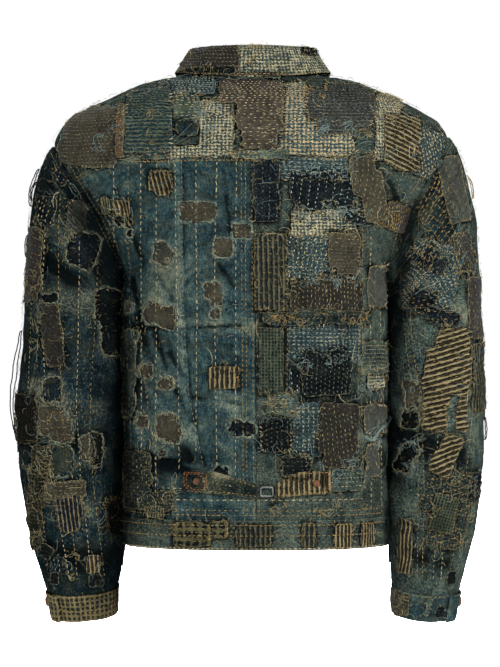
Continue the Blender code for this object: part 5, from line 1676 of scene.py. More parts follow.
# Blobs: x_left, x_right, z_top, z_bottom, lean in degrees, roundness. All in millimetres.
PATCHES = [
    # the yoke, from the wearer's left to the right
    Patch("back", "brown", 1, 4, 2.0, "thread_blue", 1.6, ("rows_khaki",),
          [(238, 160, -34, -112, 8, 0.3), (214, 166, -40, -114, 0, 0.3)], "patch_yoke_brown_left"),
    Patch("back", "brown_red", 2, 0, 1.2, "thread_khaki", 0.7, ("columns_khaki",),
          [(167, 158, -34, -104, 0, 0.2)]),
    Patch("back", "teal_lined", 2, 0, 1.4, "thread_blue", 1.8, ("rows_dim",),
          [(156, 98, -20, -98, 0, 0.15), (130, 100, -14, -50, 0, 0.2)], "patch_yoke_teal"),
    Patch("back", "kasuri", 1, 0, 1.6, "thread_blue", 1.2, ("rows_white",),
          [(116, 44, -1, -24, 0, 0.3)]),
    Patch("back", "denim_worn", 1, 0, 1.8, "thread_cream", 1.2, ("rows",),
          [(97, 62, -22, -56, 0, 0.4)]),
    Patch("back", "denim_dark", 2, 0, 2.0, "thread_khaki", 1.0, (),
          [(93, 64, -56, -77, 0, 0.9)]),
    Patch("back", "boucle", 1, 0, 2.4, "thread_cream", 2.0, ("rows",),
          [(62, 20, -30, -100, 0, 0.2), (100, 22, -90, -104, 0, 0.3)], "patch_yoke_weave"),
    Patch("back", "brown_warm", 2, 0, 2.2, "thread_khaki", 1.4, ("rows_cream",),
          [(38, -42, -6, -34, 0, 0.3), (16, -42, -26, -70, 0, 0.3), (10, -34, -60, -94, 0, 0.4)],
          "patch_yoke_brown_centre"),
    Patch("back", "boucle_grid", 1, 0, 2.6, "thread_cream", 2.2, ("rows_tight",),
          [(-16, -90, -40, -101, 0, 0.2), (-60, -128, -60, -101, 0, 0.3), (-38, -72, -8, -60, 0, 0.3)]),
    Patch("back", "charcoal", 2, 1, 1.6, "thread_khaki", 1.2, ("rows_dim",),
          [(-70, -157, -16, -56, 0, 0.35), (-84, -152, -40, -73, -8, 0.4), (-92, -150, -8, -30, 0, 0.5)],
          "patch_yoke_charcoal"),
    Patch("back", "boucle", 1, 0, 1.6, "thread_cream", 1.2, ("columns_cream",),
          [(-157, -170, -28, -106, 0, 0.3)]),
    Patch("back", "boucle_grid", 1, 0, 2.4, "thread_cream", 1.8, ("rows",),
          [(-158, -192, -18, -58, 0, 0.4)]),
    Patch("back", "stripe_brown", 2, 72, 2.0, "thread_khaki", 1.2, ("sparse",),
          [(-168, -214, -48, -110, 4, 0.3), (-180, -212, -96, -118, 0, 0.4)], "patch_yoke_stripe"),
    Patch("back", "kasuri", 1, 10, 2.0, "thread_cream", 1.4, ("slanted",),
          [(-206, -240, -64, -126, 14, 0.4)]),
    Patch("back", "denim_dark", 3, 0, 1.2, "thread_khaki", 0.8, ("rows_dim",),
          [(50, -38, 3, -5, 0, 0.3)]),
    Patch("back", "denim_worn", 3, 0, 1.6, "thread_cream", 1.4, ("rows_gold",),
          [(24, -46, -97, -107, 0, 0.4)]),
    Patch("back", "denim_worn", 1, 0, 1.6, "thread_cream", 1.6, ("rows",),
          [(134, 100, -98, -107, 0, 0.4)]),
    # the right back panel, from the top down
    Patch("back", "navy", 2, 0, 1.6, "thread_dark", 0.8, ("columns_dim",),
          [(-3, -37, -108, -166, 0, 0.2), (-6, -34, -150, -186, 0, 0.3)], "patch_navy_strip"),
    Patch("back", "kasuri", 1, 0, 1.8, "thread_cream", 2.2, ("rows_white",),
          [(-38, -132, -105, -132, 0, 0.2)]),
    Patch("back", "navy", 2, 0, 1.8, "thread_white", 1.0, ("columns",),
          [(-50, -131, -122, -158, 0, 0.25), (-56, -92, -146, -170, 3, 0.5),
           (-104, -128, -150, -167, 0, 0.5)],
          "patch_navy_sashiko"),
    Patch("back", "brown", 3, 6, 1.6, "thread_khaki", 1.0, ("columns_khaki",),
          [(-126, -158, -102, -150, -8, 0.3), (-138, -168, -120, -184, -10, 0.4)], "patch_brown_blade"),
    Patch("back", "navy", 2, 0, 1.6, "thread_blue", 0.8, ("columns",),
          [(-116, -146, -165, -184, 14, 0.6)]),
    Patch("back", "brown", 2, 20, 1.6, "thread_gold", 1.2, ("ladder",),
          [(-166, -196, -160, -192, 18, 0.3)]),
    Patch("back", "boucle", 1, 0, 2.6, "thread_cream", 2.6, ("rows",),
          [(-50, -132, -170, -202, 0, 0.3)]),
    Patch("back", "stripe", 3, 0, 1.0, "thread_khaki", 0.8, ("sparse_gold",),
          [(-5, -45, -200, -294, 0, 0.12)], "patch_stripe_upper"),
    Patch("back", "kasuri", 1, 0, 2.0, "thread_cream", 1.6, ("columns_cream",),
          [(-45, -132, -200, -256, 0, 0.15), (-50, -80, -230, -264, 0, 0.5)], "patch_kasuri_upper"),
    Patch("back", "brown", 3, 0, 1.8, "thread_khaki", 1.2, ("rows_khaki",),
          [(-97, -136, -196, -240, 0, 0.3), (-106, -132, -220, -250, 0, 0.4)], "patch_brown_upper"),
    Patch("back", "brown_dark", 2, 0, 2.2, "thread_khaki", 1.2, ("columns_khaki",),
          [(-50, -140, -258, -295, 0, 0.2), (-84, -122, -248, -280, 0, 0.6)], "patch_brown_large"),
    Patch("back", "grey", 1, 0, 1.6, "thread_cream", 1.0, ("rows_dim",),
          [(-148, -172, -238, -290, 0, 0.3)]),
    Patch("back", "denim_dark", 2, 0, 2.6, "thread_khaki", 2.0, ("rows_khaki",),
          [(-14, -150, -295, -312, 0, 0.4)]),
    Patch("back", "green_plaid", 2, 0, 1.2, "thread_dark", 1.2, ("columns_dim",),
          [(-10, -42, -315, -399, 0, 0.12)], "patch_green_plaid"),
    Patch("back", "kasuri", 1, 0, 2.0, "thread_blue", 1.6, ("rows_white",),
          [(-46, -138, -312, -358, 0, 0.2)]),
    Patch("back", "black", 3, 0, 2.0, "thread_dark", 0.8, ("columns_dim",),
          [(-64, -125, -350, -400, 0, 0.35), (-96, -119, -340, -370, 0, 0.7),
           (-66, -88, -345, -380, 6, 0.6)],
          "patch_black"),
    Patch("back", "navy", 2, 0, 2.2, "thread_blue", 1.2, ("columns",),
          [(-48, -62, -360, -396, 0, 0.5)]),
    Patch("back", "denim_worn", 2, 0, 2.0, "thread_khaki", 1.2, ("rows",),
          [(-139, -173, -333, -374, 0, 0.25)]),
    Patch("back", "boucle", 1, 0, 2.0, "thread_cream", 1.2, (),
          [(-146, -168, -368, -393, 0, 0.4)]),
    Patch("back", "denim_worn", 1, 0, 2.8, "thread_khaki", 2.0, ("rows",),
          [(-20, -58, -398, -424, 4, 0.5)]),
    Patch("back", "black", 2, 0, 1.8, "thread_blue", 1.2, ("columns_dim",),
          [(-13, -51, -427, -471, 0, 0.25)], "patch_navy_low"),
    Patch("back", "kasuri", 1, 0, 1.8, "thread_blue", 1.2, ("columns",),
          [(-50, -86, -408, -474, 0, 0.15)]),
    Patch("back", "brown_dark", 2, 8, 2.0, "thread_dark", 1.2, ("columns_lean",),
          [(-86, -134, -410, -474, 5, 0.2), (-92, -128, -440, -489, 3, 0.3)], "patch_charcoal_low"),
    Patch("back", "grey", 1, 0, 2.0, "thread_cream", 1.4, ("rows_dim",),
          [(-142, -172, -412, -450, 0, 0.3), (-144, -162, -460, -503, 0, 0.4)]),
    Patch("back", "black", 2, 0, 2.4, "thread_khaki", 1.4, ("rows_dim",),
          [(-39, -76, -473, -503, 4, 0.4)]),
    Patch("back", "denim_worn", 1, 0, 2.8, "thread_cream", 1.6, ("rows",),
          [(-92, -140, -492, -520, 0, 0.5)]),
    # the waistband
    Patch("back", "stripe", 2, 0, 1.2, "thread_khaki", 0.8, (), [(-64, -81, -557, -588, 0, 0.2)]),
    Patch("back", "stripe_brown", 2, 0, 1.2, "thread_khaki", 0.8, (), [(-105, -126, -561, -591, 0, 0.2)]),
    Patch("back", "stripe_brown", 2, 0, 1.2, "thread_khaki", 0.8, (), [(-138, -154, -562, -590, 0, 0.2)]),
    Patch("back", "polka", 2, 0, 1.4, "thread_gold", 1.0, ("rows_gold",), [(94, 48, -558, -588, 0, 0.2)]),
    Patch("back", "polka", 2, 0, 1.4, "thread_gold", 1.0, ("rows_gold",), [(47, 28, -556, -577, 0, 0.3)]),
    Patch("back", "stripe", 2, 0, 1.4, "thread_khaki", 0.8, (), [(17, -27, -560, -588, 0, 0.3)]),
    # the left back panel
    Patch("back", "felted", 1, 0, 3.0, "thread_khaki", 1.0, ("sparse",), [(166, 142, -318, -430, 4, 0.5)]),
    Patch("back", "boucle_dark", 1, 0, 3.0, "thread_khaki", 1.2, ("sparse",),
          [(166, 122, -470, -546, 0, 0.4), (128, 96, -520, -546, 0, 0.5)]),
    Patch("back", "stripe_brown", 1, 13, 1.8, "thread_khaki", 1.4, (),
          [(126, 96, -119, -144, 0, 0.3), (118, 98, -132, -150, 0, 0.5)], "patch_stripe_diagonal"),
    Patch("back", "stripe_brown", 1, 0, 1.6, "thread_khaki", 1.2, (), [(171, 150, -156, -176, 0, 0.4)]),
    Patch("back", "stripe_grey", 1, 0, 1.6, "thread_khaki", 1.0, (), [(185, 176, -152, -172, 0, 0.4)]),
    Patch("back", "stripe_brown", 1, 0, 0.8, "thread_gold", 0.8, (),
          [(50, 14, -365, -392, 0, 0.15)], "patch_stripe_small"),
    Patch("back", "stripe_grey", 1, 0, 1.4, "thread_khaki", 1.0, (), [(132, 107, -540, -554, 0, 0.3)]),
    # the collar
    Patch("collar", "brown_dark", 1, 0, 1.2, "thread_khaki", 0.8, ("rows_fine",),
          [(88, 14, 52, 2, 0, 0.1)]),
    Patch("collar", "black", 2, 0, 0.8, "thread_khaki", 0.6, ("ladder_short",),
          [(84, 18, 13, 2, 0, 0.1)]),
    Patch("collar", "black", 1, 0, 1.0, "thread_dark", 0.6, ("columns_cream",),
          [(-63, -84, 50, 30, 0, 0.3)]),
    # the left sleeve
    Patch("arm_left", "navy", 1, 0, 2.0, "thread_dark", 1.6, ("columns_cream",),
          [(249, 230, -112, -138, 10, 0.3)]),
    Patch("arm_left", "navy", 1, 0, 2.0, "thread_dark", 1.8, ("columns_cream",),
          [(271, 244, -150, -187, 6, 0.3)]),
    Patch("arm_left", "charcoal", 1, 0, 2.4, "thread_blue", 1.6, (),
          [(230, 206, -154, -197, 8, 0.6)]),
    Patch("arm_left", "brown_dark", 1, 0, 2.8, "thread_khaki", 2.4, ("sparse_gold",),
          [(290, 264, -188, -282, 4, 0.5)]),
    Patch("arm_left", "brown_dark", 1, 40, 2.4, "thread_khaki", 0.8, (),
          [(262, 236, -286, -366, -6, 0.5)]),
    Patch("arm_left", "black_ribbed", 1, 0, 1.6, "thread_dark", 1.4, (),
          [(299, 270, -400, -464, 0, 0.3)]),
    Patch("arm_left", "brown", 2, 0, 1.8, "thread_khaki", 1.2, ("rows_khaki",),
          [(260, 210, -511, -533, -3, 0.3)]),
    Patch("arm_left", "pinstripe", 2, 0, 1.4, "thread_khaki", 1.2, (),
          [(249, 214, -528, -558, 0, 0.2), (245, 218, -540, -576, 0, 0.8)]),
    Patch("arm_left", "stripe_brown", 1, 0, 1.6, "thread_khaki", 1.0, (), [(211, 192, -606, -632, 0, 0.6)]),
    Patch("arm_left", "navy", 1, 0, 1.8, "thread_dark", 1.2, ("columns",), [(258, 236, -609, -632, 0, 0.4)]),
    Patch("arm_left", "black", 1, 0, 1.6, "thread_dark", 1.0, (), [(208, 190, -633, -650, 0, 0.4)]),
    Patch("arm_left", "knit", 1, 20, 2.4, "thread_gold", 4.0, (), [(186, 160, -534, -584, -8, 0.5)]),
    Patch("arm_left", "knit", 1, 0, 2.6, "thread_khaki", 3.0, (), [(282, 262, -466, -600, 8, 0.4)]),
    Patch("arm_left", "black", 2, 0, 2.0, "thread_dark", 1.2, (), [(272, 250, -592, -612, 30, 0.5)]),
    Patch("arm_left", "black", 1, 0, 1.0, "thread_dark", 0.4, (), [(257, 246, -630, -647, 0, 0.4)]),
    # the right sleeve
    Patch("arm_right", "black", 1, 0, 1.0, "thread_dark", 0.4, (), [(-253, -265, -628, -647, 0, 0.4)]),
    Patch("arm_right", "grey", 2, 4, 1.4, "thread_khaki", 0.8, ("sparse",),
          [(-242, -272, -98, -184, -12, 0.2)]),
    Patch("arm_right", "denim_dark", 1, 0, 1.6, "thread_gold", 0.8, ("net_rows", "net_columns"),
          [(-212, -256, -128, -214, -16, 0.2)]),
    Patch("arm_right", "kasuri", 1, 8, 2.0, "thread_khaki", 1.2, ("slanted",),
          [(-196, -262, -208, -300, 14, 0.3)]),
    Patch("arm_right", "navy", 2, 16, 2.2, "thread_khaki", 1.2, ("sparse_gold",),
          [(-198, -248, -222, -240, 22, 0.4), (-218, -238, -214, -230, 22, 0.5)]),
    Patch("arm_right", "navy", 2, 0, 2.2, "thread_khaki", 1.2, ("sparse_gold",),
          [(-204, -236, -268, -292, 14, 0.5)]),
    Patch("arm_right", "navy", 3, 0, 1.8, "thread_khaki", 1.0, ("sparse_gold",),
          [(-222, -264, -292, -310, 20, 0.5)]),
    Patch("arm_right", "brown_dark", 1, 0, 2.4, "thread_khaki", 1.8, ("sparse",),
          [(-258, -282, -196, -246, -8, 0.4), (-276, -302, -250, -330, -4, 0.4)]),
    Patch("arm_right", "stripe_brown", 3, -76, 2.0, "thread_khaki", 1.4, ("sparse_gold",),
          [(-238, -278, -314, -350, 14, 0.2), (-222, -278, -346, -398, 8, 0.2),
           (-220, -250, -380, -446, 4, 0.4)],
          "patch_sleeve_stripe"),
    Patch("arm_right", "stripe_brown", 2, -84, 1.8, "thread_khaki", 1.0, (),
          [(-262, -276, -372, -448, 4, 0.4)]),
    Patch("arm_right", "stripe_brown", 2, -70, 2.0, "thread_khaki", 1.2, (),
          [(-244, -268, -452, -480, 20, 0.4), (-230, -258, -474, -504, 24, 0.4)]),
    Patch("arm_right", "stripe", 1, 0, 2.2, "thread_khaki", 1.2, ("sparse",),
          [(-282, -304, -336, -420, 0, 0.4)]),
    Patch("arm_right", "stripe_brown", 1, -6, 1.8, "thread_khaki", 1.2, (),
          [(-192, -210, -560, -632, 0, 0.3)]),
    Patch("arm_right", "boucle_dark", 1, -12, 2.2, "thread_khaki", 1.6, ("net_rows",),
          [(-222, -286, -500, -560, 16, 0.3), (-228, -274, -545, -600, 8, 0.3)]),
    Patch("arm_right", "green_plaid", 2, -12, 1.8, "thread_khaki", 1.0, (),
          [(-232, -262, -528, -576, 12, 0.3)]),
    Patch("arm_right", "navy", 1, 0, 1.8, "thread_dark", 1.4, ("columns",),
          [(-278, -298, -500, -536, 0, 0.3)]),
    Patch("cuff_right", "denim_worn", 1, 0, 2.6, "thread_khaki", 1.0, (),
          [(-220, -238, -662, -674, 20, 0.8), (-226, -232, -668, -688, 10, 0.8)]),
    Patch("cuff_right", "navy", 1, 0, 2.6, "thread_khaki", 0.8, (),
          [(-240, -252, -676, -690, 20, 0.8)]),
    Patch("cuff_right", "brown", 1, 0, 1.6, "thread_khaki", 1.4, ("rows_khaki",),
          [(-180, -208, -652, -690, 0, 0.2)]),
]

# Places where the base cloth is worn through to an older one
HOLES = [
    Hole("back", "brown", 0, 1.6, "thread_blue", 1.6, ("sparse",),
         [(86, 46, -161, -184, 0, 0.3), (58, 42, -163, -182, 0, 0.9)], "patch_brown_left"),
    Hole("back", "brown", 0, 2.0, "thread_blue", 1.4, (), [(44, 22, -206, -228, 0, 0.6)]),
    Hole("back", "brown", 0, 2.0, "thread_blue", 1.4, (), [(22, -1, -187, -205, 0, 0.5)]),
    Hole("back", "grey", 0, 2.0, "thread_cream", 2.2, (),
         [(120, 101, -209, -235, 8, 0.8), (112, 98, -216, -238, 30, 0.7)]),
    Hole("back", "black", 0, 1.6, "thread_cream", 1.2, (), [(169, 156, -174, -188, 0, 0.7)]),
    Hole("back", "black", 0, 1.6, "thread_cream", 1.0, (), [(154, 147, -193, -203, 0, 0.8)]),
    Hole("back", "brown", 0, 2.6, "thread_cream", 2.0, (),
         [(134, 110, -285, -311, 0, 0.7), (114, 92, -290, -316, 0, 0.7)]),
    Hole("back", "brown", 0, 2.2, "thread_blue", 1.6, (),
         [(57, 36, -260, -280, 0, 0.6), (48, 34, -270, -290, 0, 0.7)]),
    Hole("back", "brown", 0, 2.0, "thread_blue", 1.4, (), [(50, 37, -291, -307, 0, 0.8)]),
    Hole("back", "brown", 0, 1.6, "thread_cream", 1.2, (), [(158, 148, -283, -296, 0, 0.8)]),
    Hole("back", "brown", 0, 2.0, "thread_cream", 1.6, (), [(138, 122, -363, -379, 0, 0.8)]),
    Hole("back", "brown", 0, 1.8, "thread_cream", 1.4, (), [(114, 96, -380, -392, -10, 0.8)]),
    Hole("back", "brown", 0, 3.0, "thread_cream", 2.4, (),
         [(117, 90, -424, -456, 0, 0.6), (106, 86, -434, -460, 20, 0.7)]),
    Hole("back", "brown", 0, 2.0, "thread_cream", 1.4, (), [(142, 126, -428, -439, 10, 0.8)]),
    Hole("back", "brown_dark", 0, 1.4, "thread_khaki", 1.0, (), [(113, 104, -469, -476, 0, 0.8)]),
    Hole("back", "navy", 0, 2.6, "thread_blue", 1.4, (),
         [(24, 8, -430, -450, 20, 0.9), (10, -5, -432, -450, -20, 0.9)]),
    Hole("back", "black", 0, 2.2, "thread_blue", 1.4, (), [(43, 26, -489, -500, 0, 0.7)]),
    Hole("arm_left", "navy", 0, 2.4, "thread_khaki", 1.8, (), [(229, 192, -194, -240, 16, 0.6)]),
    Hole("arm_left", "black", 0, 1.8, "thread_khaki", 1.2, (), [(262, 243, -272, -284, -8, 0.6)]),
    Hole("arm_left", "black", 0, 2.4, "thread_khaki", 1.4, (),
         [(196, 166, -266, -308, 10, 0.6), (190, 160, -300, -352, 0, 0.6)]),
    Hole("arm_left", "denim_dark", 0, 3.0, "thread_khaki", 1.6, (), [(258, 226, -462, -505, 0, 0.8)]),
    Hole("arm_left", "denim_dark", 0, 3.0, "thread_khaki", 1.6, (), [(262, 238, -378, -410, 0, 0.7)]),
    Hole("arm_left", "brown", 0, 2.6, "thread_khaki", 2.0, ("sparse_gold",),
         [(270, 236, -414, -452, 8, 0.6), (252, 226, -428, -460, 0, 0.7)], "patch_sleeve_brown"),
    Hole("arm_left", "brown", 0, 2.2, "thread_khaki", 1.2, (), [(216, 200, -452, -484, 0, 0.7)]),
    Hole("arm_left", "black", 0, 2.2, "thread_khaki", 1.2, (), [(204, 190, -450, -492, 0, 0.7)]),
    Hole("arm_right", "brown", 0, 2.6, "thread_khaki", 1.6, (),
         [(-198, -214, -384, -420, -6, 0.6)]),
    Hole("arm_right", "black", 0, 2.2, "thread_khaki", 1.4, (), [(-194, -214, -418, -442, 0, 0.6)]),
    Hole("arm_right", "black", 0, 2.4, "thread_khaki", 1.6, (),
         [(-190, -210, -462, -500, 24, 0.6)]),
]

# Running stitches: chart, thread, stitch length, step, layer, and the x and z of the corners, all in mm
Row = namedtuple("Row", "chart thread length step layer corners")
ROWS = [
    # the left back panel's columns
    Row("back", "thread_cream", 5.2, 8.2, 0, [(170, -110), (171, -548)]),
    Row("back", "thread_khaki", 4.6, 8.0, 0, [(152, -112), (150, -548)]),
    Row("back", "thread_cream", 5.2, 8.0, 0, [(136, -110), (136, -548)]),
    Row("back", "thread_cream", 5.4, 8.4, 0, [(116, -110), (118, -548)]),
    Row("back", "thread_cream", 5.2, 8.0, 0, [(93, -110), (90, -300), (88, -490)]),
    Row("back", "thread_cream", 5.4, 8.2, 0, [(67, -110), (66, -300), (67, -470)]),
    Row("back", "thread_cream", 5.4, 8.4, 0, [(41, -108), (44, -260), (41, -490)]),
    Row("back", "thread_cream", 5.2, 8.2, 0, [(17, -108), (18, -500)]),
    Row("back", "thread_gold", 4.4, 6.0, 0, [(11, -105), (8, -550)]),
    Row("back", "thread_gold", 4.4, 6.0, 0, [(6, -105), (3.4, -550)]),
    Row("back", "thread_gold", 4.6, 6.4, 0, [(-2, -105), (-5, -550)]),
    Row("back", "thread_khaki", 4.4, 6.2, 0, [(85, -108), (83, -290), (76, -400), (58, -488)]),
    Row("back", "thread_gold", 4.4, 6.6, 0, [(142, -300), (132, -380), (120, -470), (112, -548)]),
    Row("back", "thread_khaki", 4.4, 6.6, 0, [(176, -112), (160, -170), (150, -230)]),
    Row("back", "thread_cream", 5.0, 8.0, 0, [(104, -516), (8, -516)]),
    Row("back", "thread_cream", 5.2, 8.6, 0, [(120, -530), (-140, -530)]),
    # the yoke's seam, its ends and the armholes
    Row("back", "thread_khaki", 3.6, 5.0, 0, [(134, -97), (60, -97), (-60, -97), (-150, -97)]),
    Row("back", "thread_gold", 3.8, 5.4, 0, [(150, -109), (60, -108), (-60, -108), (-150, -109)]),
    Row("back", "thread_khaki", 4.0, 5.6, 0, [(134, -97), (178, -106), (218, -126)]),
    Row("back", "thread_gold", 4.0, 5.6, 0,
        [(236, -92), (222, -120), (204, -148), (184, -180), (168, -220)]),
    Row("back", "thread_khaki", 4.0, 5.8, 0,
        [(228, -92), (214, -120), (197, -148), (178, -180), (163, -220)]),
    Row("back", "thread_gold", 4.0, 5.6, 0,
        [(-236, -80), (-222, -116), (-200, -150), (-188, -186), (-178, -220)]),
    # the right back panel
    Row("back", "thread_gold", 4.6, 6.6, 1, [(-139, -190), (-139, -490)]),
    Row("back", "thread_khaki", 4.4, 6.4, 1, [(-134, -196), (-134, -490)]),
    Row("back", "thread_gold", 4.4, 6.2, 1, [(-46, -315), (-46, -400)]),
    Row("back", "thread_cream", 4.8, 7.4, 0, [(-150, -200), (-152, -548)]),
    Row("back", "thread_cream", 4.8, 7.4, 0, [(-164, -250), (-166, -548)]),
    # above the waistband and on it
    Row("back", "thread_gold", 4.6, 6.6, 0, [(176, -548), (-165, -550)]),
    Row("back", "thread_gold", 4.6, 7.0, 0, [(176, -542), (-165, -544)]),
    Row("back", "thread_gold", 4.2, 6.0, 4, [(170, -561), (-165, -561)]),
    Row("back", "thread_gold", 4.2, 6.4, 4, [(170, -574), (-165, -574)]),
    Row("back", "thread_cream", 4.2, 6.0, 4, [(170, -590), (-165, -590)]),
    # the straps
    Row("back", "thread_copper", 3.4, 4.6, 5, [(80, -496), (80, -519), (53, -520), (53, -496), (80, -496)]),
    Row("back", "thread_copper", 3.4, 4.6, 5, [(77, -498), (77, -517), (56, -517), (56, -498), (77, -498)]),
    Row("back", "thread_gold", 3.8, 5.4, 5, [(50, -497), (20, -504.5), (-7, -513)]),
    Row("back", "thread_gold", 3.8, 5.4, 5, [(50, -519), (20, -521.5), (-7, -525)]),
    Row("back", "thread_khaki", 3.8, 5.4, 5, [(48, -508), (20, -513)]),
    Row("back", "thread_gold", 3.6, 5.0, 5, [(-96, -496), (-66, -497), (-49, -503), (-35, -513)]),
    Row("back", "thread_gold", 3.6, 5.0, 5, [(-96, -520), (-66, -521.5), (-49, -523), (-35, -525)]),
    Row("back", "thread_copper", 3.4, 4.6, 5, [(-96, -496), (-96, -520)]),
    # the left sleeve
    Row("arm_left", "thread_cream", 4.8, 7.6, 0,
        [(258, -180), (262, -240), (262, -330), (258, -420), (250, -500), (240, -590), (232, -640)]),
    Row("arm_left", "thread_gold", 4.6, 7.2, 0,
        [(240, -150), (242, -240), (240, -330), (238, -420), (232, -500), (226, -590), (222, -640)]),
    Row("arm_left", "thread_cream", 4.8, 7.6, 0,
        [(214, -190), (216, -260), (218, -340), (220, -420), (216, -500), (208, -590), (206, -640)]),
    Row("arm_left", "thread_gold", 4.6, 7.2, 0,
        [(192, -230), (196, -300), (202, -380), (204, -450), (200, -520), (192, -600), (188, -640)]),
    Row("arm_left", "thread_khaki", 4.4, 6.4, 0,
        [(272, -200), (278, -300), (282, -400), (274, -500), (262, -590), (252, -644)]),
    Row("arm_left", "thread_khaki", 4.2, 6.0, 0,
        [(252, -60), (226, -100), (206, -140), (186, -184), (168, -226)]),
    # the right sleeve
    Row("arm_right", "thread_gold", 4.4, 6.6, 0,
        [(-198, -240), (-206, -330), (-218, -420), (-222, -520), (-222, -640)]),
    Row("arm_right", "thread_khaki", 4.4, 6.6, 0,
        [(-190, -240), (-198, -330), (-210, -420), (-215, -520), (-216, -640)]),
    Row("arm_right", "thread_cream", 4.8, 7.4, 0,
        [(-238, -400), (-238, -500), (-236, -640)]),
    Row("arm_right", "thread_gold", 4.6, 7.0, 0,
        [(-268, -300), (-284, -400), (-276, -500), (-262, -600), (-256, -644)]),
    Row("arm_right", "thread_khaki", 4.2, 6.0, 0, [(-252, -60), (-234, -100), (-214, -140), (-196, -190)]),
    Row("arm_right", "thread_cream", 4.6, 7.2, 0, [(-246, -500), (-248, -560), (-246, -644)]),
    # the cuffs and the collar
    Row("cuff_left", "thread_gold", 4.0, 5.8, 0, [(252, -658), (168, -658)]),
    Row("cuff_right", "thread_gold", 4.0, 5.8, 0, [(-184, -658), (-256, -658)]),
    Row("cuff_left", "thread_gold", 4.0, 5.8, 0, [(248, -682), (168, -686)]),
    Row("collar", "thread_gold", 3.8, 5.4, 1, [(88, 2), (-96, 2)]),
    Row("collar", "thread_khaki", 3.8, 5.4, 0, [(88, 42), (-84, 42)]),
]
ROW_STEP = 0.012
PATH_POINTS = 60
HALO = 0.0036
BASE_WEAR = 0.10
PATCH_CELL = 0.0028
ARM_CELL = 0.0035
HIDDEN_CELL = 0.0062
ROW_RADIUS = 0.00052
FUZZ_LENGTH = 0.009
FUZZ_KINDS = {"thread_khaki": 0.34, "thread_blue": 0.22, "thread_cream": 0.06, "thread_dark": 0.38}
PLAIN_FRAY = 0.5

# Painted shade in the gaps where the sleeves hang against the body. Where the sleeves press against the
# body, on each side: z and the distance from the centre
GAP_SHADE_LINES = {
    1: np.array([(-0.700, 0.158), (-0.500, 0.160), (-0.300, 0.163), (-0.230, 0.170), (-0.185, 0.192),
                 (-0.130, 0.214), (-0.060, 0.238)]),
    -1: np.array([(-0.700, 0.176), (-0.500, 0.178), (-0.400, 0.182), (-0.230, 0.190), (-0.180, 0.200),
                  (-0.130, 0.223), (-0.060, 0.246)]),
}
# How far that painted shade reaches over the body and over the arm, where it fades out at the top, and
# its patchiness: its mean, how much it varies, and the size of its lumps
GAP_SHADE_BODY = {1: 0.013, -1: 0.011}
GAP_SHADE_ARM = {1: 0.031, -1: 0.013}
GAP_SHADE_FADE = (-0.170, -0.110)
GAP_SHADE_MEAN = 0.72
GAP_SHADE_VARIES = 0.50
GAP_SHADE_LUMPS = 0.018

# Tangles of loose thread: chart, thread, x_left, x_right, z_top, z_bottom, how many, half size, layer
TANGLES = [
    ("collar", "thread_gold", 4, -8, 46, 8, 3, 4.3, 1),
    ("collar", "thread_khaki", -10, -80, 48, 10, 6, 3.6, 0),
    ("back", "thread_gold", -72, -96, -12, -30, 3, 4.3, 2),
    ("back", "thread_blue", -66, -130, -58, -74, 8, 4.3, 2),
    ("back", "thread_khaki", -120, -150, -66, -82, 4, 4.3, 2),
    ("back", "thread_blue", 70, 36, -24, -84, 8, 4.3, 1),
    ("back", "thread_khaki", 132, 118, -40, -96, 4, 3.6, 2),
    ("back", "thread_blue", 200, 168, -50, -100, 5, 5.0, 1),
    ("back", "thread_blue", -42, -130, -118, -128, 9, 3.6, 2),
    ("back", "thread_blue", -48, -130, -166, -178, 9, 4.3, 2),
    ("back", "thread_khaki", -130, -170, -150, -200, 6, 4.3, 1),
    ("back", "thread_blue", -48, -132, -248, -262, 8, 3.6, 2),
    ("back", "thread_gold", -16, -148, -296, -312, 12, 4.3, 2),
    ("back", "thread_dark", -16, -148, -296, -314, 8, 4.3, 2),
    ("back", "thread_blue", -46, -136, -352, -364, 7, 4.3, 3),
    ("back", "thread_blue", -130, -174, -376, -470, 9, 5.0, 2),
    ("back", "thread_khaki", -20, -60, -398, -424, 6, 5.0, 2),
    ("back", "thread_blue", -84, -138, -474, -512, 8, 5.0, 2),
    ("back", "thread_dark", -50, -90, -408, -500, 7, 4.3, 2),
    ("back", "thread_khaki", 140, 60, -500, -545, 6, 4.3, 0),
    ("back", "thread_khaki", -20, -160, -535, -550, 8, 4.3, 0),
    ("arm_left", "thread_dark", 262, 244, -100, -150, 6, 5.0, 1),
    ("arm_left", "thread_khaki", 290, 266, -190, -340, 9, 5.8, 1),
    ("arm_left", "thread_khaki", 286, 262, -460, -600, 8, 5.8, 1),
    ("arm_left", "thread_khaki", 240, 196, -570, -640, 5, 3.0, 1),
    ("arm_right", "thread_khaki", -200, -256, -206, -310, 9, 5.0, 1),
    ("arm_right", "thread_blue", -190, -218, -390, -500, 7, 5.0, 1),
    ("arm_right", "thread_khaki", -240, -290, -490, -600, 9, 5.8, 1),
    ("cuff_right", "thread_khaki", -186, -212, -652, -690, 4, 4.3, 1),
]
TANGLE_POINTS = 26
TANGLE_RADIUS = 0.00024

# Thick loose cords: chart, thread, turn, z_top, z_bottom and how far they stand off, in mm
CORDS = [
    ("arm_left", "thread_dark", 1.50, -318, -452, 9.0),
    ("arm_left", "thread_dark", 1.62, -420, -462, 4.0),
    ("arm_left", "thread_dark", 1.45, -112, -160, 6.0),
    ("arm_left", "thread_dark", 1.56, -128, -152, 4.0),
    ("arm_left", "thread_dark", 1.50, -196, -226, 4.0),
    ("arm_right", "thread_khaki", 1.52, -120, -150, 5.0),
    ("arm_right", "thread_dark", 1.50, -430, -460, 4.0),
]
CORD_RADIUS = 0.00085
CORD_POINTS = 46

# A frayed rope of threads from the body to the right sleeve: the x and z of its corners in mm
ROPE = [(-140, -452), (-150, -458), (-160, -446), (-170, -438), (-178, -428)]
ROPE_THREADS = 6
ROPE_SPREAD = 0.0011
ROPE_STAND = 0.0050


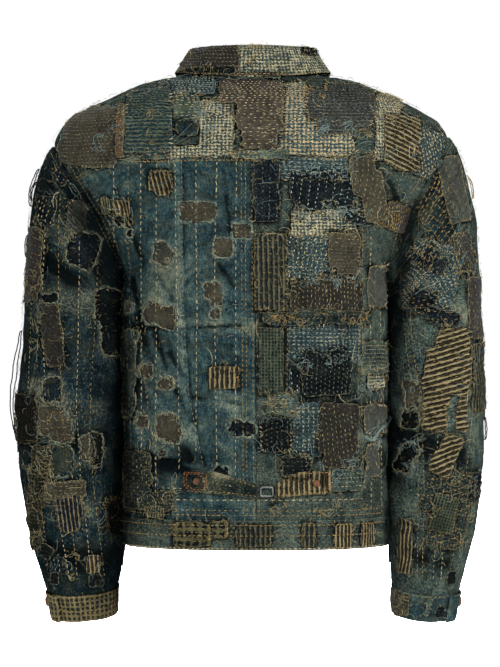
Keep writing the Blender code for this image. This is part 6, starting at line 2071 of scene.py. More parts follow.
def painted_gap_shade(x, z):
    """Painted shade where the sleeves hang against the body, from 0 to 1."""
    total = np.zeros_like(x)
    for side, line in GAP_SHADE_LINES.items():
        off = side * x - np.interp(z, line[:, 0], line[:, 1])
        width = np.where(off > 0, GAP_SHADE_ARM[side], GAP_SHADE_BODY[side])
        total = np.maximum(total, np.exp(-((off / width) ** 2)) * (side * x > 0))
    patchy = GAP_SHADE_MEAN + GAP_SHADE_VARIES * lumps_flat(x, z, GAP_SHADE_LUMPS, 16)
    return np.clip(total * patchy, 0, 1) * (1 - smooth_step(*GAP_SHADE_FADE, z))


# ---------------------------------------------------------------- laying them on
OUT_STEP = 4e-4
WHIP_LENGTH = 0.0040
WHIP_INSET = 0.0012
# How far inside an outline its fill stitches stay, and the share of them that hasn't come out
FILL_INSET = 0.0022
FILL_KEPT = 0.93
# A patch's edge: how far its curl, its wear and its fraying reach in
CURL_REACH = 0.0028
WEAR_REACH = 0.004
FRAYED_REACH = 0.0011
# The height of that curl, and how much higher lumps of this size make it
CURL = 0.0004
CURL_VARIES = 0.0011
CURL_LUMPS = 0.010
# A patch's pucker: the size of its lumps, their height, and what is added to its seed. Then its dents.
PUCKERS = ((0.006, 0.0004, 6), (0.014, 0.0007, 9))
DENT_LUMPS = 0.009
DENT = 0.0005
# A hole's rim, beside its cloth: the size and height of its tears, and how far its shade reaches in
TEAR_SIZE = 0.0030
TEAR_HEIGHT = 0.0012
HOLE_SHADE_REACH = 0.003


def turned_uv(cut, slant):
    """Flat coordinates of a cut piece, turned by its own slant."""
    flat = cut.chart.uv(cut.a, cut.b)
    angle = math.radians(slant)
    turn = np.array([[math.cos(angle), -math.sin(angle)], [math.sin(angle), math.cos(angle)]])
    return flat @ turn.T


def out_of(cut, distance, a, b):
    """Unit direction out of a piece at a, b, in chart units for each metre."""
    step_a, step_b = OUT_STEP / cut.chart.metres[0], OUT_STEP / cut.chart.metres[1]

    def outside(a, b):
        at = cut.chart.point(a, b)
        return distance(at[:, 0], at[:, 2])

    slope_a = (outside(a + step_a, b) - outside(a - step_a, b)) / (2 * OUT_STEP)
    slope_b = (outside(a, b + step_b) - outside(a, b - step_b)) / (2 * OUT_STEP)
    length = np.maximum(np.hypot(slope_a, slope_b), 1e-6)
    return slope_a / length / cut.chart.metres[0], slope_b / length / cut.chart.metres[1]


def sew(threads, kind, made):
    """Adds tubes to a build, each tube with a flat place of its own for its shade."""
    if made is None:
        return
    points, faces, each = made
    # Threads are darkened with the painted shade where the sleeves hang against the body
    dirt = painted_gap_shade(points[:, 0], points[:, 2])
    threads.add(points, faces, kind, np.stack([each * 0.0031, each * 0.0011], axis=1), dirt=dirt)


def fray_rim(threads, cut, distance, lift, kind, amount, random, inward=1.0):
    """Loose threads along and out of a piece's outline."""
    for loop in rim_loops(cut.rim):
        a, b = cut.a[loop], cut.b[loop]
        if len(a) < 8:
            continue
        path = along_path(cut.chart, a, b, RIM_STEP)
        thick_with = lumps_flat(path[0] * cut.chart.metres[0], path[1], 0.016, 12)
        keep = random.random(len(path[0])) < 0.35 + 0.90 * thick_with
        a, b, go_a, go_b = (column[keep] for column in path)
        if len(a):
            rim = strands(cut.chart, a, b, go_a, go_b, RIM_LENGTH, lift, random, RIM_RADIUS, 5, 0.5)
            sew(threads, kind, rim)
        path = along_path(cut.chart, cut.a[loop], cut.b[loop], FRAY_STEP / amount)
        a, b = path[0], path[1]
        thick_with = lumps_flat(a * cut.chart.metres[0], b, 0.013, 14)
        keep = random.random(len(a)) < 0.5 + 0.9 * thick_with
        a, b = a[keep], b[keep]
        if not len(a):
            continue
        kinds = random.choice([kind, kind, "thread_khaki", "thread_blue", "thread_cream"], len(a))
        out_a, out_b = out_of(cut, distance, a, b)
        for each in sorted(set(kinds)):
            pick = kinds == each
            loose = strands(cut.chart, a[pick], b[pick], inward * out_a[pick], inward * out_b[pick],
                            FRAY_LENGTH, lift, random, FRAY_RADIUS)
            sew(threads, each, loose)


def loose_ends(threads, cut, lift, amount, random):
    """A few long thin threads that wander off a piece's outline."""
    for loop in rim_loops(cut.rim, 24):
        a, b, go_a, go_b = along_path(cut.chart, cut.a[loop], cut.b[loop], LOOSE_STEP / amount)
        kinds = random.choice(["thread_blue", "thread_khaki", "thread_cream"], len(a), p=[0.5, 0.35, 0.15])
        for kind in sorted(set(kinds)):
            pick = (kinds == kind) & (random.random(len(a)) < 0.7)
            if pick.any():
                made = strands(cut.chart, a[pick], b[pick], go_a[pick], go_b[pick], LOOSE_LENGTH, lift,
                               random, LOOSE_RADIUS, 9, 1.5)
                sew(threads, kind, made)


def whip(threads, cut, distance, lift, kind, random):
    """Short stitches across a patch's outline."""
    for loop in rim_loops(cut.rim, 20):
        path = along_path(cut.chart, cut.a[loop], cut.b[loop], WHIP_STEP)
        keep = lumps_flat(path[0] * cut.chart.metres[0], path[1], 0.022, 18) > 0.10
        a, b = path[0][keep], path[1][keep]
        if not len(a):
            continue
        out_a, out_b = out_of(cut, distance, a, b)
        a, b = a - out_a * WHIP_INSET, b - out_b * WHIP_INSET
        made = stitches(cut.chart, a, b, out_a, out_b, WHIP_LENGTH, lift, random, STITCH_RADIUS, 0.5)
        sew(threads, kind, made)


def fill(threads, cut, distance, lift, fills, random):
    """Rows of running stitches inside a piece."""
    for name in fills:
        kind, direction, pitch, length, gap = FILLS[name]
        angle = math.radians(direction)
        metres = cut.chart.metres
        s, t = cut.a * metres[0], cut.b * metres[1]
        along = s * math.cos(angle) + t * math.sin(angle)
        aside = t * math.cos(angle) - s * math.sin(angle)
        rows = np.arange(aside.min() + 0.4 * pitch * MM, aside.max(), pitch * MM)
        steps = np.arange(along.min(), along.max(), (length + gap) * MM)
        row, step = np.meshgrid(rows, steps, indexing="ij")
        row = row + random.normal(0, 0.04 * pitch * MM, row.shape)
        row += 0.0016 * lumps_flat((steps[None] + rows[:, None] * 0.1).ravel(), rows.repeat(len(steps)),
                                   0.03, 9).reshape(row.shape)
        step = step + random.uniform(0, (length + gap) * MM, (len(rows), 1))
        step += random.normal(0, 0.1 * length * MM, step.shape)
        row, step = row.ravel(), step.ravel()
        a = (step * math.cos(angle) - row * math.sin(angle)) / metres[0]
        b = (step * math.sin(angle) + row * math.cos(angle)) / metres[1]
        at = cut.chart.point(a, b)
        keep = (distance(at[:, 0], at[:, 2]) < -FILL_INSET) & (random.random(len(a)) < FILL_KEPT)
        keep &= (a >= cut.a.min()) & (a <= cut.a.max()) & (b >= cut.b.min()) & (b <= cut.b.max())
        if not keep.any():
            continue
        go_a = np.full(keep.sum(), math.cos(angle) / metres[0])
        go_b = np.full(keep.sum(), math.sin(angle) / metres[1])
        made = stitches(cut.chart, a[keep], b[keep], go_a, go_b, length * MM, lift, random, STITCH_RADIUS)
        sew(threads, kind, made)


def patch_height(patch, cut, at, seed):
    """How high each point of a patch lies: its layer, its curled edge and its pucker."""
    lift = LAYER_LIFTS[patch.layer] + WAIST_FACE * (at[:, 2] < WAIST_Z)
    varied = CURL + CURL_VARIES * np.maximum(lumps(at, CURL_LUMPS, seed + 5), -0.3)
    curl = np.exp(-cut.deep / CURL_REACH) * varied
    pucker = sum(tall * lumps(at, size, seed + more) for size, tall, more in PUCKERS)
    pucker -= DENT * np.maximum(lumps(at, DENT_LUMPS, seed + 10) - 0.2, 0) ** 0.5
    return lift + curl + pucker


def lay_patch(patch, cloth, threads, random, seed, above, cell):
    """Cuts a patch, lays it on its layer, and stitches and frays it."""
    def distance(x, z):
        bulge = 0.0020 * lumps_flat(x, z, 0.024, seed + 2)
        return blob_distance(x, z, patch.blobs) + ragged(x, z, patch.rough * MM, seed) + bulge

    cut = Cut(patch.chart, distance, cell)
    if cut.empty:
        return
    at = cut.place(0.0)
    height = patch_height(patch, cut, at, seed)
    wear = 0.15 * np.exp(-cut.deep / WEAR_REACH) + 0.30 * lumps(at, 0.016, seed + 7)
    # Darker in lumps of dirt, and with painted shadow beside the patches that lie above this one
    dirt = 0.28 + 0.35 * lumps(at, 0.020, seed + 8) + 0.9 * shadow(at[:, 0], at[:, 2], above)
    # Painted shade where the sleeves hang against the body
    dirt += painted_gap_shade(at[:, 0], at[:, 2])
    cloth.add(cut.place(height), cut.faces, patch.cloth, turned_uv(cut, patch.slant),
              np.exp(-cut.deep / FRAYED_REACH), wear, np.clip(dirt, 0, 1))
    top = LAYER_LIFTS[patch.layer] + PATCH_WALL / 2
    fill(threads, cut, distance, top, patch.fills, random)
    fray_rim(threads, cut, distance, top, patch.rim, patch.fray, random)
    if patch.fray < PLAIN_FRAY:
        return
    loose_ends(threads, cut, top, patch.fray, random)
    whip_kind = "thread_cream" if patch.rim == "thread_blue" else patch.rim
    whip(threads, cut, distance, top, whip_kind, random)


def lay_hole(hole, base_cloth, cloth, own, threads, random, seed):
    """An older cloth that shows in a worn hole, and the hole's raised ragged rim."""
    def distance(x, z):
        return blob_distance(x, z, hole.blobs) + ragged(x, z, hole.rough * MM, seed)

    def under_distance(x, z):
        return distance(x, z) - HOLE_RIM * 0.5

    def rim_distance(x, z):
        inside = distance(x, z)
        width = HOLE_RIM * (1 + 0.5 * lumps_flat(x, z, 0.008, seed + 3))
        tears = TEAR_HEIGHT * lumps_flat(x, z, TEAR_SIZE, seed + 4)
        return np.maximum(-(inside + tears), inside - width)

    under = Cut(hole.chart, under_distance, ARM_CELL)
    if under.empty:
        return
    at = under.place(0.0)
    # The older cloth is painted darker near the hole's edge as shade under the rim, and with the painted
    # shade where the sleeves hang against the body
    dirt = 0.75 * np.exp(-under.deep / HOLE_SHADE_REACH) + 0.2 + painted_gap_shade(at[:, 0], at[:, 2])
    own.add(under.place(LAYER_LIFTS[0]), under.faces, hole.cloth, turned_uv(under, hole.slant),
            None, 0.3 * lumps(at, 0.014, seed + 7), np.clip(dirt, 0, 1))
    rim = Cut(hole.chart, rim_distance, PATCH_CELL * 0.85)
    if not rim.empty:
        at = rim.place(0.0)
        inward = np.clip(distance(at[:, 0], at[:, 2]) / HOLE_RIM, 0, 1)
        height = 0.0006 + HOLE_RIM_LIFT * np.exp(-inward * 2.4) + 0.0003 * lumps(at, 0.006, seed + 5)
        edge = np.exp(-inward * 3.0)
        rim_uv = turned_uv(rim, 0)
        wear = BASE_WEAR + 0.70 * np.exp(-inward * HOLE_RIM / HALO) + 0.3 * edge
        # Painted shade on the rim where the sleeves hang against the body
        rim_gap_shade = np.clip(painted_gap_shade(at[:, 0], at[:, 2]) * 0.8, 0, 1)
        cloth.add(rim.place(height), rim.faces, base_cloth, rim_uv, edge * 0.8, wear, rim_gap_shade)
        top = LAYER_LIFTS[0] + HOLE_RIM_LIFT * 0.7
        fray_rim(threads, rim, distance, top, hole.rim, hole.fray * 0.6, random, -1.0)
    fill(threads, under, distance, LAYER_LIFTS[0] + PATCH_WALL / 2, hole.fills, random)


def sew_rows(threads, rows, random):
    for row in rows:
        chart = CHARTS[row.chart]
        corners = np.array(row.corners, float) * MM
        lengths = np.concatenate([[0], np.cumsum(np.hypot(*np.diff(corners, axis=0).T))])
        count = max(4, round(lengths[-1] / ROW_STEP))
        along = np.linspace(0, lengths[-1], count)
        x, z = (np.interp(along, lengths, column) for column in corners.T)
        a, b = chart.find(x + 0.0006 * lumps_flat(x, z, 0.03, 15), z)
        path = along_path(chart, a, b, row.step * MM)
        lift = BASE_WALL / 2 if row.layer == 0 else LAYER_LIFTS[row.layer] + PATCH_WALL / 2
        made = stitches(chart, *path, row.length * MM, lift, random, ROW_RADIUS)
        sew(threads, row.thread, made)


def sew_path(threads, chart_name, kind, ends, length, step, random):
    """Running stitches straight from one a, b to another on a chart."""
    chart = CHARTS[chart_name]
    a = np.linspace(ends[0], ends[2], PATH_POINTS)
    b = np.linspace(ends[1], ends[3], PATH_POINTS)
    path = along_path(chart, a, b, step * MM)
    sew(threads, kind, stitches(chart, *path, length * MM, BASE_WALL / 2, random, ROW_RADIUS))


def fuzz(threads, chart_name, count, random):
    """Short loose hairs scattered over a whole form."""
    chart = CHARTS[chart_name]
    a = random.uniform(*chart.a_span, count)
    b = random.uniform(*chart.b_span, count)
    angle = random.uniform(0, 2 * math.pi, count)
    out_a, out_b = np.cos(angle) / chart.metres[0], np.sin(angle) / chart.metres[1]
    kinds = random.choice(list(FUZZ_KINDS), count, p=list(FUZZ_KINDS.values()))
    for kind in sorted(set(kinds)):
        pick = kinds == kind
        made = strands(chart, a[pick], b[pick], out_a[pick], out_b[pick], FUZZ_LENGTH, BASE_WALL, random,
                       FRAY_RADIUS, 5, 1.2, 2.0)
        sew(threads, kind, made)


def lay_threads(threads, chart, kind, x, z, lift, radius):
    """One long thread along points given by x and z."""
    a, b = chart.find(x, z)
    path = chart.point(a, b, lift)
    sew(threads, kind, tubes(path[None], radius))


def tangle(threads, row, random):
    """Loops of loose thread over a small place, each a thread that wanders round its own middle."""
    chart_name, kind, x_left, x_right, z_top, z_bottom, count, size, layer = row
    part = np.linspace(0, 2 * math.pi, TANGLE_POINTS)
    for _ in range(count):
        phase = random.uniform(0, 2 * math.pi, 6)
        pace = random.uniform(0.7, 2.4, 4)
        reach = size * random.uniform(0.5, 1.4, 2)
        x = random.uniform(x_right, x_left) + reach[0] * np.sin(pace[0] * part + phase[0])
        x += 0.45 * reach[0] * np.sin(2.3 * pace[1] * part + phase[1])
        z = random.uniform(z_bottom, z_top) + reach[1] * np.sin(pace[2] * part + phase[2])
        z += 0.45 * reach[1] * np.sin(2.3 * pace[3] * part + phase[3])
        lift = LAYER_LIFTS[layer] + 0.0009 + 0.0008 * np.sin(2 * part + phase[4])
        lay_threads(threads, CHARTS[chart_name], kind, x * MM, z * MM, lift, TANGLE_RADIUS)


def cord(threads, row):
    """A narrow hanging loop of thick thread that stands off a form's side."""
    chart_name, kind, turn, z_top, z_bottom, stand = row
    chart = CHARTS[chart_name]
    levels = np.linspace(*chart.b_span, 200)
    heights = chart.point(np.full(200, turn), levels)[:, 2]
    part = np.linspace(0, 1, CORD_POINTS)
    z = (z_top + (z_bottom - z_top) * part) * MM
    level = np.interp(z, heights[::-1], levels[::-1])
    bow = np.sin(math.pi * part) ** 0.4
    shake = 0.0006 * lumps_flat(z, part, 0.011, 19)
    outer = chart.point(np.full(CORD_POINTS, turn), level, 0.001 + stand * MM * bow + shake)
    inner = chart.point(np.full(CORD_POINTS, turn - 0.06), level, 0.001 + 0.45 * stand * MM * bow - shake)
    loop = np.concatenate([outer, inner[-2::-1]])
    sew(threads, kind, tubes(loop[None], CORD_RADIUS))


def rope(threads, random):
    """A bundle of pale threads that hangs from the body over to the right sleeve."""
    corners = np.array(ROPE, float) * MM
    along = np.linspace(0, len(corners) - 1, 40)
    x, z = (np.interp(along, np.arange(len(corners)), column) for column in corners.T)
    for number in range(ROPE_THREADS):
        phase = random.uniform(0, 2 * math.pi, 3)
        off_x = ROPE_SPREAD * np.sin(along * 2.1 + phase[0])
        off_z = ROPE_SPREAD * np.sin(along * 2.6 + phase[1])
        lift = ROPE_STAND + 0.0015 * np.sin(along * 2.4 + phase[2])
        kind = "thread_khaki" if number % 4 == 3 else "thread_blue"
        lay_threads(threads, CHARTS["back"], kind, x + off_x, z + off_z, lift, 1.4 * TANGLE_RADIUS)


# ---------------------------------------------------------------- wear of the base cloth
# Faded (+) and darkened (-) places on the back: x, z, half_width, half_height, amount. Millimetres.
FADES = [
    (112, -262, 34, 34, 0.35),
    (60, -310, 70, 9, 0.45),
    (20, -318, 42, 8, 0.40),
    (134, -352, 22, 30, 0.30),
    (150, -250, 16, 40, -0.35),
    (100, -480, 50, 9, -0.50),
    (92, -452, 34, 12, 0.25),
    (40, -408, 30, 8, 0.40),
    (44, -392, 26, 6, -0.30),
    (30, -190, 40, 22, -0.30),
    (62, -225, 20, 26, 0.25),
    (24, -350, 22, 30, -0.20),
    (30, -510, 30, 16, 0.30),
    (118, -500, 30, 16, -0.35),
    (-30, -300, 30, 8, -0.45),
    (-140, -212, 18, 26, -0.30),
    (-150, -330, 14, 40, 0.30),
    (-60, -500, 46, 14, 0.25),
    (-120, -520, 36, 16, -0.30),
    (-90, -405, 60, 7, -0.45),
    (0, -580, 190, 16, 0.20),
    (0, -104, 200, 7, 0.45),
]
WAIST_FACE = 0.0003
SHADOW_REACH = 2.8 * MM
# The height of a fold that is fully worn on its ridge and fully dark with painted shade in its hollow
FULL_FOLD = 0.004
SEAM_WEAR_REACH = 0.003
SEAM_FRAY_REACH = 0.0010


def fades(x, z):
    total = np.zeros_like(x)
    for x_middle, z_middle, half_x, half_z, amount in FADES:
        off = ((x / MM - x_middle) / half_x) ** 2 + ((z / MM - z_middle) / half_z) ** 2
        total += amount * np.exp(-off)
    return total


def halo(x, z, rows):
    """Wear round holes: 1 at their edges, falling off over a few millimetres."""
    total = np.zeros_like(x)
    for row in rows:
        total = np.maximum(total, np.exp(-np.maximum(blob_distance(x, z, row.blobs), 0) / HALO))
    return total


def shadow(x, z, rows):
    """Painted shadow on the base cloth beside the patches on it."""
    total = np.zeros_like(x)
    for row in rows:
        total = np.maximum(total, np.exp(-np.abs(blob_distance(x, z, row.blobs)) / SHADOW_REACH))
    return total


def panel(name, surface, cell, kind, slot, wall=BASE_WALL, arm=0, holes=(), patches=()):
    """A base cloth over the whole of a CAD cloth, with wear at its seams, creases and holes, and painted
    shade in its fold hollows, beside its patches and where the sleeves hang against it.
    """
    across, up = surface.size
    columns, rows = max(4, round(across / cell)) + 1, max(4, round(up / cell)) + 1
    u, v = [part.ravel() for part in np.meshgrid(
        np.linspace(0, 1, columns), np.linspace(0, 1, rows), indexing="ij")]
    points = surface(u, v)
    x, y, z = points.T
    rim = np.minimum(np.minimum(u, 1 - u) * across, np.minimum(v, 1 - v) * up)
    if arm:
        fold = relief(SLEEVE_FOLDS, np.abs(x), z) + relief(ARM_CREASES[arm], np.abs(x), z)
    else:
        fold = np.where(y > 0, relief(BACK_FOLDS, x, z), relief(FRONT_FOLDS, x, z))
    patchy = lumps(points, 0.030, 5) * 0.5 + lumps(points, 0.011, 6) * 0.35
    ridge = np.clip(fold / FULL_FOLD, -1, 1)
    faded = fades(np.where(y > 0, x, -x), z)
    wear = BASE_WEAR + 0.40 * np.exp(-rim / SEAM_WEAR_REACH) + 0.40 * ridge + 0.30 * patchy
    wear += faded + 0.75 * halo(x, z, holes) * (y > 0)
    # Painted shade: darker in the hollows of the folds and lighter on their ridges
    fold_shade = np.where(ridge < 0, 1.2, 0.6) * ridge
    dirt = 0.25 - fold_shade + 0.30 * lumps(points, 0.022, 7) - 0.4 * faded
    # Painted shadow beside the patches, and painted shade where the sleeves hang against the body
    dirt += 1.1 * shadow(x, z, patches) * (y > 0) + painted_gap_shade(x, z)
    build = Build()
    faces = grid_faces(columns, rows)
    middle = arm_centre(arm) if arm else torso_centre
    build.add(points, outward_faces(points, faces, middle), kind,
              np.stack([u * across, v * up], axis=1), np.exp(-rim / SEAM_FRAY_REACH) * 0.5, wear,
              np.clip(dirt, 0, 1))
    obj = build.emit(name + "_cloth", slot, wall)
    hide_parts(name)
    return obj


# ---------------------------------------------------------------- the cloths
def sized(surface, across, up):
    """A surface with its flat size."""
    surface.size = (across, up)
    return surface


TOP_SLEEVE_WIDTH = 0.200
UNDER_SLEEVE_WIDTH = 0.165
CAP_FLAT_SHARE = 0.6


def arm_size(side, top_piece):
    """One piece of a sleeve with its flat size."""
    place = on_sleeve(side, top_piece)
    across = TOP_SLEEVE_WIDTH if top_piece else UNDER_SLEEVE_WIDTH
    return sized(place, across, CAP_LENGTH * CAP_FLAT_SHARE + SLEEVE_TOP_Z - CUFF_SEAM_Z)


WAIST = level_at(WAIST_Z)
LEFT_SIDE = run((0.0, 0.0), (0.0, WAIST))
RIGHT_SIDE = run((math.pi, 0.0), (math.pi, WAIST))
# Each base cloth: the CAD piece it replaces, its surface, the size of its grid's cells, its look, its
# slot, its thickness, and the arm it is on (1 left, -1 right, 0 neither)
BASES = [
    ("back_left", on_torso(back_panel(1), tucked=True), 0.0030, "denim", "denim", BASE_WALL, 0),
    ("back_right", on_torso(back_panel(-1), tucked=True), 0.0034, "felted", "denim", BASE_WALL, 0),
    ("yoke", on_torso(yoke_panel()), 0.0037, "felted", "denim", BASE_WALL, 0),
    ("front_left", on_torso(front_panel(1, PLACKET_HALF), tucked=True), 0.0054,
     "denim", "denim", BASE_WALL, 0),
    ("front_right", on_torso(front_panel(-1, FRONT_LAP), LAP_DEPTH, tucked=True), 0.0054,
     "denim", "denim", BASE_WALL, 0),
    ("placket", on_torso(front_strip(PLACKET_HALF, -PLACKET_HALF, WAIST, NECK_LEVEL)), 0.0032,
     "denim_worn", "denim", BASE_WALL, 0),
    ("waistband_back", on_torso(waistband(LEFT_SIDE, RIGHT_SIDE)), 0.0026, "felted", "denim", BAND_WALL, 0),
    ("waistband_left", on_torso(waistband(LEFT_SIDE, front_line(1, -PLACKET_HALF, 0.0, WAIST))), 0.0034,
     "mended", "denim", BAND_WALL, 0),
    ("waistband_right",
     on_torso(waistband(RIGHT_SIDE, front_line(-1, FRONT_LAP, 0.0, WAIST)), BAND_LAP_DEPTH), 0.0034,
     "mended", "denim", BAND_WALL, 0),
    ("collar", sized(on_collar, 0.52, 0.098), 0.0035, "boucle", "boucle", BAND_WALL, 0),
    ("sleeve_top_left", arm_size(1, True), 0.0039, "mended_dark", "denim", BASE_WALL, 1),
    ("sleeve_under_left", arm_size(1, False), 0.0044, "mended_dark", "denim", BASE_WALL, 1),
    ("sleeve_top_right", arm_size(-1, True), 0.0039, "mended", "denim", BASE_WALL, -1),
    ("sleeve_under_right", arm_size(-1, False), 0.0044, "mended", "denim", BASE_WALL, -1),
    ("cuff_left", sized(on_cuff(1), 0.300, 0.036), 0.0026, "plaid", "denim", BAND_WALL, 1),
    ("cuff_right", sized(on_cuff(-1), 0.290, 0.036), 0.0026, "denim", "denim", BAND_WALL, -1),
    ("strap_left", sized(on_strap(STRAP_LEFT), 0.094, 0.028), 0.0022, "strap_denim", "denim", STRAP_WALL, 0),
    ("strap_right", sized(on_strap(STRAP_RIGHT), 0.068, 0.029), 0.0022, "stripe_brown", "stripe_cotton",
     STRAP_WALL, 0),
]
FLAT_COUNT = 60
FLAT_STEPS = [part.ravel() for part in np.meshgrid(
    np.linspace(0, 1, FLAT_COUNT), np.linspace(0, 1, FLAT_COUNT), indexing="ij")]
# The cloths that each base cloth hangs from, where that isn't the yoke
NEIGHBOURS = {
    "yoke": ["back_left_cloth", "back_right_cloth"],
    "placket": ["front_left_cloth"],
    "waistband_back": ["back_left_cloth", "back_right_cloth"],
    "waistband_left": ["front_left_cloth"],
    "waistband_right": ["front_right_cloth"],
    "sleeve_under_left": ["sleeve_top_left_cloth"],
    "sleeve_under_right": ["sleeve_top_right_cloth"],
    "cuff_left": ["sleeve_top_left_cloth"],
    "cuff_right": ["sleeve_top_right_cloth"],
    "strap_left": ["back_left_cloth"],
    "strap_right": ["back_right_cloth"],
}
# What the view from the back doesn't show: chart, columns, rows, and share of the places that are patched
SCATTERED = [
    ("front", 8, 8, 0.48),
    ("arm_front_left", 3, 10, 0.46),
    ("arm_front_right", 3, 10, 0.46),
]
SCATTERED_CLOTHS = [
    ("brown", "rows_khaki"), ("navy", "columns"), ("kasuri", "rows_white"), ("stripe", "sparse"),
    ("stripe_brown", "sparse_gold"), ("grey", "rows"), ("denim_dark", "rows_gold"), ("boucle", "rows"),
    ("brown_dark", "columns_khaki"), ("charcoal", "rows_blue"), ("denim_worn", "rows"),
    ("green_plaid", "columns_gold"), ("black", "columns"), ("teal_lined", "rows"), ("pinstripe", "sparse"),
]
# Their size, lean and roughness in mm and degrees, their roundness, their rims and their fray
SCATTERED_ACROSS = (24, 52)
SCATTERED_UP = (26, 66)
SCATTERED_LEAN = (-8, 8)
SCATTERED_ROUND = (0.15, 0.5)
SCATTERED_ROUGH = (1.4, 2.4)
SCATTERED_RIMS = ("thread_khaki", "thread_cream", "thread_blue")
SCATTERED_FRAY = 0.4
# Where in its cell a patch's middle may lie
SCATTERED_CELL = (0.25, 0.75)
# In mm: how far they stay from the front's middle, and from the neck and the cuffs
FRONT_CLEAR = 26
FRONT_TOP = -66
CUFF_TOP = -646
# Columns of stitches on the front, by x in mm, and on the fronts of the arms, by turn
FRONT_ROWS = (-152, -124, -96, -66, -40, 40, 66, 96, 124, 152)
FRONT_ROW_SPAN = (-130, -548)
ARM_FRONT_TURNS = (2.1, 2.6, 3.1, 3.6, 4.1)
ARM_FRONT_TOP = 0.05
# Where the counting of seeds starts: for the hidden patches, the patches, the holes and the rows,
# then for the noise of the holes, and by how much the noise's seed steps from one piece to the next
HIDDEN_SEED = 4000
PATCH_SEED = 1000
HOLE_SEED = 5000
ROW_SEED = 7000
HOLE_NOISE = 9000
NOISE_STEP = 20


def scattered(chart_name, columns, rows, share, random):
    """Patches like the back's, scattered over a form."""
    chart = CHARTS[chart_name]
    found = []
    for column in range(columns):
        for row in range(rows):
            a = chart.a_span[0] + np.ptp(chart.a_span) * (column + random.uniform(*SCATTERED_CELL)) / columns
            b = chart.b_span[0] + np.ptp(chart.b_span) * (row + random.uniform(*SCATTERED_CELL)) / rows
            x, _, z = chart.point(np.array([a]), np.array([b]))[0] / MM
            cloth, fill_name = SCATTERED_CLOTHS[random.integers(len(SCATTERED_CLOTHS))]
            across, up = random.uniform(*SCATTERED_ACROSS), random.uniform(*SCATTERED_UP)
            lean, roundness = random.uniform(*SCATTERED_LEAN), random.uniform(*SCATTERED_ROUND)
            layer, rough = int(random.integers(1, 3)), random.uniform(*SCATTERED_ROUGH)
            rim = SCATTERED_RIMS[random.integers(len(SCATTERED_RIMS))]
            blocked = chart_name == "front" and (abs(x) - across / 2 < FRONT_CLEAR or z + up / 2 > FRONT_TOP)
            if random.random() > share or blocked or z - up / 2 < CUFF_TOP:
                continue
            blob = (x + across / 2, x - across / 2, z + up / 2, z - up / 2, lean, roundness)
            found.append(Patch(chart_name, cloth, layer, lean, rough, rim, SCATTERED_FRAY,
                               (fill_name,), [blob]))
    return found


def longest(points):
    """The longest run along the first direction of a grid of points."""
    return np.linalg.norm(np.diff(points, axis=0), axis=2).sum(axis=0).max()


def mesh_area(points, faces):
    corner = points[faces]
    doubled = np.cross(corner[:, 1] - corner[:, 0], corner[:, 2] - corner[:, 0])
    return np.linalg.norm(doubled, axis=1).sum() / 2


def declare_cut(piece, width, length, area, rests_on, with_pieces=()):
    """Rounds a cloth's flat size to the millimetre; nothing is declared."""
    width, length = round(width, 3), round(max(length, area / width), 3) + MM
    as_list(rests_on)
    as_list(with_pieces)


# The look of the base cloth that each chart's holes are worn through
CHART_CLOTHS = {"back": "denim", "front": "denim", "arm_left": "mended_dark", "arm_right": "mended",
                "arm_front_left": "mended_dark", "arm_front_right": "mended",
                "collar": "boucle", "cuff_left": "plaid", "cuff_right": "denim"}
# The base cloth that holds a chart's small patches and its threads
CARRIERS = {"back": "back_left", "front": "front_left", "arm_left": "sleeve_under_left",
            "arm_right": "sleeve_under_right", "arm_front_left": "sleeve_top_left",
            "arm_front_right": "sleeve_top_right", "collar": "collar", "cuff_left": "cuff_left",
            "cuff_right": "cuff_right"}
# The slot of a patch that stands for a CAD piece, by its cloth
NODE_SLOTS = {"teal_lined": "denim", "kasuri": "boucle", "boucle": "boucle",
              "brown": "brown_wool", "brown_dark": "brown_wool", "brown_warm": "brown_wool",
              "charcoal": "charcoal_wool",
              "navy": "navy_cotton", "black": "navy_cotton", "stripe": "stripe_cotton",
              "stripe_brown": "stripe_cotton", "green_plaid": "green_plaid"}
# How many loose hairs lie on each form
FUZZ = [("back", 900), ("front", 300), ("arm_left", 500), ("arm_right", 500), ("arm_front_left", 240),
        ("arm_front_right", 300), ("collar", 160)]


def carrier_of(chart_name, x, z):
    """The base cloth under a patch of the back, or its chart's own."""
    if chart_name != "back":
        return CARRIERS[chart_name]
    if z > YOKE_Z:
        return "yoke"
    return "back_left" if x > 0 else "back_right"


def build_bases():
    made = {}
    for row in BASES:
        name, surface, cell, kind, slot, wall, arm = row
        chart = {0: "back", 1: "arm_left", -1: "arm_right"}[arm]
        holes = [hole for hole in HOLES if hole.chart == chart]
        patches = [patch for patch in PATCHES if patch.chart == chart]
        made[name] = panel(name, surface, cell, kind, slot, wall, arm, holes, patches)
    return made


def lay_patches(cloths, threads):
    """The patches of the tables, then those scattered over what the view from the back doesn't show."""
    random = np.random.default_rng(HIDDEN_SEED)
    hidden = [patch for row in SCATTERED for patch in scattered(*row, random)]
    for number, patch in enumerate(PATCHES + hidden):
        random = np.random.default_rng(PATCH_SEED + number)
        own = Build() if patch.node else cloths[patch.chart]
        above = [other for other in PATCHES if other.chart == patch.chart and other.layer > patch.layer]
        shown = ARM_CELL if patch.chart.startswith("arm") else PATCH_CELL
        cell = shown if number < len(PATCHES) else HIDDEN_CELL
        lay_patch(patch, own, threads[patch.chart], random, NOISE_STEP * number, above, cell)
        if patch.node:
            emit_patch(own, patch)


def lay_holes(cloths, threads):
    for number, hole in enumerate(HOLES):
        random = np.random.default_rng(HOLE_SEED + number)
        own = Build() if hole.node else cloths[hole.chart]
        base = CHART_CLOTHS[hole.chart]
        seed = HOLE_NOISE + NOISE_STEP * number
        lay_hole(hole, base, cloths[hole.chart], own, threads[hole.chart], random, seed)
        if hole.node:
            emit_patch(own, hole)


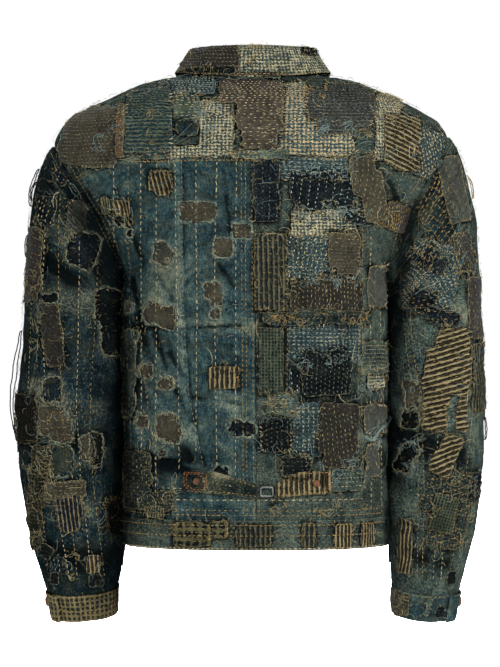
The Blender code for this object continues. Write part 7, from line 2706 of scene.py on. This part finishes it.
def sew_all_rows(threads, random):
    """The rows of the table, then the plain columns on the front and on the fronts of the arms."""
    front_ends = [[(x, z) for z in FRONT_ROW_SPAN] for x in FRONT_ROWS]
    rows = ROWS + [Row("front", "thread_cream", 5.2, 8.2, 0, ends) for ends in front_ends]
    for name in CHART_CLOTHS:
        sew_rows(threads[name], [row for row in rows if row.chart == name], random)
    for name in ("arm_front_left", "arm_front_right"):
        for turn in ARM_FRONT_TURNS:
            ends = (turn, ARM_FRONT_TOP, turn, ARM_SPAN[1])
            sew_path(threads[name], name, "thread_cream", ends, 4.8, 7.6, random)


def lay_loose_threads(hairs, random):
    """The tangles, the cords, the rope and the fuzz."""
    for row in TANGLES:
        tangle(hairs[row[0]], row, random)
    for row in CORDS:
        cord(hairs[row[0]], row)
    rope(hairs["back"], random)
    for name, count in FUZZ:
        fuzz(hairs[name], name, count, random)


def build_patches():
    """Every patch, hole, stitch and loose thread, gathered for each chart."""
    cloths = {name: Build() for name in CHART_CLOTHS}
    threads = {name: Build() for name in CHART_CLOTHS}
    hairs = {name: Build() for name in CHART_CLOTHS}
    lay_patches(cloths, threads)
    lay_holes(cloths, threads)
    random = np.random.default_rng(ROW_SEED)
    sew_all_rows(threads, random)
    lay_loose_threads(hairs, random)
    for name in CHART_CLOTHS:
        kinds = (("scraps_", cloths, PATCH_WALL), ("threads_", threads, 0.0), ("hairs_", hairs, 0.0))
        filled = [(word, made[name], wall) for word, made, wall in kinds if made[name].count]
        yield name, [build.emit(word + name, "denim", wall) for word, build, wall in filled]


def emit_patch(build, patch):
    """A patch that stands for a CAD node, as a sheet laid on the cloth under it."""
    points, faces, uv = build.points[0], build.faces[0], build.uv[0]
    piece = build.emit(patch.node + "_cloth", NODE_SLOTS[patch.cloth], PATCH_WALL)
    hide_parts(patch.node)
    middle = points.mean(axis=0)
    width, length = np.ptp(uv, axis=0)
    carrier = carrier_of(patch.chart, middle[0], middle[2])
    declare_cut(piece, width, length, mesh_area(points, faces), [carrier + "_cloth"])


def dress_metal():
    """The CAD's own buttons, rivets and buckle, in their metals."""
    for name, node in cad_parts.items():
        if name.startswith(METAL_NAMES):
            node.data.materials.clear()
            node.data.materials.append(look("steel" if name == "buckle" else "copper"))


def declare_bases(bases, carried):
    """Works out the flat size of each base cloth, with the scraps and threads that it carries; nothing is
    declared.
    """
    for row in BASES:
        name, surface = row[:2]
        flat_grid = surface(*FLAT_STEPS).reshape(FLAT_COUNT, FLAT_COUNT, 3)
        cut_area = mesh_area(flat_grid.reshape(-1, 3), grid_faces(FLAT_COUNT, FLAT_COUNT))
        declare_cut(bases[name], longest(flat_grid), longest(flat_grid.swapaxes(0, 1)), cut_area,
                    NEIGHBOURS.get(name, ["yoke_cloth"]), carried.get(name, ()))


def build_jacket():
    dress_metal()
    bases = build_bases()
    carried = {CARRIERS[name]: [] for name in CHART_CLOTHS}
    for name, parts in build_patches():
        carried[CARRIERS[name]] += parts
    declare_bases(bases, carried)


build_jacket()


# ---------------------------------------------------------------- stage, lights, camera
FLOOR_Z = -0.80
VIEW_DISTANCE = 3.4
VIEW_Z = -0.323
VIEW_HEIGHT = 0.858
SENSOR = 36.0
FLOOR_RADIUS = 14
FLOOR_SIDES = 96
PAPER_WHITE = 0.99
# The lights on the back: name, place, size and power. The front has the same, turned half round.
LIGHTS = [
    ("key", (-1.8, 2.9, 1.9), 1.3, 1520),
    ("fill", (1.5, 3.6, 0.2), 1.8, 220),
]
LIGHT_AIM = (0, 0, -0.3)


def area_light(name, place, aim, size, power):
    data = bpy.data.lights.new(name, "AREA")
    data.shape = "DISK"
    data.size = size
    data.energy = power
    lamp = bpy.data.objects.new(name, data)
    lamp.location = place
    lamp.rotation_euler = (Vector(aim) - Vector(place)).to_track_quat("-Z", "Y").to_euler()
    bpy.context.scene.collection.objects.link(lamp)


def build_stage():
    mesh = bpy.data.meshes.new("floor")
    turn = np.linspace(0, 2 * math.pi, FLOOR_SIDES + 1)[:-1]
    rim = [(FLOOR_RADIUS * math.cos(a), FLOOR_RADIUS * math.sin(a), FLOOR_Z) for a in turn]
    mesh.from_pydata(rim, [], [range(len(rim))])
    floor = bpy.data.objects.new("floor", mesh)
    bpy.context.scene.collection.objects.link(floor)
    material = bpy.data.materials.new("floor_paper")
    material.use_nodes = True
    shader = material.node_tree.nodes["Principled BSDF"]
    shader.inputs["Base Color"].default_value = (PAPER_WHITE, PAPER_WHITE, PAPER_WHITE, 1)
    shader.inputs["Roughness"].default_value = 1.0
    shader.inputs["Specular IOR Level"].default_value = 0.0
    mesh.materials.append(material)


def build_lights():
    world = bpy.data.worlds.new("studio")
    bpy.context.scene.world = world
    world.use_nodes = True
    sky = world.node_tree.nodes["Background"]
    sky.inputs["Color"].default_value = (1.0, 1.0, 1.0, 1)
    sky.inputs["Strength"].default_value = 1.0
    for side in (1, -1):
        for name, (x, y, z), size, power in LIGHTS:
            area_light(name, (x * side, y * side, z), LIGHT_AIM, size, power)


def build_camera():
    data = bpy.data.cameras.new("camera")
    data.sensor_width = SENSOR
    data.lens = SENSOR * VIEW_DISTANCE / VIEW_HEIGHT
    camera = bpy.data.objects.new("camera", data)
    camera.location = (0, VIEW_DISTANCE, VIEW_Z)
    camera.rotation_euler = (math.pi / 2, 0, math.pi)
    bpy.context.scene.collection.objects.link(camera)
    bpy.context.scene.camera = camera


build_stage()
build_lights()
build_camera()
bpy.context.scene.view_settings.view_transform = "Standard"
